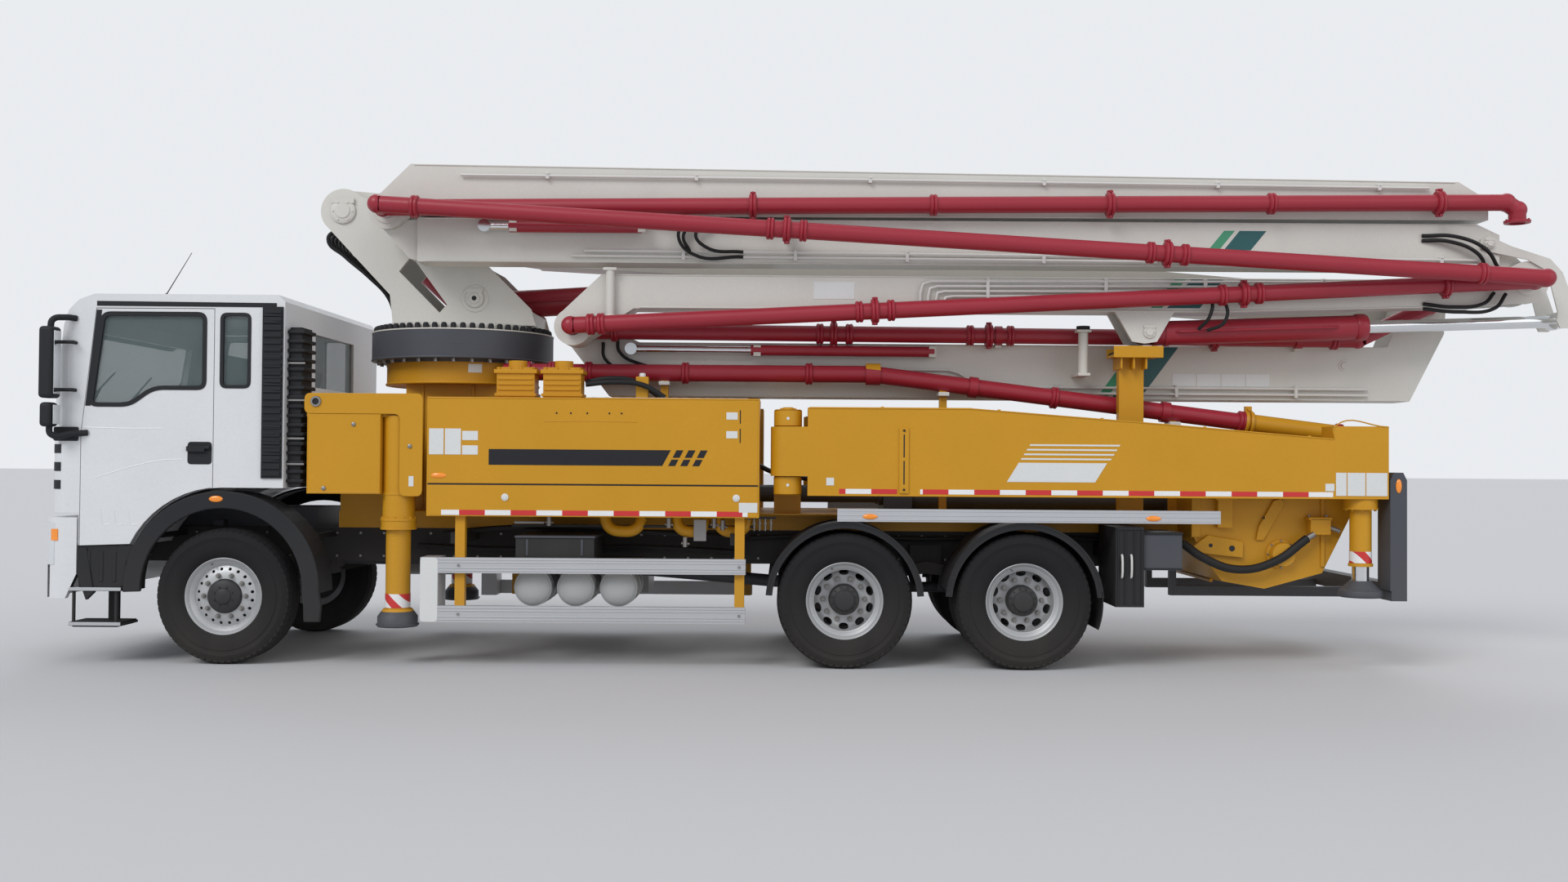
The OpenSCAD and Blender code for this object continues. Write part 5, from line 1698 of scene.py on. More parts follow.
@dataclass
class FrontOutriggers:
    """Eyes, welds, bands and plates on the front outriggers."""

    yard: Yard
    face: float = 1.245
    band_face: float = 1.2495
    leg_x: float = -3.307
    leg_y: float = 1.110

    def panel(self, side: Side, word: str) -> None:
        """Makes the lifting eye with a flat black disc painted as the shade in its hole, the weld beads, the
        blank plate and the band over the leg.
        """
        body = f"outrigger_f_{word}"
        bm = bmesh.new()
        add_turned(bm, [(0.026, -0.004), (0.026, 0.010), (0.040, 0.010), (0.044, -0.004)],
                   (-3.924, side.value * self.band_face, 2.056), (0.0, side.value, 0.0), 28)
        for x, z, y in ((-3.630, 1.880, self.face), (-3.190, 1.712, self.band_face),
                        (-3.858, 1.381, self.face)):
            add_turned(bm, [(0.0, 0.0), (0.0, 0.012), (0.009, 0.012), (0.016, 0.008), (0.018, 0.0)],
                       (x, side.value * y, z), (0.0, side.value, 0.0), 20)
        self.yard.piece(f"front_eye_{word}", bm, STEEL, body, "body_yellow")
        # Flat black disc inside the eye ring: painted shade for the dark of the hole.
        dark = bmesh.new()
        add_turned(dark, [(0.0, 0.0), (0.0, 0.0015), (0.026, 0.0015), (0.026, 0.0)],
                   (-3.924, side.value * (self.band_face + 0.001), 2.056), (0.0, side.value, 0.0), 28)
        self.yard.piece(f"front_eye_painted_shade_{word}", dark, FRAME_BLACK, body, "frame_black")
        y = side.value * (self.face - 0.001)
        beads = [
            [(-3.985, y, 1.350), (-3.700, y, 1.352), (-3.425, y, 1.350)],
            [(-3.425, y, 1.352), (-3.424, y, 1.650), (-3.425, y, 1.950)],
            [(-3.985, y, 1.352), (-3.986, y, 1.650), (-3.985, y, 1.950)],
        ]
        self.yard.hose(f"front_welds_{word}", beads, 0.0045, YELLOW, body, "body_yellow", 2)
        plate = bmesh.new()
        y_low, y_high = side.value * self.band_face, side.value * (self.band_face + 0.002)
        add_plate(plate, rectangle(-3.196, -3.158, 1.400, 1.480), y_low, y_high)
        self.yard.piece(f"front_leg_plate_{word}", plate, PLATE, body, "aluminium")
        band = bmesh.new()
        outline = rounded(((-4.014, 1.962), (-4.014, 2.122), (-3.092, 2.122), (-3.092, 1.322),
                           (-3.270, 1.322), (-3.270, 1.962)), 0.050)
        add_plate(band, outline, side.value * 1.2365, side.value * self.band_face)
        self.yard.piece(f"front_gallows_{word}", band, YELLOW, body, "body_yellow", edge=0.003)
        core = bmesh.new()
        add_plate(core,
                  ((-3.990, 1.975), (-3.990, 2.110), (-3.110, 2.110), (-3.110, 1.335), (-3.160, 1.335),
                   (-3.160, 1.975)), side.value * 1.190, side.value * 1.240)
        self.yard.piece(f"front_gallows_core_{word}", core, YELLOW, body, "body_yellow")

    def collar(self, side: Side, word: str) -> None:
        """Makes the collars and bolts round the leg tube."""
        body = f"outrigger_f_{word}"
        bm = bmesh.new()
        y = side.value * self.leg_y
        for low, high, radius in ((1.128, 1.150, 0.139), (1.330, 1.352, 0.1275), (1.060, 1.074, 0.139)):
            add_turned(bm, rectangle(radius - 0.020, radius, 0.0, high - low), (self.leg_x, y, low), UP, 48)
        for dx, dy in around(12, 0.126):
            place = (self.leg_x + dx, y + dy)
            add_rod(bm, (*place, 1.148), (*place, 1.162), 0.009, 6)
        self.yard.piece(f"front_collars_{word}", bm, YELLOW, body, "body_yellow", edge=0.002)

    def leg(self, side: Side, word: str) -> None:
        """Makes the banded sleeve and the dished foot of the leg."""
        body = f"leg_f_{word}"
        y = side.value * self.leg_y
        band = bmesh.new()
        add_turned(band, rectangle(0.0955, 0.0975, 0.0, 0.108), (self.leg_x, y, 0.450), UP, 48)
        self.yard.piece(f"front_leg_band_{word}", band, LEG_TAPE, body, "rod_chrome")
        foot = bmesh.new()
        add_turned(foot,
                   [(0.020, 0.004), (0.156, 0.004), (0.166, 0.012), (0.166, 0.020), (0.154, 0.026),
                    (0.150, 0.072), (0.142, 0.084), (0.020, 0.090)], (self.leg_x, y, 0.300), UP, 48)
        self.yard.piece(f"front_foot_{word}", foot, SLATE, body, "frame_black")

    def build(self) -> None:
        """Dresses both front outriggers."""
        for side in BOTH:
            word = side_word(side)
            self.panel(side, word)
            self.collar(side, word)
            self.leg(side, word)


@dataclass
class RearOutriggers:
    """Knuckles, edge welds, tape, blank plates and bands on the swinging rear outriggers."""

    yard: Yard
    face: float = 1.245
    leg_x: float = 4.258
    leg_y: float = 1.110
    pivot_x: float = -0.250
    pivot_y: float = 1.110

    def layer(self, side: Side, start: float, end: float) -> tuple[float, float]:
        """Returns two Y values for a layer outside the arm's face."""
        return side.value * (self.face + start), side.value * (self.face + end)

    def edges(self, side: Side, word: str, body: str) -> None:
        """Makes the weld beads along the arm and the small bosses on its top edge."""
        y = side.value * (self.face + 0.0005)
        top = [(-0.090, 2.032), (1.184, 2.032), (2.638, 1.925), (3.995, 1.816)]
        beads = [[(x0 + 0.002, y, z0), (x1, y, z1)] for (x0, z0), (x1, z1) in zip(top, top[1:])]
        beads += [[(-0.090, y, 1.353), (2.100, y, 1.354), (4.420, y, 1.356)],
                  [(4.003, y, 1.820), (4.003, y, 1.914), (4.420, y, 1.914)]]
        self.yard.hose(f"rear_arm_welds_{word}", beads, 0.0055, YELLOW, body, "body_yellow", 2)
        bosses = bmesh.new()
        for x, z in ((0.484, 2.028), (1.393, 2.012), (2.194, 1.952), (2.995, 1.891), (3.811, 1.826)):
            for inset in (0.012, 0.240):
                level = side.value * (self.face - inset)
                add_rod(bosses, (x, level, z - 0.006), (x, level, z + 0.018), 0.015, 16, 0.012)
        self.yard.piece(f"rear_arm_bosses_{word}", bosses, YELLOW, body, "body_yellow")
        lips = bmesh.new()
        low, high = across(side, 0.980, 1.248)
        add_box(lips, (-0.080, low, 2.034), (1.180, high, 2.040))
        self.yard.piece(f"rear_arm_lip_{word}", lips, YELLOW, body, "body_yellow", edge=0.002)

    def knuckles(self, side: Side, word: str) -> None:
        """Makes the pin heads and cover rings on the swing knuckles."""
        bm = bmesh.new()
        y = side.value * self.pivot_y
        for low, high in ((1.352, 1.360), (1.492, 1.4985), (1.8875, 1.894), (2.013, 2.022)):
            add_turned(bm,
                       [(0.040, 0.0), (0.100, 0.0), (0.108, (high - low) / 2), (0.100, high - low),
                        (0.040, high - low)], (self.pivot_x, y, low), UP, 40)
        add_turned(bm, [(0.0, 0.0), (0.0, 0.020), (0.036, 0.020), (0.048, 0.012), (0.052, 0.0)],
                   (self.pivot_x, y, 2.020), UP, 32)
        for dx, dy in around(4, 0.078, 0.5):
            place = (self.pivot_x + dx, y + dy)
            add_rod(bm, (*place, 2.018), (*place, 2.032), 0.010, 6)
        self.yard.piece(f"swing_caps_{word}", bm, YELLOW, "chassis", "body_yellow")
        sign = bmesh.new()
        for z in (1.430, 1.950):
            add_turned(sign, [(0.0, 0.0), (0.0, 0.003), (0.012, 0.003), (0.012, 0.0)],
                       (self.pivot_x, side.value * 1.2195, z), (0.0, side.value, 0.0), 20)
        self.yard.piece(f"swing_marks_{word}", sign, PLATE, "chassis", "aluminium")

    def bracket(self, side: Side, word: str, body: str) -> None:
        """Makes the long slotted bar that guides the lock, with black strips and dots painted as the shade in
        its slots and holes.
        """
        bm = bmesh.new()
        add_plate(bm, rounded(rectangle(0.616, 0.690, 1.372, 1.884), 0.010, 3),
                  *self.layer(side, -0.001, 0.014))
        self.yard.piece(f"slot_bar_{word}", bm, YELLOW, body, "body_yellow", edge=0.003)
        # Black strips and dots on the bar: painted shade inside its slots and holes.
        dark = bmesh.new()
        for low, high in ((1.440, 1.625), (1.650, 1.830)):
            add_plate(dark, rounded(rectangle(0.648, 0.658, low, high), 0.004, 3),
                      *self.layer(side, 0.0135, 0.0150))
        for z in (1.400, 1.860):
            add_turned(dark, [(0.0, 0.0), (0.0, 0.010), (0.008, 0.010), (0.010, 0.0)],
                       (0.653, side.value * (self.face + 0.013), z), (0.0, side.value, 0.0), 12)
        self.yard.piece(f"slot_painted_shade_{word}", dark, FRAME_BLACK, body, "frame_black")

    def marks(self, side: Side, word: str, body: str) -> None:
        """Lays the tape, the pale leaning panel with its bars and the blank plates."""
        tape = bmesh.new()
        add_plate(tape, rectangle(0.150, 0.600, 1.366, 1.404), *self.layer(side, 0.0, 0.002))
        add_plate(tape, rectangle(0.780, 3.990, 1.366, 1.404), *self.layer(side, 0.0, 0.002))
        self.yard.piece(f"rear_arm_tape_{word}", tape, TAPE, body, "frame_black")
        pale = bmesh.new()
        lean = 0.62
        add_plate(pale, rectangle(1.453, 2.139, 1.467, 1.617, 0.150 * lean), *self.layer(side, 0.0, 0.0022))
        for low in (1.640, 1.676, 1.712, 1.748):
            start = 1.453 + (low - 1.467) * lean
            add_plate(pale, rectangle(start, start + 0.700, low, low + 0.013, 0.013 * lean),
                      *self.layer(side, 0.0, 0.0022))
        self.yard.piece(f"rear_arm_panel_{word}", pale, PLATE, body, "aluminium")
        plates = bmesh.new()
        for left, right, low, high in ((4.012, 4.094, 1.376, 1.556), (4.102, 4.240, 1.376, 1.556),
                                       (4.248, 4.412, 1.376, 1.556), (3.930, 4.000, 1.412, 1.470),
                                       (0.050, 0.110, 1.430, 1.490)):
            add_plate(plates, rectangle(left, right, low, high), *self.layer(side, 0.0, 0.0025))
        self.yard.piece(f"rear_arm_plates_{word}", plates, PLATE, body, "aluminium", edge=0.001)

    def leg(self, side: Side, word: str, body: str) -> None:
        """Makes the leg's collars, its banded lower tube and the dished foot."""
        y = side.value * self.leg_y
        collars = bmesh.new()
        for low, high, radius in ((1.268, 1.282, 0.132), (1.346, 1.362, 0.132), (0.822, 0.846, 0.092)):
            add_turned(collars, rectangle(radius - 0.018, radius, 0.0, high - low),
                       (self.leg_x, y, low), UP, 48)
        for dx, dy in around(10, 0.112):
            place = (self.leg_x + dx, y + dy)
            add_rod(collars, (*place, 1.256), (*place, 1.272), 0.009, 6)
        self.yard.piece(f"rear_leg_collars_{word}", collars, YELLOW, body, "body_yellow", edge=0.002)
        band = bmesh.new()
        add_turned(band, rectangle(0.0825, 0.0845, 0.0, 0.090), (self.leg_x, y, 0.850), UP, 48)
        self.yard.piece(f"rear_leg_band_{word}", band, LEG_TAPE, body, "rod_chrome")
        foot = bmesh.new()
        add_turned(foot,
                   [(0.066, 0.130), (0.072, 0.128), (0.078, 0.108), (0.120, 0.080), (0.164, 0.052),
                    (0.170, 0.030), (0.166, 0.010), (0.150, 0.004), (0.020, 0.004), (0.020, 0.060),
                    (0.066, 0.066)], (self.leg_x, y, 0.580), UP, 48)
        self.yard.piece(f"rear_foot_{word}", foot, SLATE, f"leg_r_{word}", "frame_black")

    def build(self) -> None:
        """Dresses both rear outriggers."""
        for side in BOTH:
            word = side_word(side)
            body = f"outrigger_r_{word}"
            self.edges(side, word, body)
            self.knuckles(side, word)
            self.bracket(side, word, body)
            self.marks(side, word, body)
            self.leg(side, word, body)


@dataclass
class Guards:
    """Ribs, caps, lamps and bolts of the aluminium side guards and the rear guard."""

    yard: Yard
    face: float = 1.250

    def build(self) -> None:
        """Dresses the guards on both sides and at the back."""
        ribs, caps, bolts, lamps, red = bmesh.new(), bmesh.new(), bmesh.new(), bmesh.new(), bmesh.new()
        for side in BOTH:
            sign = side.value
            for low, high in ((0.349, 0.476), (0.730, 0.850)):
                for share in (0.16, 0.34, 0.70, 0.88):
                    z = low + (high - low) * share
                    y_low, y_high = across(side, self.face - 0.001, self.face + 0.004)
                    add_box(ribs, (-2.960, y_low, z - 0.004), (-0.576, y_high, z + 0.004))
            add_plate(caps, rounded(rectangle(-3.100, -2.962, 0.349, 0.850), 0.030, 4),
                      sign * (self.face - 0.006), sign * (self.face + 0.001))
            for z in (1.166, 1.200, 1.234):
                y_low, y_high = across(side, self.face - 0.001, self.face + 0.003)
                add_box(ribs, (0.142, y_low, z - 0.003), (3.112, y_high, z + 0.003))
            for x in (-2.802, -0.622):
                for z in (0.412, 0.790):
                    add_rod(bolts, (x, sign * self.face, z), (x, sign * (self.face + 0.009), z), 0.011, 6)
            for x in (0.392, 2.594):
                add_ball(lamps, (x, sign * (self.face + 0.003), 1.190), 0.058, (1.0, 0.22, 0.36))
            add_ball(lamps, (4.505, sign * 1.2365, 1.455), 0.055, (0.42, 0.20, 1.0))
            for y in (0.760, 0.900):
                add_turned(red, [(0.0, 0.0), (0.0, 0.010), (0.026, 0.010), (0.032, 0.004), (0.032, 0.0)],
                           (4.585, sign * y, 0.625), ALONG, 24)
        self.yard.piece("guard_ribs", ribs, ALUMINIUM, "chassis", "aluminium", edge=0.0015)
        self.yard.piece("guard_caps", caps, PLATE, "chassis", "aluminium", edge=0.003)
        self.yard.piece("guard_bolts", bolts, STEEL, "chassis", "aluminium")
        self.yard.piece("guard_markers", lamps, AMBER, "chassis", "glass")
        self.yard.piece("tail_lamp_rings", red, RED_LENS, "chassis", "glass")
        tape = bmesh.new()
        add_box(tape, (4.5695, -0.660, 0.600), (4.5715, 0.660, 0.650))
        for side in BOTH:
            y_low, y_high = across(side, 1.010, 1.080)
            add_box(tape, (4.5695, y_low, 0.700), (4.5715, y_high, 1.440))
        self.yard.piece("rear_tape", tape, LEG_TAPE, "chassis", "frame_black")


# Boom, turret and ring


@dataclass(frozen=True)
class Station:
    """A pipe coupling at a place along a section's delivery pipe."""

    x: float
    wide: bool = False


@dataclass(frozen=True)
class Section:
    """One boom section: its body, its outer face and what is fixed along it."""

    body: str
    face: float
    pipe: tuple[Point, Point]
    stations: tuple[Station, ...]
    tubes: tuple[tuple[tuple[float, float], ...], ...] = ()
    tube_gap: float = 0.026
    brackets: tuple[float, ...] = ()


SECTIONS: tuple[Section, ...] = (
    Section("section_1", 0.350, ((-4.0, 0.46, 3.693), (5.1, 0.46, 2.95)),
            (Station(-3.2), Station(-2.0, True), Station(-0.6), Station(1.0, True), Station(2.6),
             Station(4.0, True)),
            (((-2.35, 3.62), (-1.6, 3.56), (4.7, 3.04)), ((-2.35, 3.56), (-1.6, 3.50), (4.7, 2.98))),
            brackets=(-1.4, -0.4, 0.6, 1.6, 2.6, 3.6)),
    Section("section_2", -0.385, ((-1.992, -0.46, 2.690), (4.5, -0.46, 2.662)),
            (Station(-1.70), Station(0.012), Station(0.127, True), Station(0.257), Station(1.264),
             Station(1.421, True), Station(1.600), Station(3.300, True), Station(4.300)),
            (((-1.20, 2.33), (0.30, 2.34), (1.10, 2.34), (1.32, 2.20), (4.60, 2.20)),
             ((-1.20, 2.38), (0.28, 2.39), (1.14, 2.39), (1.36, 2.25), (4.60, 2.25))),
            brackets=(-0.6, 0.4, 2.0, 3.0, 4.0)),
    Section("section_3", -0.860, ((-1.992, -0.97, 2.690), (5.707, -0.97, 3.100)),
            (Station(-1.831), Station(-1.746), Station(0.312), Station(0.437, True), Station(0.566),
             Station(3.209), Station(3.382, True), Station(3.502), Station(4.994, True)),
            (((0.807, 2.862), (0.807, 3.020), (0.850, 3.072), (4.700, 3.090)),
             ((0.870, 2.862), (0.870, 2.990), (0.900, 3.032), (4.760, 3.050)),
             ((0.933, 2.862), (0.933, 2.960), (0.960, 2.992), (4.820, 3.010)),
             ((0.996, 2.862), (0.996, 2.930), (1.030, 2.952), (2.300, 2.960))),
            brackets=(1.35, 2.30, 3.10, 4.05)),
    Section("section_4", -0.860, ((-3.5, -1.14, 3.620), (5.707, -1.14, 3.100)),
            (Station(-3.20), Station(-0.40), Station(-0.27, True), Station(-0.14), Station(2.592),
             Station(2.725, True), Station(2.862), Station(5.20)),
            (((-1.90, 3.300), (-0.60, 3.296), (5.30, 3.270)),
             ((-2.00, 3.258), (-0.60, 3.256), (5.30, 3.232))),
            brackets=(-1.10, -0.20, 0.70, 1.80, 2.90, 4.00, 5.00)),
    Section("section_5", -0.860, ((-3.5, -0.97, 3.620), (5.476, -0.97, 3.723)),
            (Station(-3.25), Station(-0.542, True), Station(0.90), Station(2.311, True), Station(3.60),
             Station(4.942, True)),
            (((-2.90, 3.905), (0.20, 3.888), (4.90, 3.850)),),
            brackets=(-2.20, -1.00, 0.40, 1.80, 3.20, 4.50)),
)


@dataclass
class BoomPipes:
    """Couplings on the delivery pipes and the steel tubes beside them."""

    yard: Yard
    pipe_r: float = 0.066
    deck_pipe_r: float = 0.070

    @staticmethod
    def add_coupling(bm: bmesh.types.BMesh, middle: Point, along: Vector, pipe_r: float, wide: bool) -> None:
        """Adds one coupling: a raised ring, and ears with a bolt where it is wide.

        Args:
            bm: Mesh that gets the coupling.
            middle: Point on the pipe's middle line.
            along: Direction of the pipe.
            pipe_r: Outer radius of the pipe.
            wide: Whether the coupling has its lever and bolt.
        """
        radius = pipe_r + (0.011 if wide else 0.0)
        outline = [(radius - 0.004, -0.030), (radius + 0.010, -0.030), (radius + 0.020, -0.022),
                   (radius + 0.020, -0.006), (radius + 0.012, 0.0), (radius + 0.020, 0.006),
                   (radius + 0.020, 0.022), (radius + 0.010, 0.030), (radius - 0.004, 0.030)]
        add_turned(bm, outline, middle, tuple(along), 32)
        if wide:
            for sign in (-1, 1):
                z = middle[2] + sign * (radius + 0.024)
                low, high = sorted((z - sign * 0.020, z + sign * 0.009))
                add_box(bm, (middle[0] - 0.022, middle[1] - 0.020, low),
                        (middle[0] + 0.022, middle[1] + 0.020, high))
                add_rod(bm, (middle[0], middle[1] - 0.036, z), (middle[0], middle[1] + 0.036, z), 0.010, 10)

    def section(self, section: Section) -> None:
        """Dresses one section with couplings, tubes and tube brackets."""
        couplings = bmesh.new()
        start, end = Vector(section.pipe[0]), Vector(section.pipe[1])
        along = (end - start).normalized()
        for station in section.stations:
            share = (station.x - start.x) / (end.x - start.x)
            self.add_coupling(couplings, tuple(start.lerp(end, share)), along, self.pipe_r, station.wide)
        self.yard.piece(f"{section.body}_couplings", couplings, CRIMSON, section.body, "pipe_red")
        if not section.tubes:
            return
        out = 1 if section.face > 0 else -1
        y = section.face + out * section.tube_gap
        routes = [[(x, y, z) for x, z in tube] for tube in section.tubes]
        self.yard.tubes(f"{section.body}_tubes", routes, 0.011, TUBE_WHITE, section.body, "boom_white")
        ties = bmesh.new()
        for x in section.brackets:
            heights = [self.height_at(tube, x) for tube in section.tubes]
            known = [z for z in heights if z is not None]
            if known:
                low, high = sorted((section.face, y + out * 0.014))
                add_box(ties, (x - 0.014, low, min(known) - 0.026), (x + 0.014, high, max(known) + 0.026))
                add_rod(ties, (x, y + out * 0.012, max(known) + 0.016),
                        (x, y + out * 0.022, max(known) + 0.016), 0.008, 6)
        self.yard.piece(f"{section.body}_tube_ties", ties, TUBE_WHITE, section.body, "boom_white", edge=0.003)

    @staticmethod
    def height_at(tube: Sequence[tuple[float, float]], x: float) -> float | None:
        """Returns a tube's height at a place along the truck, or none beyond its ends."""
        for (x0, z0), (x1, z1) in zip(tube, tube[1:]):
            if x0 < x1 and x0 <= x <= x1:
                return z0 + (z1 - z0) * (x - x0) / (x1 - x0)
        return None

    def deck(self) -> None:
        """Dresses the delivery pipe that runs along the deck."""
        bm = bmesh.new()
        flat, slope = Vector(ALONG), Vector((4.05, 0.0, -0.496)).normalized()
        for x in (-2.40, -2.20, -1.90, -1.10, -0.078):
            self.add_coupling(bm, (x, -0.55, 2.340), flat, self.deck_pipe_r, False)
        for x in (1.950, 3.495, 4.300):
            z = 2.340 - (x - 0.450) * 0.496 / 4.05
            self.add_coupling(bm, (x, -0.55, z), slope, self.deck_pipe_r, False)
        self.yard.piece("deck_pipe_couplings", bm, CRIMSON, "chassis", "pipe_red")
        caps = bmesh.new()
        for x, z in ((-1.270, 2.340), (1.030, 2.265), (2.930, 2.035)):
            add_box(caps, (x - 0.045, -0.640, z - 0.105), (x + 0.045, -0.460, z - 0.072))
        self.yard.piece("deck_pipe_saddles", caps, TUBE_WHITE, "chassis", "body_yellow", edge=0.006)

    def build(self) -> None:
        """Dresses every section and the deck pipe."""
        for section in SECTIONS:
            self.section(section)
        self.deck()


@dataclass
class BoomBoxes:
    """Stripes, blank signs, weld lines, pin heads, posts and hoses of the boom."""

    yard: Yard
    joint_1: tuple[float, float] = (-4.000, 3.693)
    joint_2: tuple[float, float] = (5.100, 2.950)
    joint_4: tuple[float, float] = (5.707, 3.100)
    joint_5: tuple[float, float] = (-3.500, 3.620)

    def stripes(self) -> None:
        """Lays the slanted teal and green stripes on the sections' outer faces."""
        outer, inner, inside = -0.860, -0.385, 0.3506
        for name, body, finish, face, outline in (
            ("section_4_teal", "section_4", TEAL, outer, rectangle(3.256, 3.473, 3.344, 3.500, 0.127)),
            ("section_4_green", "section_4", GREEN, outer, rectangle(3.131, 3.218, 3.344, 3.500, 0.127)),
            ("section_3_teal", "section_3", TEAL, outer, rectangle(2.800, 3.062, 2.872, 3.112, 0.200)),
            ("section_3_green", "section_3", GREEN, outer, rectangle(2.668, 2.758, 2.872, 3.112, 0.200)),
            ("section_2_teal", "section_2", TEAL, inner, rectangle(2.459, 2.698, 2.157, 2.604, 0.332)),
            ("section_2_green", "section_2", GREEN, inner, rectangle(2.330, 2.416, 2.157, 2.604, 0.332)),
            ("section_1_teal", "section_1", TEAL, inside,
             ((2.00, 3.02), (2.24, 3.00), (2.50, 3.32), (2.26, 3.34))),
        ):
            bm = bmesh.new()
            add_plate(bm, outline, face + 0.0006, face - 0.0012)
            self.yard.piece(name, bm, finish, body, "boom_white")

    def signs(self) -> None:
        """Makes the blank signs and the round plugs on the boxes."""
        bm = bmesh.new()
        for step in range(4):
            left = 2.972 + step * 0.206
            add_plate(bm, rectangle(left, left + 0.198, 2.269, 2.373), -0.3845, -0.3875)
        self.yard.piece("section_2_signs", bm, PLATE, "section_2", "boom_white", edge=0.001)
        sign = bmesh.new()
        add_plate(sign, rectangle(-0.050, 0.280, 2.925, 3.065), -0.8595, -0.8625)
        self.yard.piece("section_3_sign", sign, PLATE, "section_3", "boom_white", edge=0.001)
        plugs = bmesh.new()
        for x, z in ((4.420, 2.450), (-0.900, 2.420)):
            add_turned(plugs,
                       [(0.0, 0.0), (0.0, 0.012), (0.030, 0.012), (0.034, 0.004), (0.050, 0.004),
                        (0.052, 0.0)], (x, -0.385, z), (0.0, -1.0, 0.0), 28)
        self.yard.piece("section_2_plugs", plugs, BOOM_WHITE, "section_2", "boom_white")

    def seams(self) -> None:
        """Lays the weld beads that join the plates of the boxes."""
        rows = {
            "section_1": (0.3505,
                          [[(-2.40, 3.714), (1.30, 3.412), (5.08, 3.108)],
                           [(-0.45, 3.204), (2.30, 2.996), (5.08, 2.790)]]),
            "section_2": (-0.3855,
                          [[(-1.45, 2.600), (1.60, 2.601), (4.74, 2.600)],
                           [(-1.72, 2.160), (1.60, 2.160), (4.92, 2.160)]]),
            "section_3": (-0.8605,
                          [[(-1.72, 3.108), (1.60, 3.109), (5.33, 3.108)],
                           [(-1.45, 2.848), (3.20, 2.848), (5.30, 2.908)]]),
            "section_4": (-0.8605,
                          [[(-3.20, 3.558), (1.00, 3.559), (5.28, 3.558)],
                           [(-3.18, 3.214), (1.00, 3.213), (5.46, 3.214)]]),
            "section_5": (-0.8605,
                          [[(-3.28, 3.990), (1.00, 3.946), (5.12, 3.902)],
                           [(-3.28, 3.588), (1.00, 3.597), (5.37, 3.606)]]),
        }
        for body, (y, lines) in rows.items():
            routes = [[(x, y, z) for x, z in line] for line in lines]
            self.yard.tubes(f"{body}_welds", routes, 0.006, BOOM_WHITE, body, "boom_white")

    def pin_head(self, bm: bmesh.types.BMesh, place: tuple[float, float], y: float, out: int,
                 radius: float) -> None:
        """Adds a pin's round head with its keeper plate and bolts."""
        middle = (place[0], y, place[1])
        add_turned(bm,
                   [(0.0, 0.0), (0.0, 0.022), (radius * 0.55, 0.022), (radius * 0.62, 0.014),
                    (radius * 0.92, 0.012), (radius, 0.006), (radius, 0.0)], middle, (0.0, out, 0.0), 36)
        low, high = sorted((y, y + out * 0.016))
        add_box(bm, (place[0] - radius * 0.9, low, place[1] + radius * 0.62),
                (place[0] + radius * 0.9, high, place[1] + radius * 1.02))
        for dx, dz in around(6, radius * 0.78):
            x, z = place[0] + dx, place[1] + dz
            add_rod(bm, (x, y + out * 0.008, z), (x, y + out * 0.020, z), radius * 0.085, 6)

    def pins(self) -> None:
        """Makes the heads of the pins that show."""
        turret = bmesh.new()
        for side in BOTH:
            self.pin_head(turret, self.joint_1, side.value * 0.388, side.value, 0.105)
            self.pin_head(turret, (-2.885, 2.965), side.value * 0.395, side.value, 0.078)
            add_turned(turret, [(0.080, 0.0), (0.080, 0.010), (0.112, 0.010), (0.116, 0.0)],
                       (-2.885, side.value * 0.380, 2.965), (0.0, side.value, 0.0), 36)
        self.yard.piece("turret_pin_heads", turret, BOOM_WHITE, "turret_body", "boom_white")
        dark = bmesh.new()
        for side in BOTH:
            add_turned(dark, [(0.0, 0.021), (0.0, 0.0240), (0.020, 0.0240), (0.020, 0.021)],
                       (-2.885, side.value * 0.395, 2.965), (0.0, side.value, 0.0), 20)
        self.yard.piece("turret_pin_centres", dark, FRAME_BLACK, "turret_body", "frame_black")
        third = bmesh.new()
        self.pin_head(third, (2.658, 2.677), -0.8605, -1, 0.052)
        self.yard.piece("fold_pin_head", third, BOOM_WHITE, "section_3", "boom_white")
        fourth = bmesh.new()
        self.pin_head(fourth, (5.383, 3.407), -0.890, -1, 0.040)
        for place in (self.joint_4, self.joint_5):
            add_turned(fourth, [(0.070, 0.0), (0.070, 0.005), (0.105, 0.005), (0.108, 0.0)],
                       (place[0], -0.8655, place[1]), (0.0, -1.0, 0.0), 36)
        self.yard.piece("link_pin_head", fourth, BOOM_WHITE, "section_4", "boom_white")
        back = bmesh.new()
        add_turned(back, [(0.090, 0.0), (0.090, 0.006), (0.142, 0.006), (0.148, 0.0)],
                   (self.joint_2[0], -0.385, self.joint_2[1]), (0.0, -1.0, 0.0), 40)
        self.yard.piece("knee_ring", back, BOOM_WHITE, "section_2", "boom_white")

    def posts(self) -> None:
        """Makes the rest posts between the folded sections and their black pads."""
        posts, pads = bmesh.new(), bmesh.new()
        add_rod(posts, (2.170, -0.640, 2.340), (2.170, -0.640, 2.690), 0.040, 24)
        add_box(posts, (2.120, -0.700, 2.330), (2.220, -0.385, 2.356))
        add_box(posts, (2.110, -0.690, 2.690), (2.230, -0.590, 2.712))
        self.yard.piece("section_2_post", posts, BOOM_WHITE, "section_2", "boom_white", edge=0.005)
        add_rod(pads, (2.170, -0.640, 2.712), (2.170, -0.640, 2.742), 0.055, 24)
        self.yard.piece("section_2_post_pad", pads, HOSE, "section_2", "frame_black")
        front = bmesh.new()
        add_rod(front, (-1.686, -0.905, 2.770), (-1.686, -0.905, 3.140), 0.036, 24)
        add_box(front, (-1.740, -0.945, 3.136), (-1.632, -0.861, 3.160))
        add_ball(front, (-1.686, -0.905, 2.764), 0.044)
        self.yard.piece("section_3_post", front, BOOM_WHITE, "section_3", "boom_white", edge=0.004)

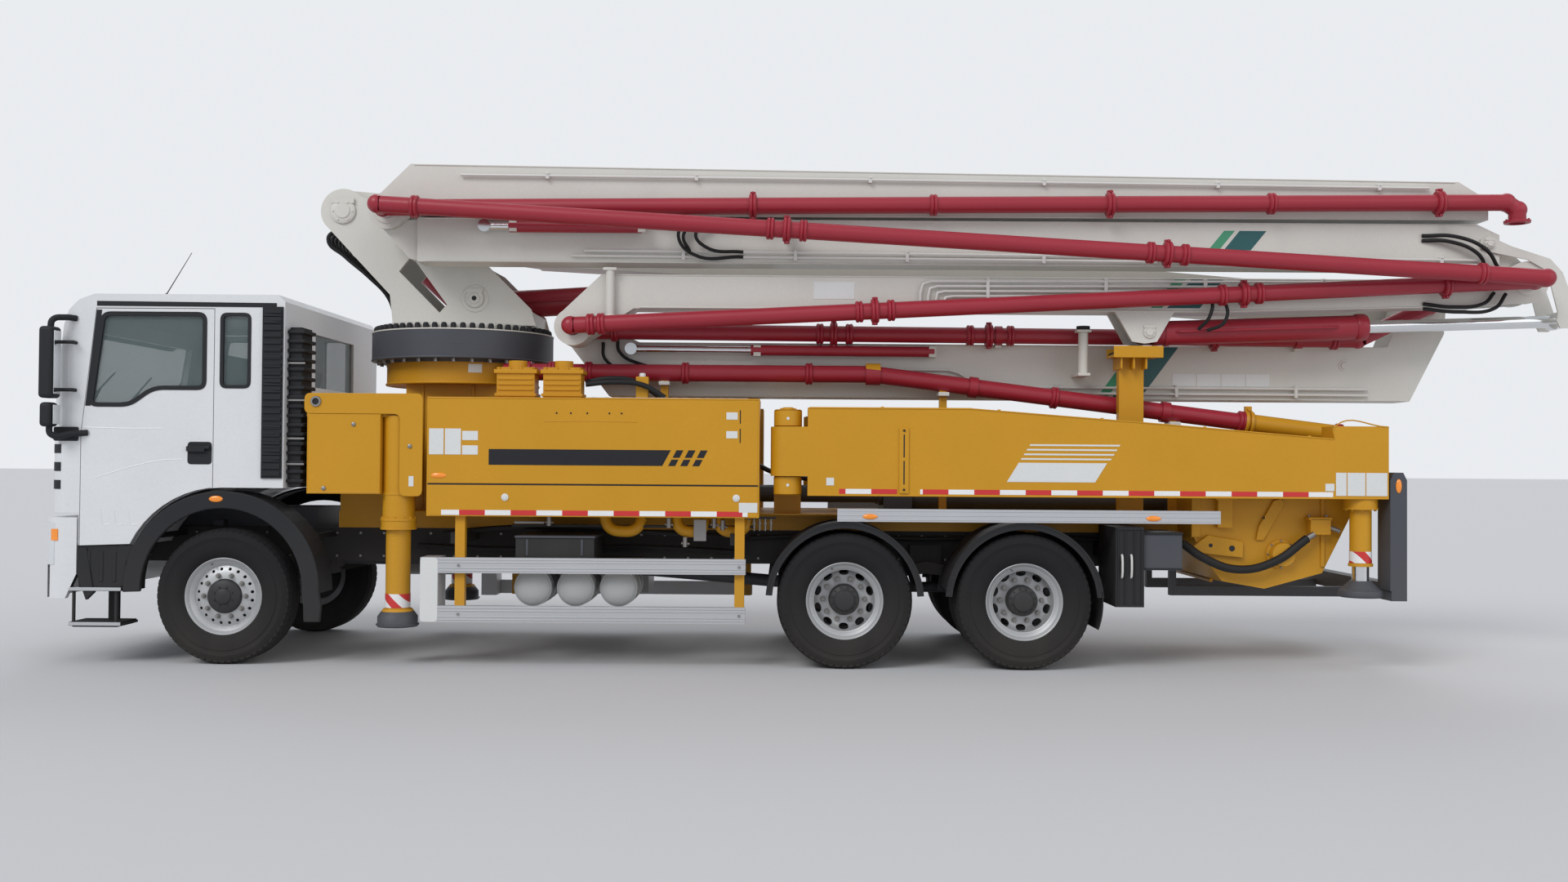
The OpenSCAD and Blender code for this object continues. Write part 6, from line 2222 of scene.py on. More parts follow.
    def hoses(self) -> None:
        """Hangs the black hoses at the knuckles of the boom."""
        for name, body, radius, routes in (
            ("knuckle_hoses_left", "section_4", 0.014, [
                [(-1.05, -0.886, 3.300), (-1.10, -0.925, 3.420), (-1.02, -0.935, 3.520)],
                [(-0.62, -0.886, 3.296), (-0.92, -0.925, 3.330), (-1.00, -0.930, 3.440),
                 (-0.90, -0.935, 3.520)],
                [(-0.62, -0.886, 3.258), (-1.02, -0.930, 3.270), (-1.14, -0.930, 3.420),
                 (-1.08, -0.935, 3.530)],
            ]),
            ("fold_hoses", "section_3", 0.014, [
                [(3.050, -0.890, 2.990), (3.130, -0.930, 2.940), (3.120, -0.940, 2.800),
                 (3.050, -0.870, 2.700)],
                [(3.120, -0.890, 2.980), (3.240, -0.935, 2.910), (3.240, -0.945, 2.760),
                 (3.120, -0.870, 2.690)],
                [(2.300, -0.886, 2.960), (2.520, -0.900, 2.972), (2.760, -0.900, 2.960),
                 (2.850, -0.880, 2.930)],
            ]),
            ("tip_hoses_upper", "section_4", 0.015, [
                [(4.850, -0.865, 3.470), (5.100, -0.925, 3.455), (5.330, -0.945, 3.350),
                 (5.450, -0.900, 3.210)],
                [(4.850, -0.865, 3.430), (5.060, -0.915, 3.415), (5.270, -0.930, 3.320),
                 (5.360, -0.890, 3.210)],
            ]),
            ("tip_hoses_lower", "section_3", 0.015, [
                [(4.860, -0.865, 2.880), (5.120, -0.925, 2.850), (5.400, -0.940, 2.880),
                 (5.510, -0.900, 3.000)],
                [(4.860, -0.865, 2.920), (5.080, -0.915, 2.890), (5.320, -0.930, 2.920),
                 (5.420, -0.890, 3.010)],
            ]),
            ("knee_hoses", "section_1", 0.015, [
                [(4.700, 0.378, 3.040), (5.000, 0.420, 3.060), (5.230, 0.430, 2.900), (5.180, 0.420, 2.700)],
                [(4.700, 0.378, 2.980), (4.960, 0.425, 2.960), (5.120, 0.425, 2.800), (5.100, 0.420, 2.620)],
            ]),
            ("low_knuckle_hoses", "section_2", 0.014, [
                [(-1.20, -0.410, 2.33), (-1.55, -0.430, 2.350), (-1.78, -0.440, 2.460),
                 (-1.80, -0.420, 2.600)],
                [(-1.20, -0.410, 2.38), (-1.48, -0.430, 2.420), (-1.66, -0.440, 2.520),
                 (-1.68, -0.420, 2.640)],
            ]),
        ):
            self.yard.hose(name, routes, radius, HOSE, body, "frame_black", 3)
        self.yard.hose("turret_hoses", [self.turret_route(step) for step in range(7)], 0.017, HOSE,
                       "turret_body", "frame_black", 3)

    @staticmethod
    def turret_route(place: int) -> list[Point]:
        """Returns the route of one of the hoses in front of the turret, counted from the left."""
        return [(-4.060, 0.100 * place - 0.30, 3.560), (-4.150, 0.100 * place - 0.30, 3.470),
                (-4.020, 0.080 * place - 0.26, 3.330), (-3.820, 0.070 * place - 0.24, 3.160),
                (-3.660, 0.060 * place - 0.22, 2.990), (-3.590, 0.060 * place - 0.22, 2.800)]

    def tip(self) -> None:
        """Makes the flange and bolts at the end of the delivery line."""
        bm = bmesh.new()
        add_turned(bm, [(0.067, 0.004), (0.098, 0.004), (0.100, 0.012), (0.100, 0.026), (0.067, 0.030)],
                   (5.566, -0.970, 3.553), UP, 36)
        for dx, dy in around(8, 0.086):
            place = (5.566 + dx, -0.970 + dy)
            add_rod(bm, (*place, 3.556), (*place, 3.590), 0.007, 6)
        self.yard.piece("end_flange", bm, CRIMSON, "section_5", "pipe_red")

    def rams(self) -> None:
        """Makes the glands, end caps and oil tubes of the two big rams."""
        for name, body, start, end, radius, length in (
            ("raise", "ram_raise", (-2.885, 0.180, 2.965), (-0.500, 0.180, 3.110), 0.120, 1.900),
            ("fold", "ram_fold", (2.658, -0.710, 2.677), (6.000, -0.710, 2.800), 0.100, 1.800),
        ):
            first, last = Vector(start), Vector(end)
            along = (last - first).normalized()
            bm = bmesh.new()
            gland = [(radius - 0.03, -0.090), (radius + 0.004, -0.090), (radius + 0.010, -0.080),
                     (radius + 0.010, -0.012), (radius + 0.002, 0.002), (radius - 0.03, 0.002)]
            add_turned(bm, gland, tuple(first + along * length), tuple(along), 40)
            add_turned(bm, rectangle(radius - 0.02, radius + 0.006, 0.0, 0.040),
                       tuple(first + along * 0.150), tuple(along), 40)
            self.yard.piece(f"{name}_ram_gland", bm, CRIMSON, body, "pipe_red")
            out = Vector((0.0, -1.0, 0.0))
            points = [first + along * 0.220 + out * radius * 0.80,
                      first + along * 0.260 + out * (radius + 0.030),
                      first + along * (length - 0.300) + out * (radius + 0.030),
                      first + along * (length - 0.240) + out * radius * 0.80]
            self.yard.tubes(f"{name}_ram_tube", [[tuple(point) for point in points]], 0.011, CRIMSON, body,
                            "pipe_red")

    def build(self) -> None:
        """Dresses the whole boom."""
        self.stripes()
        self.signs()
        self.seams()
        self.pins()
        self.posts()
        self.hoses()
        self.tip()
        self.rams()


@dataclass
class SlewRing:
    """Bolt caps, edge line, seams and drives of the slewing ring."""

    yard: Yard
    x: float = -3.060
    radius: float = 0.765
    caps: int = 60
    cap_ring: float = 0.728

    def bolts(self) -> None:
        """Makes the black caps over the ring's bolts."""
        bm = bmesh.new()
        cap = [(0.0, 0.0), (0.0, 0.052), (0.014, 0.052), (0.020, 0.046), (0.024, 0.034), (0.024, 0.0)]
        for dx, dy in around(self.caps, self.cap_ring):
            add_turned(bm, cap, (self.x + dx, dy, 2.680), UP, 12)
        self.yard.piece("ring_bolt_caps", bm, TRIM_BLACK, "turret_body", "frame_black")

    def line(self) -> None:
        """Makes the pale edge line under the caps, the joint below the ring and its nuts."""
        bm = bmesh.new()
        add_turned(bm, rectangle(0.690, self.radius + 0.004, 0.0, 0.010), (self.x, 0.0, 2.6745), UP, 96)
        self.yard.piece("ring_edge_line", bm, BOOM_WHITE, "turret_body", "boom_white")
        low = bmesh.new()
        add_turned(low,
                   [(0.640, 0.0), (self.radius + 0.002, 0.0), (self.radius + 0.006, 0.008),
                    (self.radius + 0.002, 0.016), (0.640, 0.016)], (self.x, 0.0, 2.4400), UP, 96)
        add_turned(low, [(0.636, -0.010), (0.668, -0.010), (0.676, 0.014), (0.636, 0.014)],
                   (self.x, 0.0, 2.4280), UP, 96)
        self.yard.piece("ring_lower_seam", low, SLATE, "chassis", "frame_black")
        nuts = bmesh.new()
        for dx, dy in around(30, 0.708):
            add_rod(nuts, (self.x + dx, dy, 2.412), (self.x + dx, dy, 2.442), 0.017, 6)
        self.yard.piece("ring_lower_nuts", nuts, STEEL, "chassis", "axle_steel")

    def drives(self) -> None:
        """Makes the slewing drives beside the column, with their flanges, bolts and hoses."""
        bm = bmesh.new()
        for left in (-2.570, -2.200):
            add_box(bm, (left - 0.020, -1.016, 2.300), (left + 0.320, -0.784, 2.332))
            add_box(bm, (left - 0.014, -1.012, 2.118), (left + 0.314, -0.788, 2.142))
            add_rod(bm, (left + 0.150, -0.900, 2.330), (left + 0.150, -0.900, 2.405), 0.074, 24)
            for step in range(4):
                for y in (-1.006, -0.794):
                    x = left + 0.020 + step * 0.087
                    add_rod(bm, (x, y, 2.328), (x, y, 2.350), 0.011, 6)
            for step in range(3):
                low = 2.165 + step * 0.042
                add_box(bm, (left + 0.010, -1.008, low), (left + 0.290, -0.999, low + 0.018))
        self.yard.piece("slew_drives", bm, YELLOW, "chassis", "body_yellow", edge=0.003)
        lines = [
            [(-1.870, -0.880, 2.240), (-1.700, -0.870, 2.270), (-1.480, -0.820, 2.250),
             (-1.300, -0.800, 2.140)],
            [(-1.870, -0.940, 2.220), (-1.660, -0.930, 2.240), (-1.420, -0.900, 2.220),
             (-1.240, -0.880, 2.120)],
        ]
        self.yard.hose("slew_hoses", lines, 0.022, HOSE, "chassis", "frame_black", 3)

    def column(self) -> None:
        """Makes the welds, the collar and the blank plate of the column."""
        bm = bmesh.new()
        add_turned(bm, [(0.600, 0.0), (0.646, 0.0), (0.652, 0.010), (0.646, 0.020), (0.600, 0.020)],
                   (self.x, 0.0, 2.236), UP, 72)
        for side in BOTH:
            for x in (-3.300, -2.880):
                low, high = across(side, 0.468, 0.486)
                add_plate(bm, rectangle(x, x + 0.020, 1.210, 2.230), low, high)
        self.yard.piece("column_seams", bm, YELLOW, "chassis", "body_yellow", edge=0.002)
        plate = bmesh.new()
        add_bent(plate, (self.x, 0.0, 2.330), 0.6405, 0.0025, 0.070, 286.0, 296.0, 6)
        self.yard.piece("column_plate", plate, PLATE, "chassis", "aluminium")

    def build(self) -> None:
        """Dresses the ring, the column and the drives."""
        self.bolts()
        self.line()
        self.drives()
        self.column()


# Hopper, deck and chassis


@dataclass
class HopperDress:
    """Rim, brackets, motors, hoses, grate fittings, levers and delivery elbow of the hopper."""

    yard: Yard
    front: float = 3.010
    back: float = 4.400
    shaft: tuple[float, float] = (3.700, 0.900)
    elbow_middle: Point = (4.500, -0.550, 1.844)

    def rim(self) -> None:
        """Makes the folded rim and the rubber splash lip."""
        bm = bmesh.new()
        for side in BOTH:
            y_low, y_high = across(side, 0.872, 0.912)
            add_box(bm, (self.front + 0.035, y_low, 1.478), (self.back - 0.035, y_high, 1.508))
        add_box(bm, (self.back - 0.016, -0.820, 1.476), (self.back + 0.022, 0.820, 1.508))
        self.yard.piece("hopper_rim", bm, YELLOW, "chassis", "body_yellow", edge=0.006)
        lip = bmesh.new()
        add_plate(lip, ((4.392, 1.500), (4.420, 1.500), (4.446, 1.640), (4.436, 1.644)), -0.800, 0.800)
        self.yard.piece("splash_lip", lip, HOSE, "chassis", "frame_black", edge=0.002)

    def ribs(self) -> None:
        """Makes the brackets, with black discs painted as the shade in their holes, and the clean-out door.
        """
        bm = bmesh.new()
        for side in BOTH:
            y_low, y_high = across(side, 0.898, 0.918)
            for left, right, low, high in ((2.985, 3.060, 1.030, 1.470), (4.020, 4.052, 0.800, 1.470)):
                add_box(bm, (left, y_low, low), (right, y_high, high))
            add_plate(bm, rectangle(3.180, 3.300, 1.110, 1.345), side.value * 0.898, side.value * 0.965)
            add_plate(bm, rectangle(3.160, 3.330, 1.330, 1.352), side.value * 0.898, side.value * 0.980)
            add_plate(bm, ((2.990, 0.960), (3.110, 1.050), (3.390, 1.000), (3.390, 0.870), (3.050, 0.905)),
                      side.value * 0.898, side.value * 0.945)
            add_plate(bm,
                      ((3.500, 1.010), (3.560, 1.010), (3.730, 1.300), (3.700, 1.345), (3.640, 1.330),
                       (3.520, 1.120)), side.value * 0.898, side.value * 0.925)
        self.yard.piece("hopper_brackets", bm, YELLOW, "chassis", "body_yellow", edge=0.005)
        # Black discs on the brackets: painted shade inside their holes.
        dark = bmesh.new()
        for side in BOTH:
            for x, z, radius in ((3.130, 0.968, 0.016), (3.300, 0.945, 0.024), (3.560, 1.190, 0.010)):
                y = side.value * (0.9245 if radius < 0.012 else 0.9445)
                add_turned(dark, [(0.0, 0.0), (0.0, 0.0015), (radius, 0.0015), (radius, 0.0)], (x, y, z),
                           (0.0, side.value, 0.0), 20)
        self.yard.piece("hopper_hole_painted_shade", dark, FRAME_BLACK, "chassis", "frame_black")
        pan = bmesh.new()
        add_plate(pan,
                  ((3.250, 0.668), (3.573, 0.611), (3.980, 0.724), (3.972, 0.744), (3.573, 0.630),
                   (3.258, 0.688)), -0.520, 0.520)
        add_rod(pan, (3.250, -0.560, 0.660), (3.250, 0.560, 0.660), 0.016, 14)
        self.yard.piece("hopper_cleanout", pan, YELLOW, "chassis", "body_yellow", edge=0.004)

    def motors(self) -> None:
        """Makes the agitator's bearing flanges and motors with their fittings."""
        bm, steel = bmesh.new(), bmesh.new()
        for side in BOTH:
            sign = side.value
            add_turned(bm,
                       [(0.060, 0.0), (0.118, 0.0), (0.118, 0.016), (0.096, 0.020), (0.092, 0.080),
                        (0.060, 0.082)], (self.shaft[0], sign * 0.900, self.shaft[1]), (0.0, sign, 0.0), 36)
            for dx, dz in around(8, 0.107):
                x, z = self.shaft[0] + dx, self.shaft[1] + dz
                add_rod(steel, (x, sign * 0.914, z), (x, sign * 0.928, z), 0.008, 6)
            y_low, y_high = across(side, 0.900, 1.000)
            add_box(bm, (3.908, y_low, 1.060), (4.070, y_high, 1.190))
            add_box(bm, (3.896, y_low, 1.176), (4.082, y_high, 1.200))
            for x in (3.922, 4.056):
                add_rod(steel, (x, sign * 0.930, 1.198), (x, sign * 0.930, 1.216), 0.010, 6)
            add_rod(steel, (3.885, sign * 1.000, 1.036), (3.935, sign * 1.000, 1.066), 0.024, 16)
            add_rod(steel, (4.070, sign * 0.960, 1.120), (4.150, sign * 0.975, 1.090), 0.018, 14)
        self.yard.piece("agitator_motors", bm, YELLOW, "chassis", "body_yellow", edge=0.005)
        self.yard.piece("agitator_fittings", steel, STEEL, "chassis", "axle_steel")
        for side in BOTH:
            word = side_word(side)
            y = side.value * 1.000
            route = [(2.900, side.value * 0.960, 0.985), (3.060, y, 0.870), (3.330, y, 0.782),
                     (3.620, y, 0.846), (3.880, y, 1.032)]
            self.yard.hose(f"hopper_hose_{word}", [route], 0.034, HOSE, "chassis", "frame_black", 4)

    def grate(self) -> None:
        """Makes the grate's handle and its two eyes."""
        bm = bmesh.new()
        self.yard.tubes("grate_handle",
                        [[(3.480, -0.200, 1.545), (3.480, -0.235, 1.585), (3.800, -0.235, 1.585),
                          (3.800, -0.200, 1.545)]], 0.009, FRAME_BLACK, "grate", "frame_black")
        for x in (3.200, 4.080):
            add_turned(bm, rectangle(0.012, 0.024, -0.008, 0.008), (x, -0.232, 1.550), ALONG, 20)
        self.yard.piece("grate_eyes", bm, FRAME_BLACK, "grate", "frame_black")

    def controls(self) -> None:
        """Makes the lever box on the hopper's back, with its levers, whose red knobs glow faintly as painted
        light.
        """
        box = bmesh.new()
        add_box(box, (4.398, 0.560, 1.120), (4.470, 0.800, 1.420))
        self.yard.piece("hopper_lever_box", box, SLATE, "chassis", "frame_black", edge=0.008)
        levers = bmesh.new()
        for step in range(3):
            y = 0.620 + step * 0.060
            add_rod(levers, (4.466, y, 1.300), (4.530, y, 1.345), 0.006, 10)
            add_ball(levers, (4.534, y, 1.348), 0.014)
        # The red knobs take the lens finish, and its faint glow is painted light on parts that are no lamp.
        self.yard.piece("hopper_levers", levers, RED_LENS, "chassis", "frame_black")

    def elbow(self) -> None:
        """Makes the yellow elbow that leads the delivery pipe down into the hopper."""
        self.yard.hose("delivery_elbow",
                       [[(3.540, -0.550, 1.9615), (4.000, -0.550, 1.9052), (4.470, -0.550, 1.8477)]], 0.0760,
                       YELLOW, "chassis", "body_yellow", 8)
        bm = bmesh.new()
        add_turned(bm, rectangle(0.071, 0.0765, -0.520, -0.010), self.elbow_middle, UP, 36)
        add_ball(bm, self.elbow_middle, 0.0835)
        for along, radius in ((-0.030, 0.094), (0.012, 0.094)):
            add_turned(bm,
                       [(0.070, -0.014), (radius, -0.014), (radius + 0.008, 0.0), (radius, 0.014),
                        (0.070, 0.014)], (3.560 + along, -0.550, 1.959 - along * 0.12),
                       (0.9925, 0.0, -0.1218), 36)
        add_box(bm, (3.528, -0.572, 2.040), (3.580, -0.528, 2.096))
        add_rod(bm, (3.554, -0.590, 2.072), (3.554, -0.510, 2.072), 0.013, 12)
        add_turned(bm, rectangle(0.072, 0.104, -0.020, 0.020), (4.500, -0.550, 1.560), UP, 36)
        self.yard.piece("delivery_drop", bm, YELLOW, "chassis", "body_yellow")

    def build(self) -> None:
        """Dresses the hopper."""
        self.rim()
        self.ribs()
        self.motors()
        self.grate()
        self.controls()
        self.elbow()


@dataclass
class DeckDress:
    """Walkways, posts, valve blocks and hoses on top of the deck."""

    yard: Yard
    pump_z: float = 1.340

    def walkway(self) -> None:
        """Lays the raised tread bars on the side boxes' tops and the deck."""
        plate, bars = bmesh.new(), bmesh.new()
        for side in BOTH:
            y_low, y_high = across(side, 0.820, 1.210)
            add_box(plate, (-1.820, y_low, 2.098), (-0.560, y_high, 2.104))
            for step in range(14):
                for row in range(4):
                    x = -1.770 + step * 0.090
                    y = side.value * (0.870 + row * 0.096)
                    lean = 0.016 if (step + row) % 2 else -0.016
                    add_rod(bars, (x - 0.020, y - lean, 2.104), (x + 0.020, y + lean, 2.104), 0.0035, 6)
        self.yard.piece("walkway_plates", plate, ALUMINIUM, "chassis", "aluminium", edge=0.001)
        self.yard.piece("walkway_treads", bars, ALUMINIUM, "chassis", "aluminium")

    def posts(self) -> None:
        """Makes the short posts with their white caps and the boom rest's crown and pad."""
        bm = bmesh.new()
        for side in BOTH:
            y_low, y_high = across(side, 0.780, 0.860)
            add_box(bm, (-1.478, y_low, 2.095), (-1.377, y_high, 2.290))
        self.yard.piece("deck_posts", bm, YELLOW, "chassis", "body_yellow", edge=0.006)
        caps = bmesh.new()
        for side in BOTH:
            add_turned(caps, [(0.0, 0.0), (0.0, 0.030), (0.020, 0.030), (0.026, 0.022), (0.026, 0.0)],
                       (-1.428, side.value * 0.820, 2.290), UP, 20)
        self.yard.piece("deck_post_caps", caps, PLATE, "chassis", "boom_white")
        crown = bmesh.new()
        for x in (2.430, 2.530, 2.630):
            add_plate(crown, rectangle(x, x + 0.016, 2.380, 2.480), -0.850, -0.570)
        add_box(crown, (2.370, -0.872, 2.470), (2.770, -0.862, 2.566))
        add_box(crown, (2.420, -0.770, 1.192), (2.660, -0.640, 1.212))
        self.yard.piece("boom_rest_crown", crown, YELLOW, "chassis", "body_yellow", edge=0.004)
        pad = bmesh.new()
        add_box(pad, (2.390, -0.838, 2.5005), (2.750, -0.582, 2.522))
        self.yard.piece("boom_rest_pad", pad, HOSE, "chassis", "frame_black", edge=0.004)

    def valves(self) -> None:
        """Makes the pump's heads and tie rods, the valve block with its hoses and the tank's ribs."""
        bm, steel = bmesh.new(), bmesh.new()
        for side in BOTH:
            y = side.value * 0.180
            for x, radius in ((0.780, 0.138), (2.960, 0.138)):
                add_turned(bm, rectangle(0.060, radius, -0.020, 0.020), (x, y, self.pump_z), ALONG, 36)
            for x in (-0.880, 0.540):
                add_turned(bm, rectangle(0.040, 0.092, -0.018, 0.018), (x, y, self.pump_z), ALONG, 32)
            for dy, dz in around(6, 0.112):
                place = (y + dy, self.pump_z + dz)
                add_rod(steel, (0.800, *place), (2.960, *place), 0.008, 8)
        self.yard.piece("pump_heads", bm, SLATE, "chassis", "axle_steel", edge=0.003)
        self.yard.piece("pump_tie_rods", steel, STEEL, "chassis", "axle_steel")
        block = bmesh.new()
        add_box(block, (-1.240, -0.300, 1.195), (-0.980, 0.300, 1.420))
        for step in range(6):
            y = -0.250 + step * 0.100
            add_rod(block, (-1.110, y, 1.418), (-1.110, y, 1.500), 0.026, 18)
            add_rod(block, (-1.110, y, 1.498), (-1.110, y, 1.520), 0.014, 12)
        self.yard.piece("valve_block", block, SLATE, "chassis", "axle_steel", edge=0.004)
        tank = bmesh.new()
        for x in (-1.960, -1.660, -1.360):
            add_box(tank, (x, -0.508, 1.200), (x + 0.030, 0.508, 1.795))
        add_box(tank, (-2.006, -0.508, 1.786), (-1.294, 0.508, 1.806))
        for y in (-0.250, 0.250):
            add_turned(tank, [(0.0, 0.0), (0.0, 0.060), (0.050, 0.060), (0.062, 0.050), (0.062, 0.0)],
                       (-1.650, y, 1.802), UP, 28)
        self.yard.piece("deck_tank_ribs", tank, YELLOW, "chassis", "body_yellow", edge=0.004)
        hoses = []
        for step in range(6):
            y = -0.250 + step * 0.100
            hoses.append([(-1.110, y, 1.500), (-1.060, y * 1.1, 1.640), (-0.700, y * 1.2, 1.660),
                          (-0.300, y * 1.0, 1.500), (0.580, y * 0.9, 1.480)])
        self.yard.hose("valve_hoses", hoses, 0.019, HOSE, "chassis", "frame_black", 3)

    def build(self) -> None:
        """Dresses the deck."""
        self.walkway()
        self.posts()
        self.valves()


@dataclass
class ChassisDress:
    """Bolts, tanks' straps, flaps, pipes, shafts and toolboxes of the chassis."""

    yard: Yard
    rail: float = 0.430
    wheel_z: float = 0.530
    rear_axles_x: tuple[float, float] = (0.200, 1.600)

    def bolts(self) -> None:
        """Sets bolt heads along the rails."""
        bm = bmesh.new()
        for side in BOTH:
            for step in range(44):
                x = -5.560 + step * 0.195
                for z in (0.805, 0.995):
                    add_rod(bm, (x, side.value * self.rail, z), (x, side.value * (self.rail + 0.011), z),
                            0.011, 6)
        self.yard.piece("rail_bolts", bm, STEEL, "chassis", "axle_steel")

    def flaps(self) -> None:
        """Makes the edges of the rear mudguards and the flaps that hang behind them."""
        bm = bmesh.new()
        for side in BOTH:
            y_in, y_out = side.value * 0.640, side.value * 1.236
            for x in self.rear_axles_x:
                middle = (x, self.wheel_z)
                for y_edge, y_back in ((y_out, side.value * 1.222), (y_in, side.value * 0.654)):
                    outline = arc_points(middle, 0.618, 4, 176, 26) + arc_points(middle, 0.566, 176, 4, 26)
                    add_plate(bm, outline, y_edge, y_back)
            middle = (self.rear_axles_x[1], self.wheel_z)
            outline = arc_points(middle, 0.611, 8, -20, 8) + arc_points(middle, 0.603, -20, 8, 8)
            add_plate(bm, outline, y_in, y_out)
        self.yard.piece("mudguard_edges", bm, TRIM_BLACK, "chassis", "cab_trim")

    def boxes(self) -> None:
        """Makes ribs, lids and the pale handles of the toolboxes."""
        ribs = bmesh.new()
        for x in (2.318, 2.372, 2.446, 2.500):
            add_box(ribs, (x, -1.249, 0.510), (x + 0.010, -1.238, 1.112))
        for low in (0.502, 1.100):
            add_box(ribs, (2.306, -1.247, low), (2.522, -1.238, low + 0.018))
        add_box(ribs, (2.528, -1.208, 0.792), (2.836, -1.198, 0.802))
        add_box(ribs, (2.528, -1.208, 1.062), (2.836, -1.198, 1.082))
        self.yard.piece("toolbox_ribs", ribs, TRIM_BLACK, "chassis", "cab_trim", edge=0.002)
        for x in (2.352, 2.424):
            route = [(x, -1.238, 0.905), (x, -1.262, 0.890), (x, -1.262, 0.745), (x, -1.238, 0.730)]
            self.yard.tubes(f"toolbox_handle_{int(x * 1000)}", [route], 0.009, TUBE_WHITE, "chassis",
                            "aluminium")

    def air_bottles(self) -> None:
        """Makes the straps and domed ends of the three air bottles and the battery's lid."""
        straps = bmesh.new()
        for x in (-2.249, -1.912, -1.575):
            for y in (-0.760, -0.960):
                add_turned(straps, rectangle(0.1465, 0.1500, -0.020, 0.020), (x, y, 0.610),
                           (0.0, 1.0, 0.0), 40)
            add_turned(straps, [(0.0, 0.0), (0.0, 0.020), (0.014, 0.020), (0.018, 0.0)], (x, -1.119, 0.610),
                       (0.0, -1.0, 0.0), 18)
        self.yard.piece("bottle_straps", straps, STEEL, "chassis", "aluminium")
        ends = bmesh.new()
        for x in (-2.249, -1.912, -1.575):
            add_turned(ends,
                       [(0.0, 0.046), (0.040, 0.044), (0.080, 0.036), (0.118, 0.020), (0.140, 0.004),
                        (0.1475, -0.016), (0.1475, -0.030), (0.0, -0.030)], (x, -1.101, 0.610),
                       (0.0, -1.0, 0.0), 40)
        self.yard.piece("bottle_ends", ends, TANK_GREY, "chassis", "aluminium")
        lid = bmesh.new()
        add_box(lid, (-2.388, -1.150, 1.000), (-1.757, -0.596, 1.018))
        add_box(lid, (-2.300, -1.146, 0.860), (-2.280, -1.139, 0.990))
        add_box(lid, (-1.870, -1.146, 0.860), (-1.850, -1.139, 0.990))
        self.yard.piece("battery_lid", lid, SLATE, "chassis", "frame_black", edge=0.006)

    def lines(self) -> None:
        """Hangs pipes and hoses under the boxes and along the frame."""
        bends = []
        for x, wide in ((-1.560, 0.150), (-1.020, 0.120), (-0.690, 0.120)):
            bends.append([(x - wide, -0.960, 1.180), (x - wide * 0.7, -0.980, 1.080), (x, -0.990, 1.050),
                          (x + wide * 0.7, -0.980, 1.070), (x + wide, -0.940, 1.150)])
        self.yard.hose("yellow_bends", bends, 0.045, YELLOW, "chassis", "body_yellow", 5)
        blacks = [
            [(-3.050, -0.700, 1.010), (-2.600, -0.760, 1.060), (-2.000, -0.780, 1.070),
             (-1.300, -0.760, 1.030), (-0.700, -0.600, 1.000)],
            [(-3.300, -0.520, 0.900), (-2.600, -0.560, 0.880), (-1.400, -0.560, 0.900),
             (-0.600, -0.500, 0.860)],
            [(-0.560, -0.480, 0.980), (0.100, -0.470, 1.000), (0.900, -0.470, 0.980), (1.900, -0.470, 1.000),
             (2.700, -0.470, 0.960)],
            [(3.000, -0.300, 1.000), (2.940, -0.560, 0.940), (2.900, -0.820, 0.960), (2.900, -0.960, 0.985)],
        ]
        self.yard.hose("frame_lines", blacks + [[(x, -y, z) for x, y, z in route] for route in blacks], 0.020,
                       HOSE, "chassis", "frame_black", 3)
        fittings = bmesh.new()
        for step in range(5):
            x = -0.560 + step * 0.045
            add_rod(fittings, (x, -0.980, 1.060), (x, -0.980, 1.165), 0.009, 10)
            add_rod(fittings, (x, -0.980, 1.110), (x, -0.980, 1.128), 0.015, 6)
        for x, z in ((-2.140, 1.120), (-1.190, 1.110), (-1.060, 0.960), (-0.830, 1.110), (-0.760, 1.095)):
            add_rod(fittings, (x, -1.020, z - 0.030), (x, -1.020, z + 0.050), 0.020, 14)
            add_rod(fittings, (x - 0.030, -1.020, z), (x + 0.036, -1.020, z - 0.004), 0.010, 10)
        add_box(fittings, (-0.990, -1.060, 0.980), (-0.890, -1.040, 1.150))
        add_box(fittings, (-2.420, -1.000, 1.105), (-2.180, -0.960, 1.125))
        self.yard.piece("frame_fittings", fittings, STEEL, "chassis", "axle_steel", edge=0.002)
        bar = bmesh.new()
        add_box(bar, (-0.600, -0.990, 1.155), (-0.340, -0.970, 1.172))
        add_box(bar, (-2.440, -0.990, 1.080), (-0.520, -0.940, 1.100))
        self.yard.piece("fitting_rail", bar, FRAME_BLACK, "chassis", "frame_black", edge=0.003)

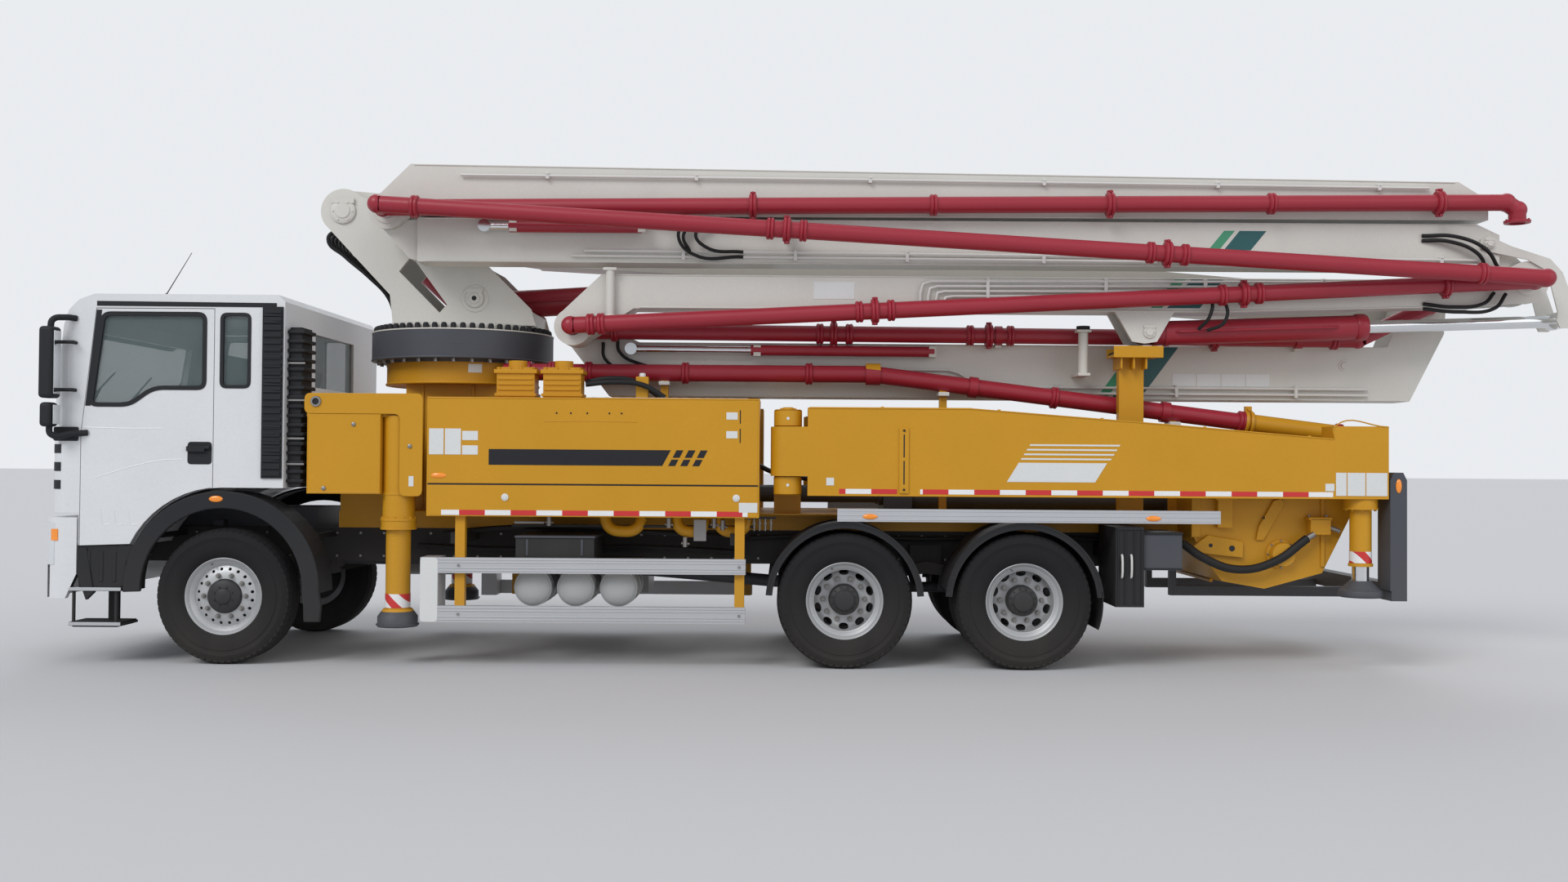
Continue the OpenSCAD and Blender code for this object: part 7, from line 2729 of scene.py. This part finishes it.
    def drive_line(self) -> None:
        """Makes the shafts between gearbox and axles, with their joints."""
        bm = bmesh.new()
        points = [(-4.180, 0.760), (-2.300, 0.740), (-0.060, 0.560)]
        for (x0, z0), (x1, z1) in zip(points, points[1:]):
            add_rod(bm, (x0, 0.0, z0), (x1, 0.0, z1), 0.052, 24)
        for x, z in points:
            add_turned(bm,
                       [(0.030, -0.060), (0.085, -0.060), (0.085, -0.044), (0.062, -0.036), (0.062, 0.036),
                        (0.085, 0.044), (0.085, 0.060), (0.030, 0.060)], (x, 0.0, z), (1.0, 0.0, -0.04), 28)
        add_rod(bm, (0.390, 0.0, 0.540), (1.410, 0.0, 0.540), 0.045, 24)
        for x in (0.430, 1.370):
            add_turned(bm, rectangle(0.030, 0.078, -0.040, 0.040), (x, 0.0, 0.540), ALONG, 28)
        self.yard.piece("drive_shafts", bm, SLATE, "chassis", "axle_steel")
        chambers = bmesh.new()
        for side in BOTH:
            for x in self.rear_axles_x:
                add_turned(chambers,
                           [(0.0, -0.090), (0.070, -0.090), (0.082, -0.070), (0.082, -0.010), (0.092, -0.006),
                            (0.092, 0.006), (0.082, 0.010), (0.080, 0.090), (0.060, 0.110), (0.0, 0.110)],
                           (x + 0.210, side.value * 0.520, 0.640), (0.35, 0.0, 1.0), 28)
        self.yard.piece("brake_chambers", chambers, SLATE, "chassis", "axle_steel")

    def exhaust(self) -> None:
        """Makes the silencer with its pipe and the fuel tank's straps, on the right side."""
        bm = bmesh.new()
        add_turned(bm,
                   [(0.0, -0.330), (0.120, -0.330), (0.150, -0.310), (0.160, -0.280), (0.160, 0.280),
                    (0.150, 0.310), (0.120, 0.330), (0.0, 0.330)], (-3.450, 0.740, 0.720), ALONG, 40)
        add_rod(bm, (-3.780, 0.740, 0.720), (-4.180, 0.420, 0.860), 0.048, 20)
        for x in (-3.640, -3.260):
            add_box(bm, (x, 0.430, 0.770), (x + 0.040, 0.640, 0.800))
        self.yard.piece("silencer", bm, STEEL, "chassis", "axle_steel")
        caps = bmesh.new()
        for x in (-2.250, -1.650):
            add_box(caps, (x, 0.594, 0.414), (x + 0.050, 1.157, 0.420))
            add_box(caps, (x, 1.150, 0.418), (x + 0.050, 1.157, 1.002))
            add_box(caps, (x, 0.594, 1.000), (x + 0.050, 1.157, 1.007))
        add_turned(caps, [(0.0, 0.0), (0.0, 0.040), (0.045, 0.040), (0.052, 0.032), (0.052, 0.0)],
                   (-1.950, 1.000, 1.000), UP, 28)
        self.yard.piece("fuel_tank_straps", caps, STEEL, "chassis", "aluminium", edge=0.001)

    def build(self) -> None:
        """Dresses the chassis."""
        self.bolts()
        self.flaps()
        self.boxes()
        self.air_bottles()
        self.lines()
        self.drive_line()
        self.exhaust()


SUB_ASSEMBLIES: tuple[Callable, ...] = (
    Wheels, CabSides, CabFront, SideBoxes, FrontOutriggers, RearOutriggers, Guards, BoomPipes, BoomBoxes,
    SlewRing, HopperDress, DeckDress, ChassisDress,
)


def main() -> None:
    """Loads the frame, dresses it and sets up the studio."""
    logging.basicConfig(level=logging.INFO, format="%(name)s: %(message)s")
    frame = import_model()
    shop = Shop()
    CadDress(shop).build(frame["nodes"])
    yard = Yard(shop)
    NodeSkins(yard, frame).build()
    for part in SUB_ASSEMBLIES:
        part(yard).build()
    Studio().build()
    LOG.info("%d pieces added", yard.count)


if __name__ == "__main__":
    main()
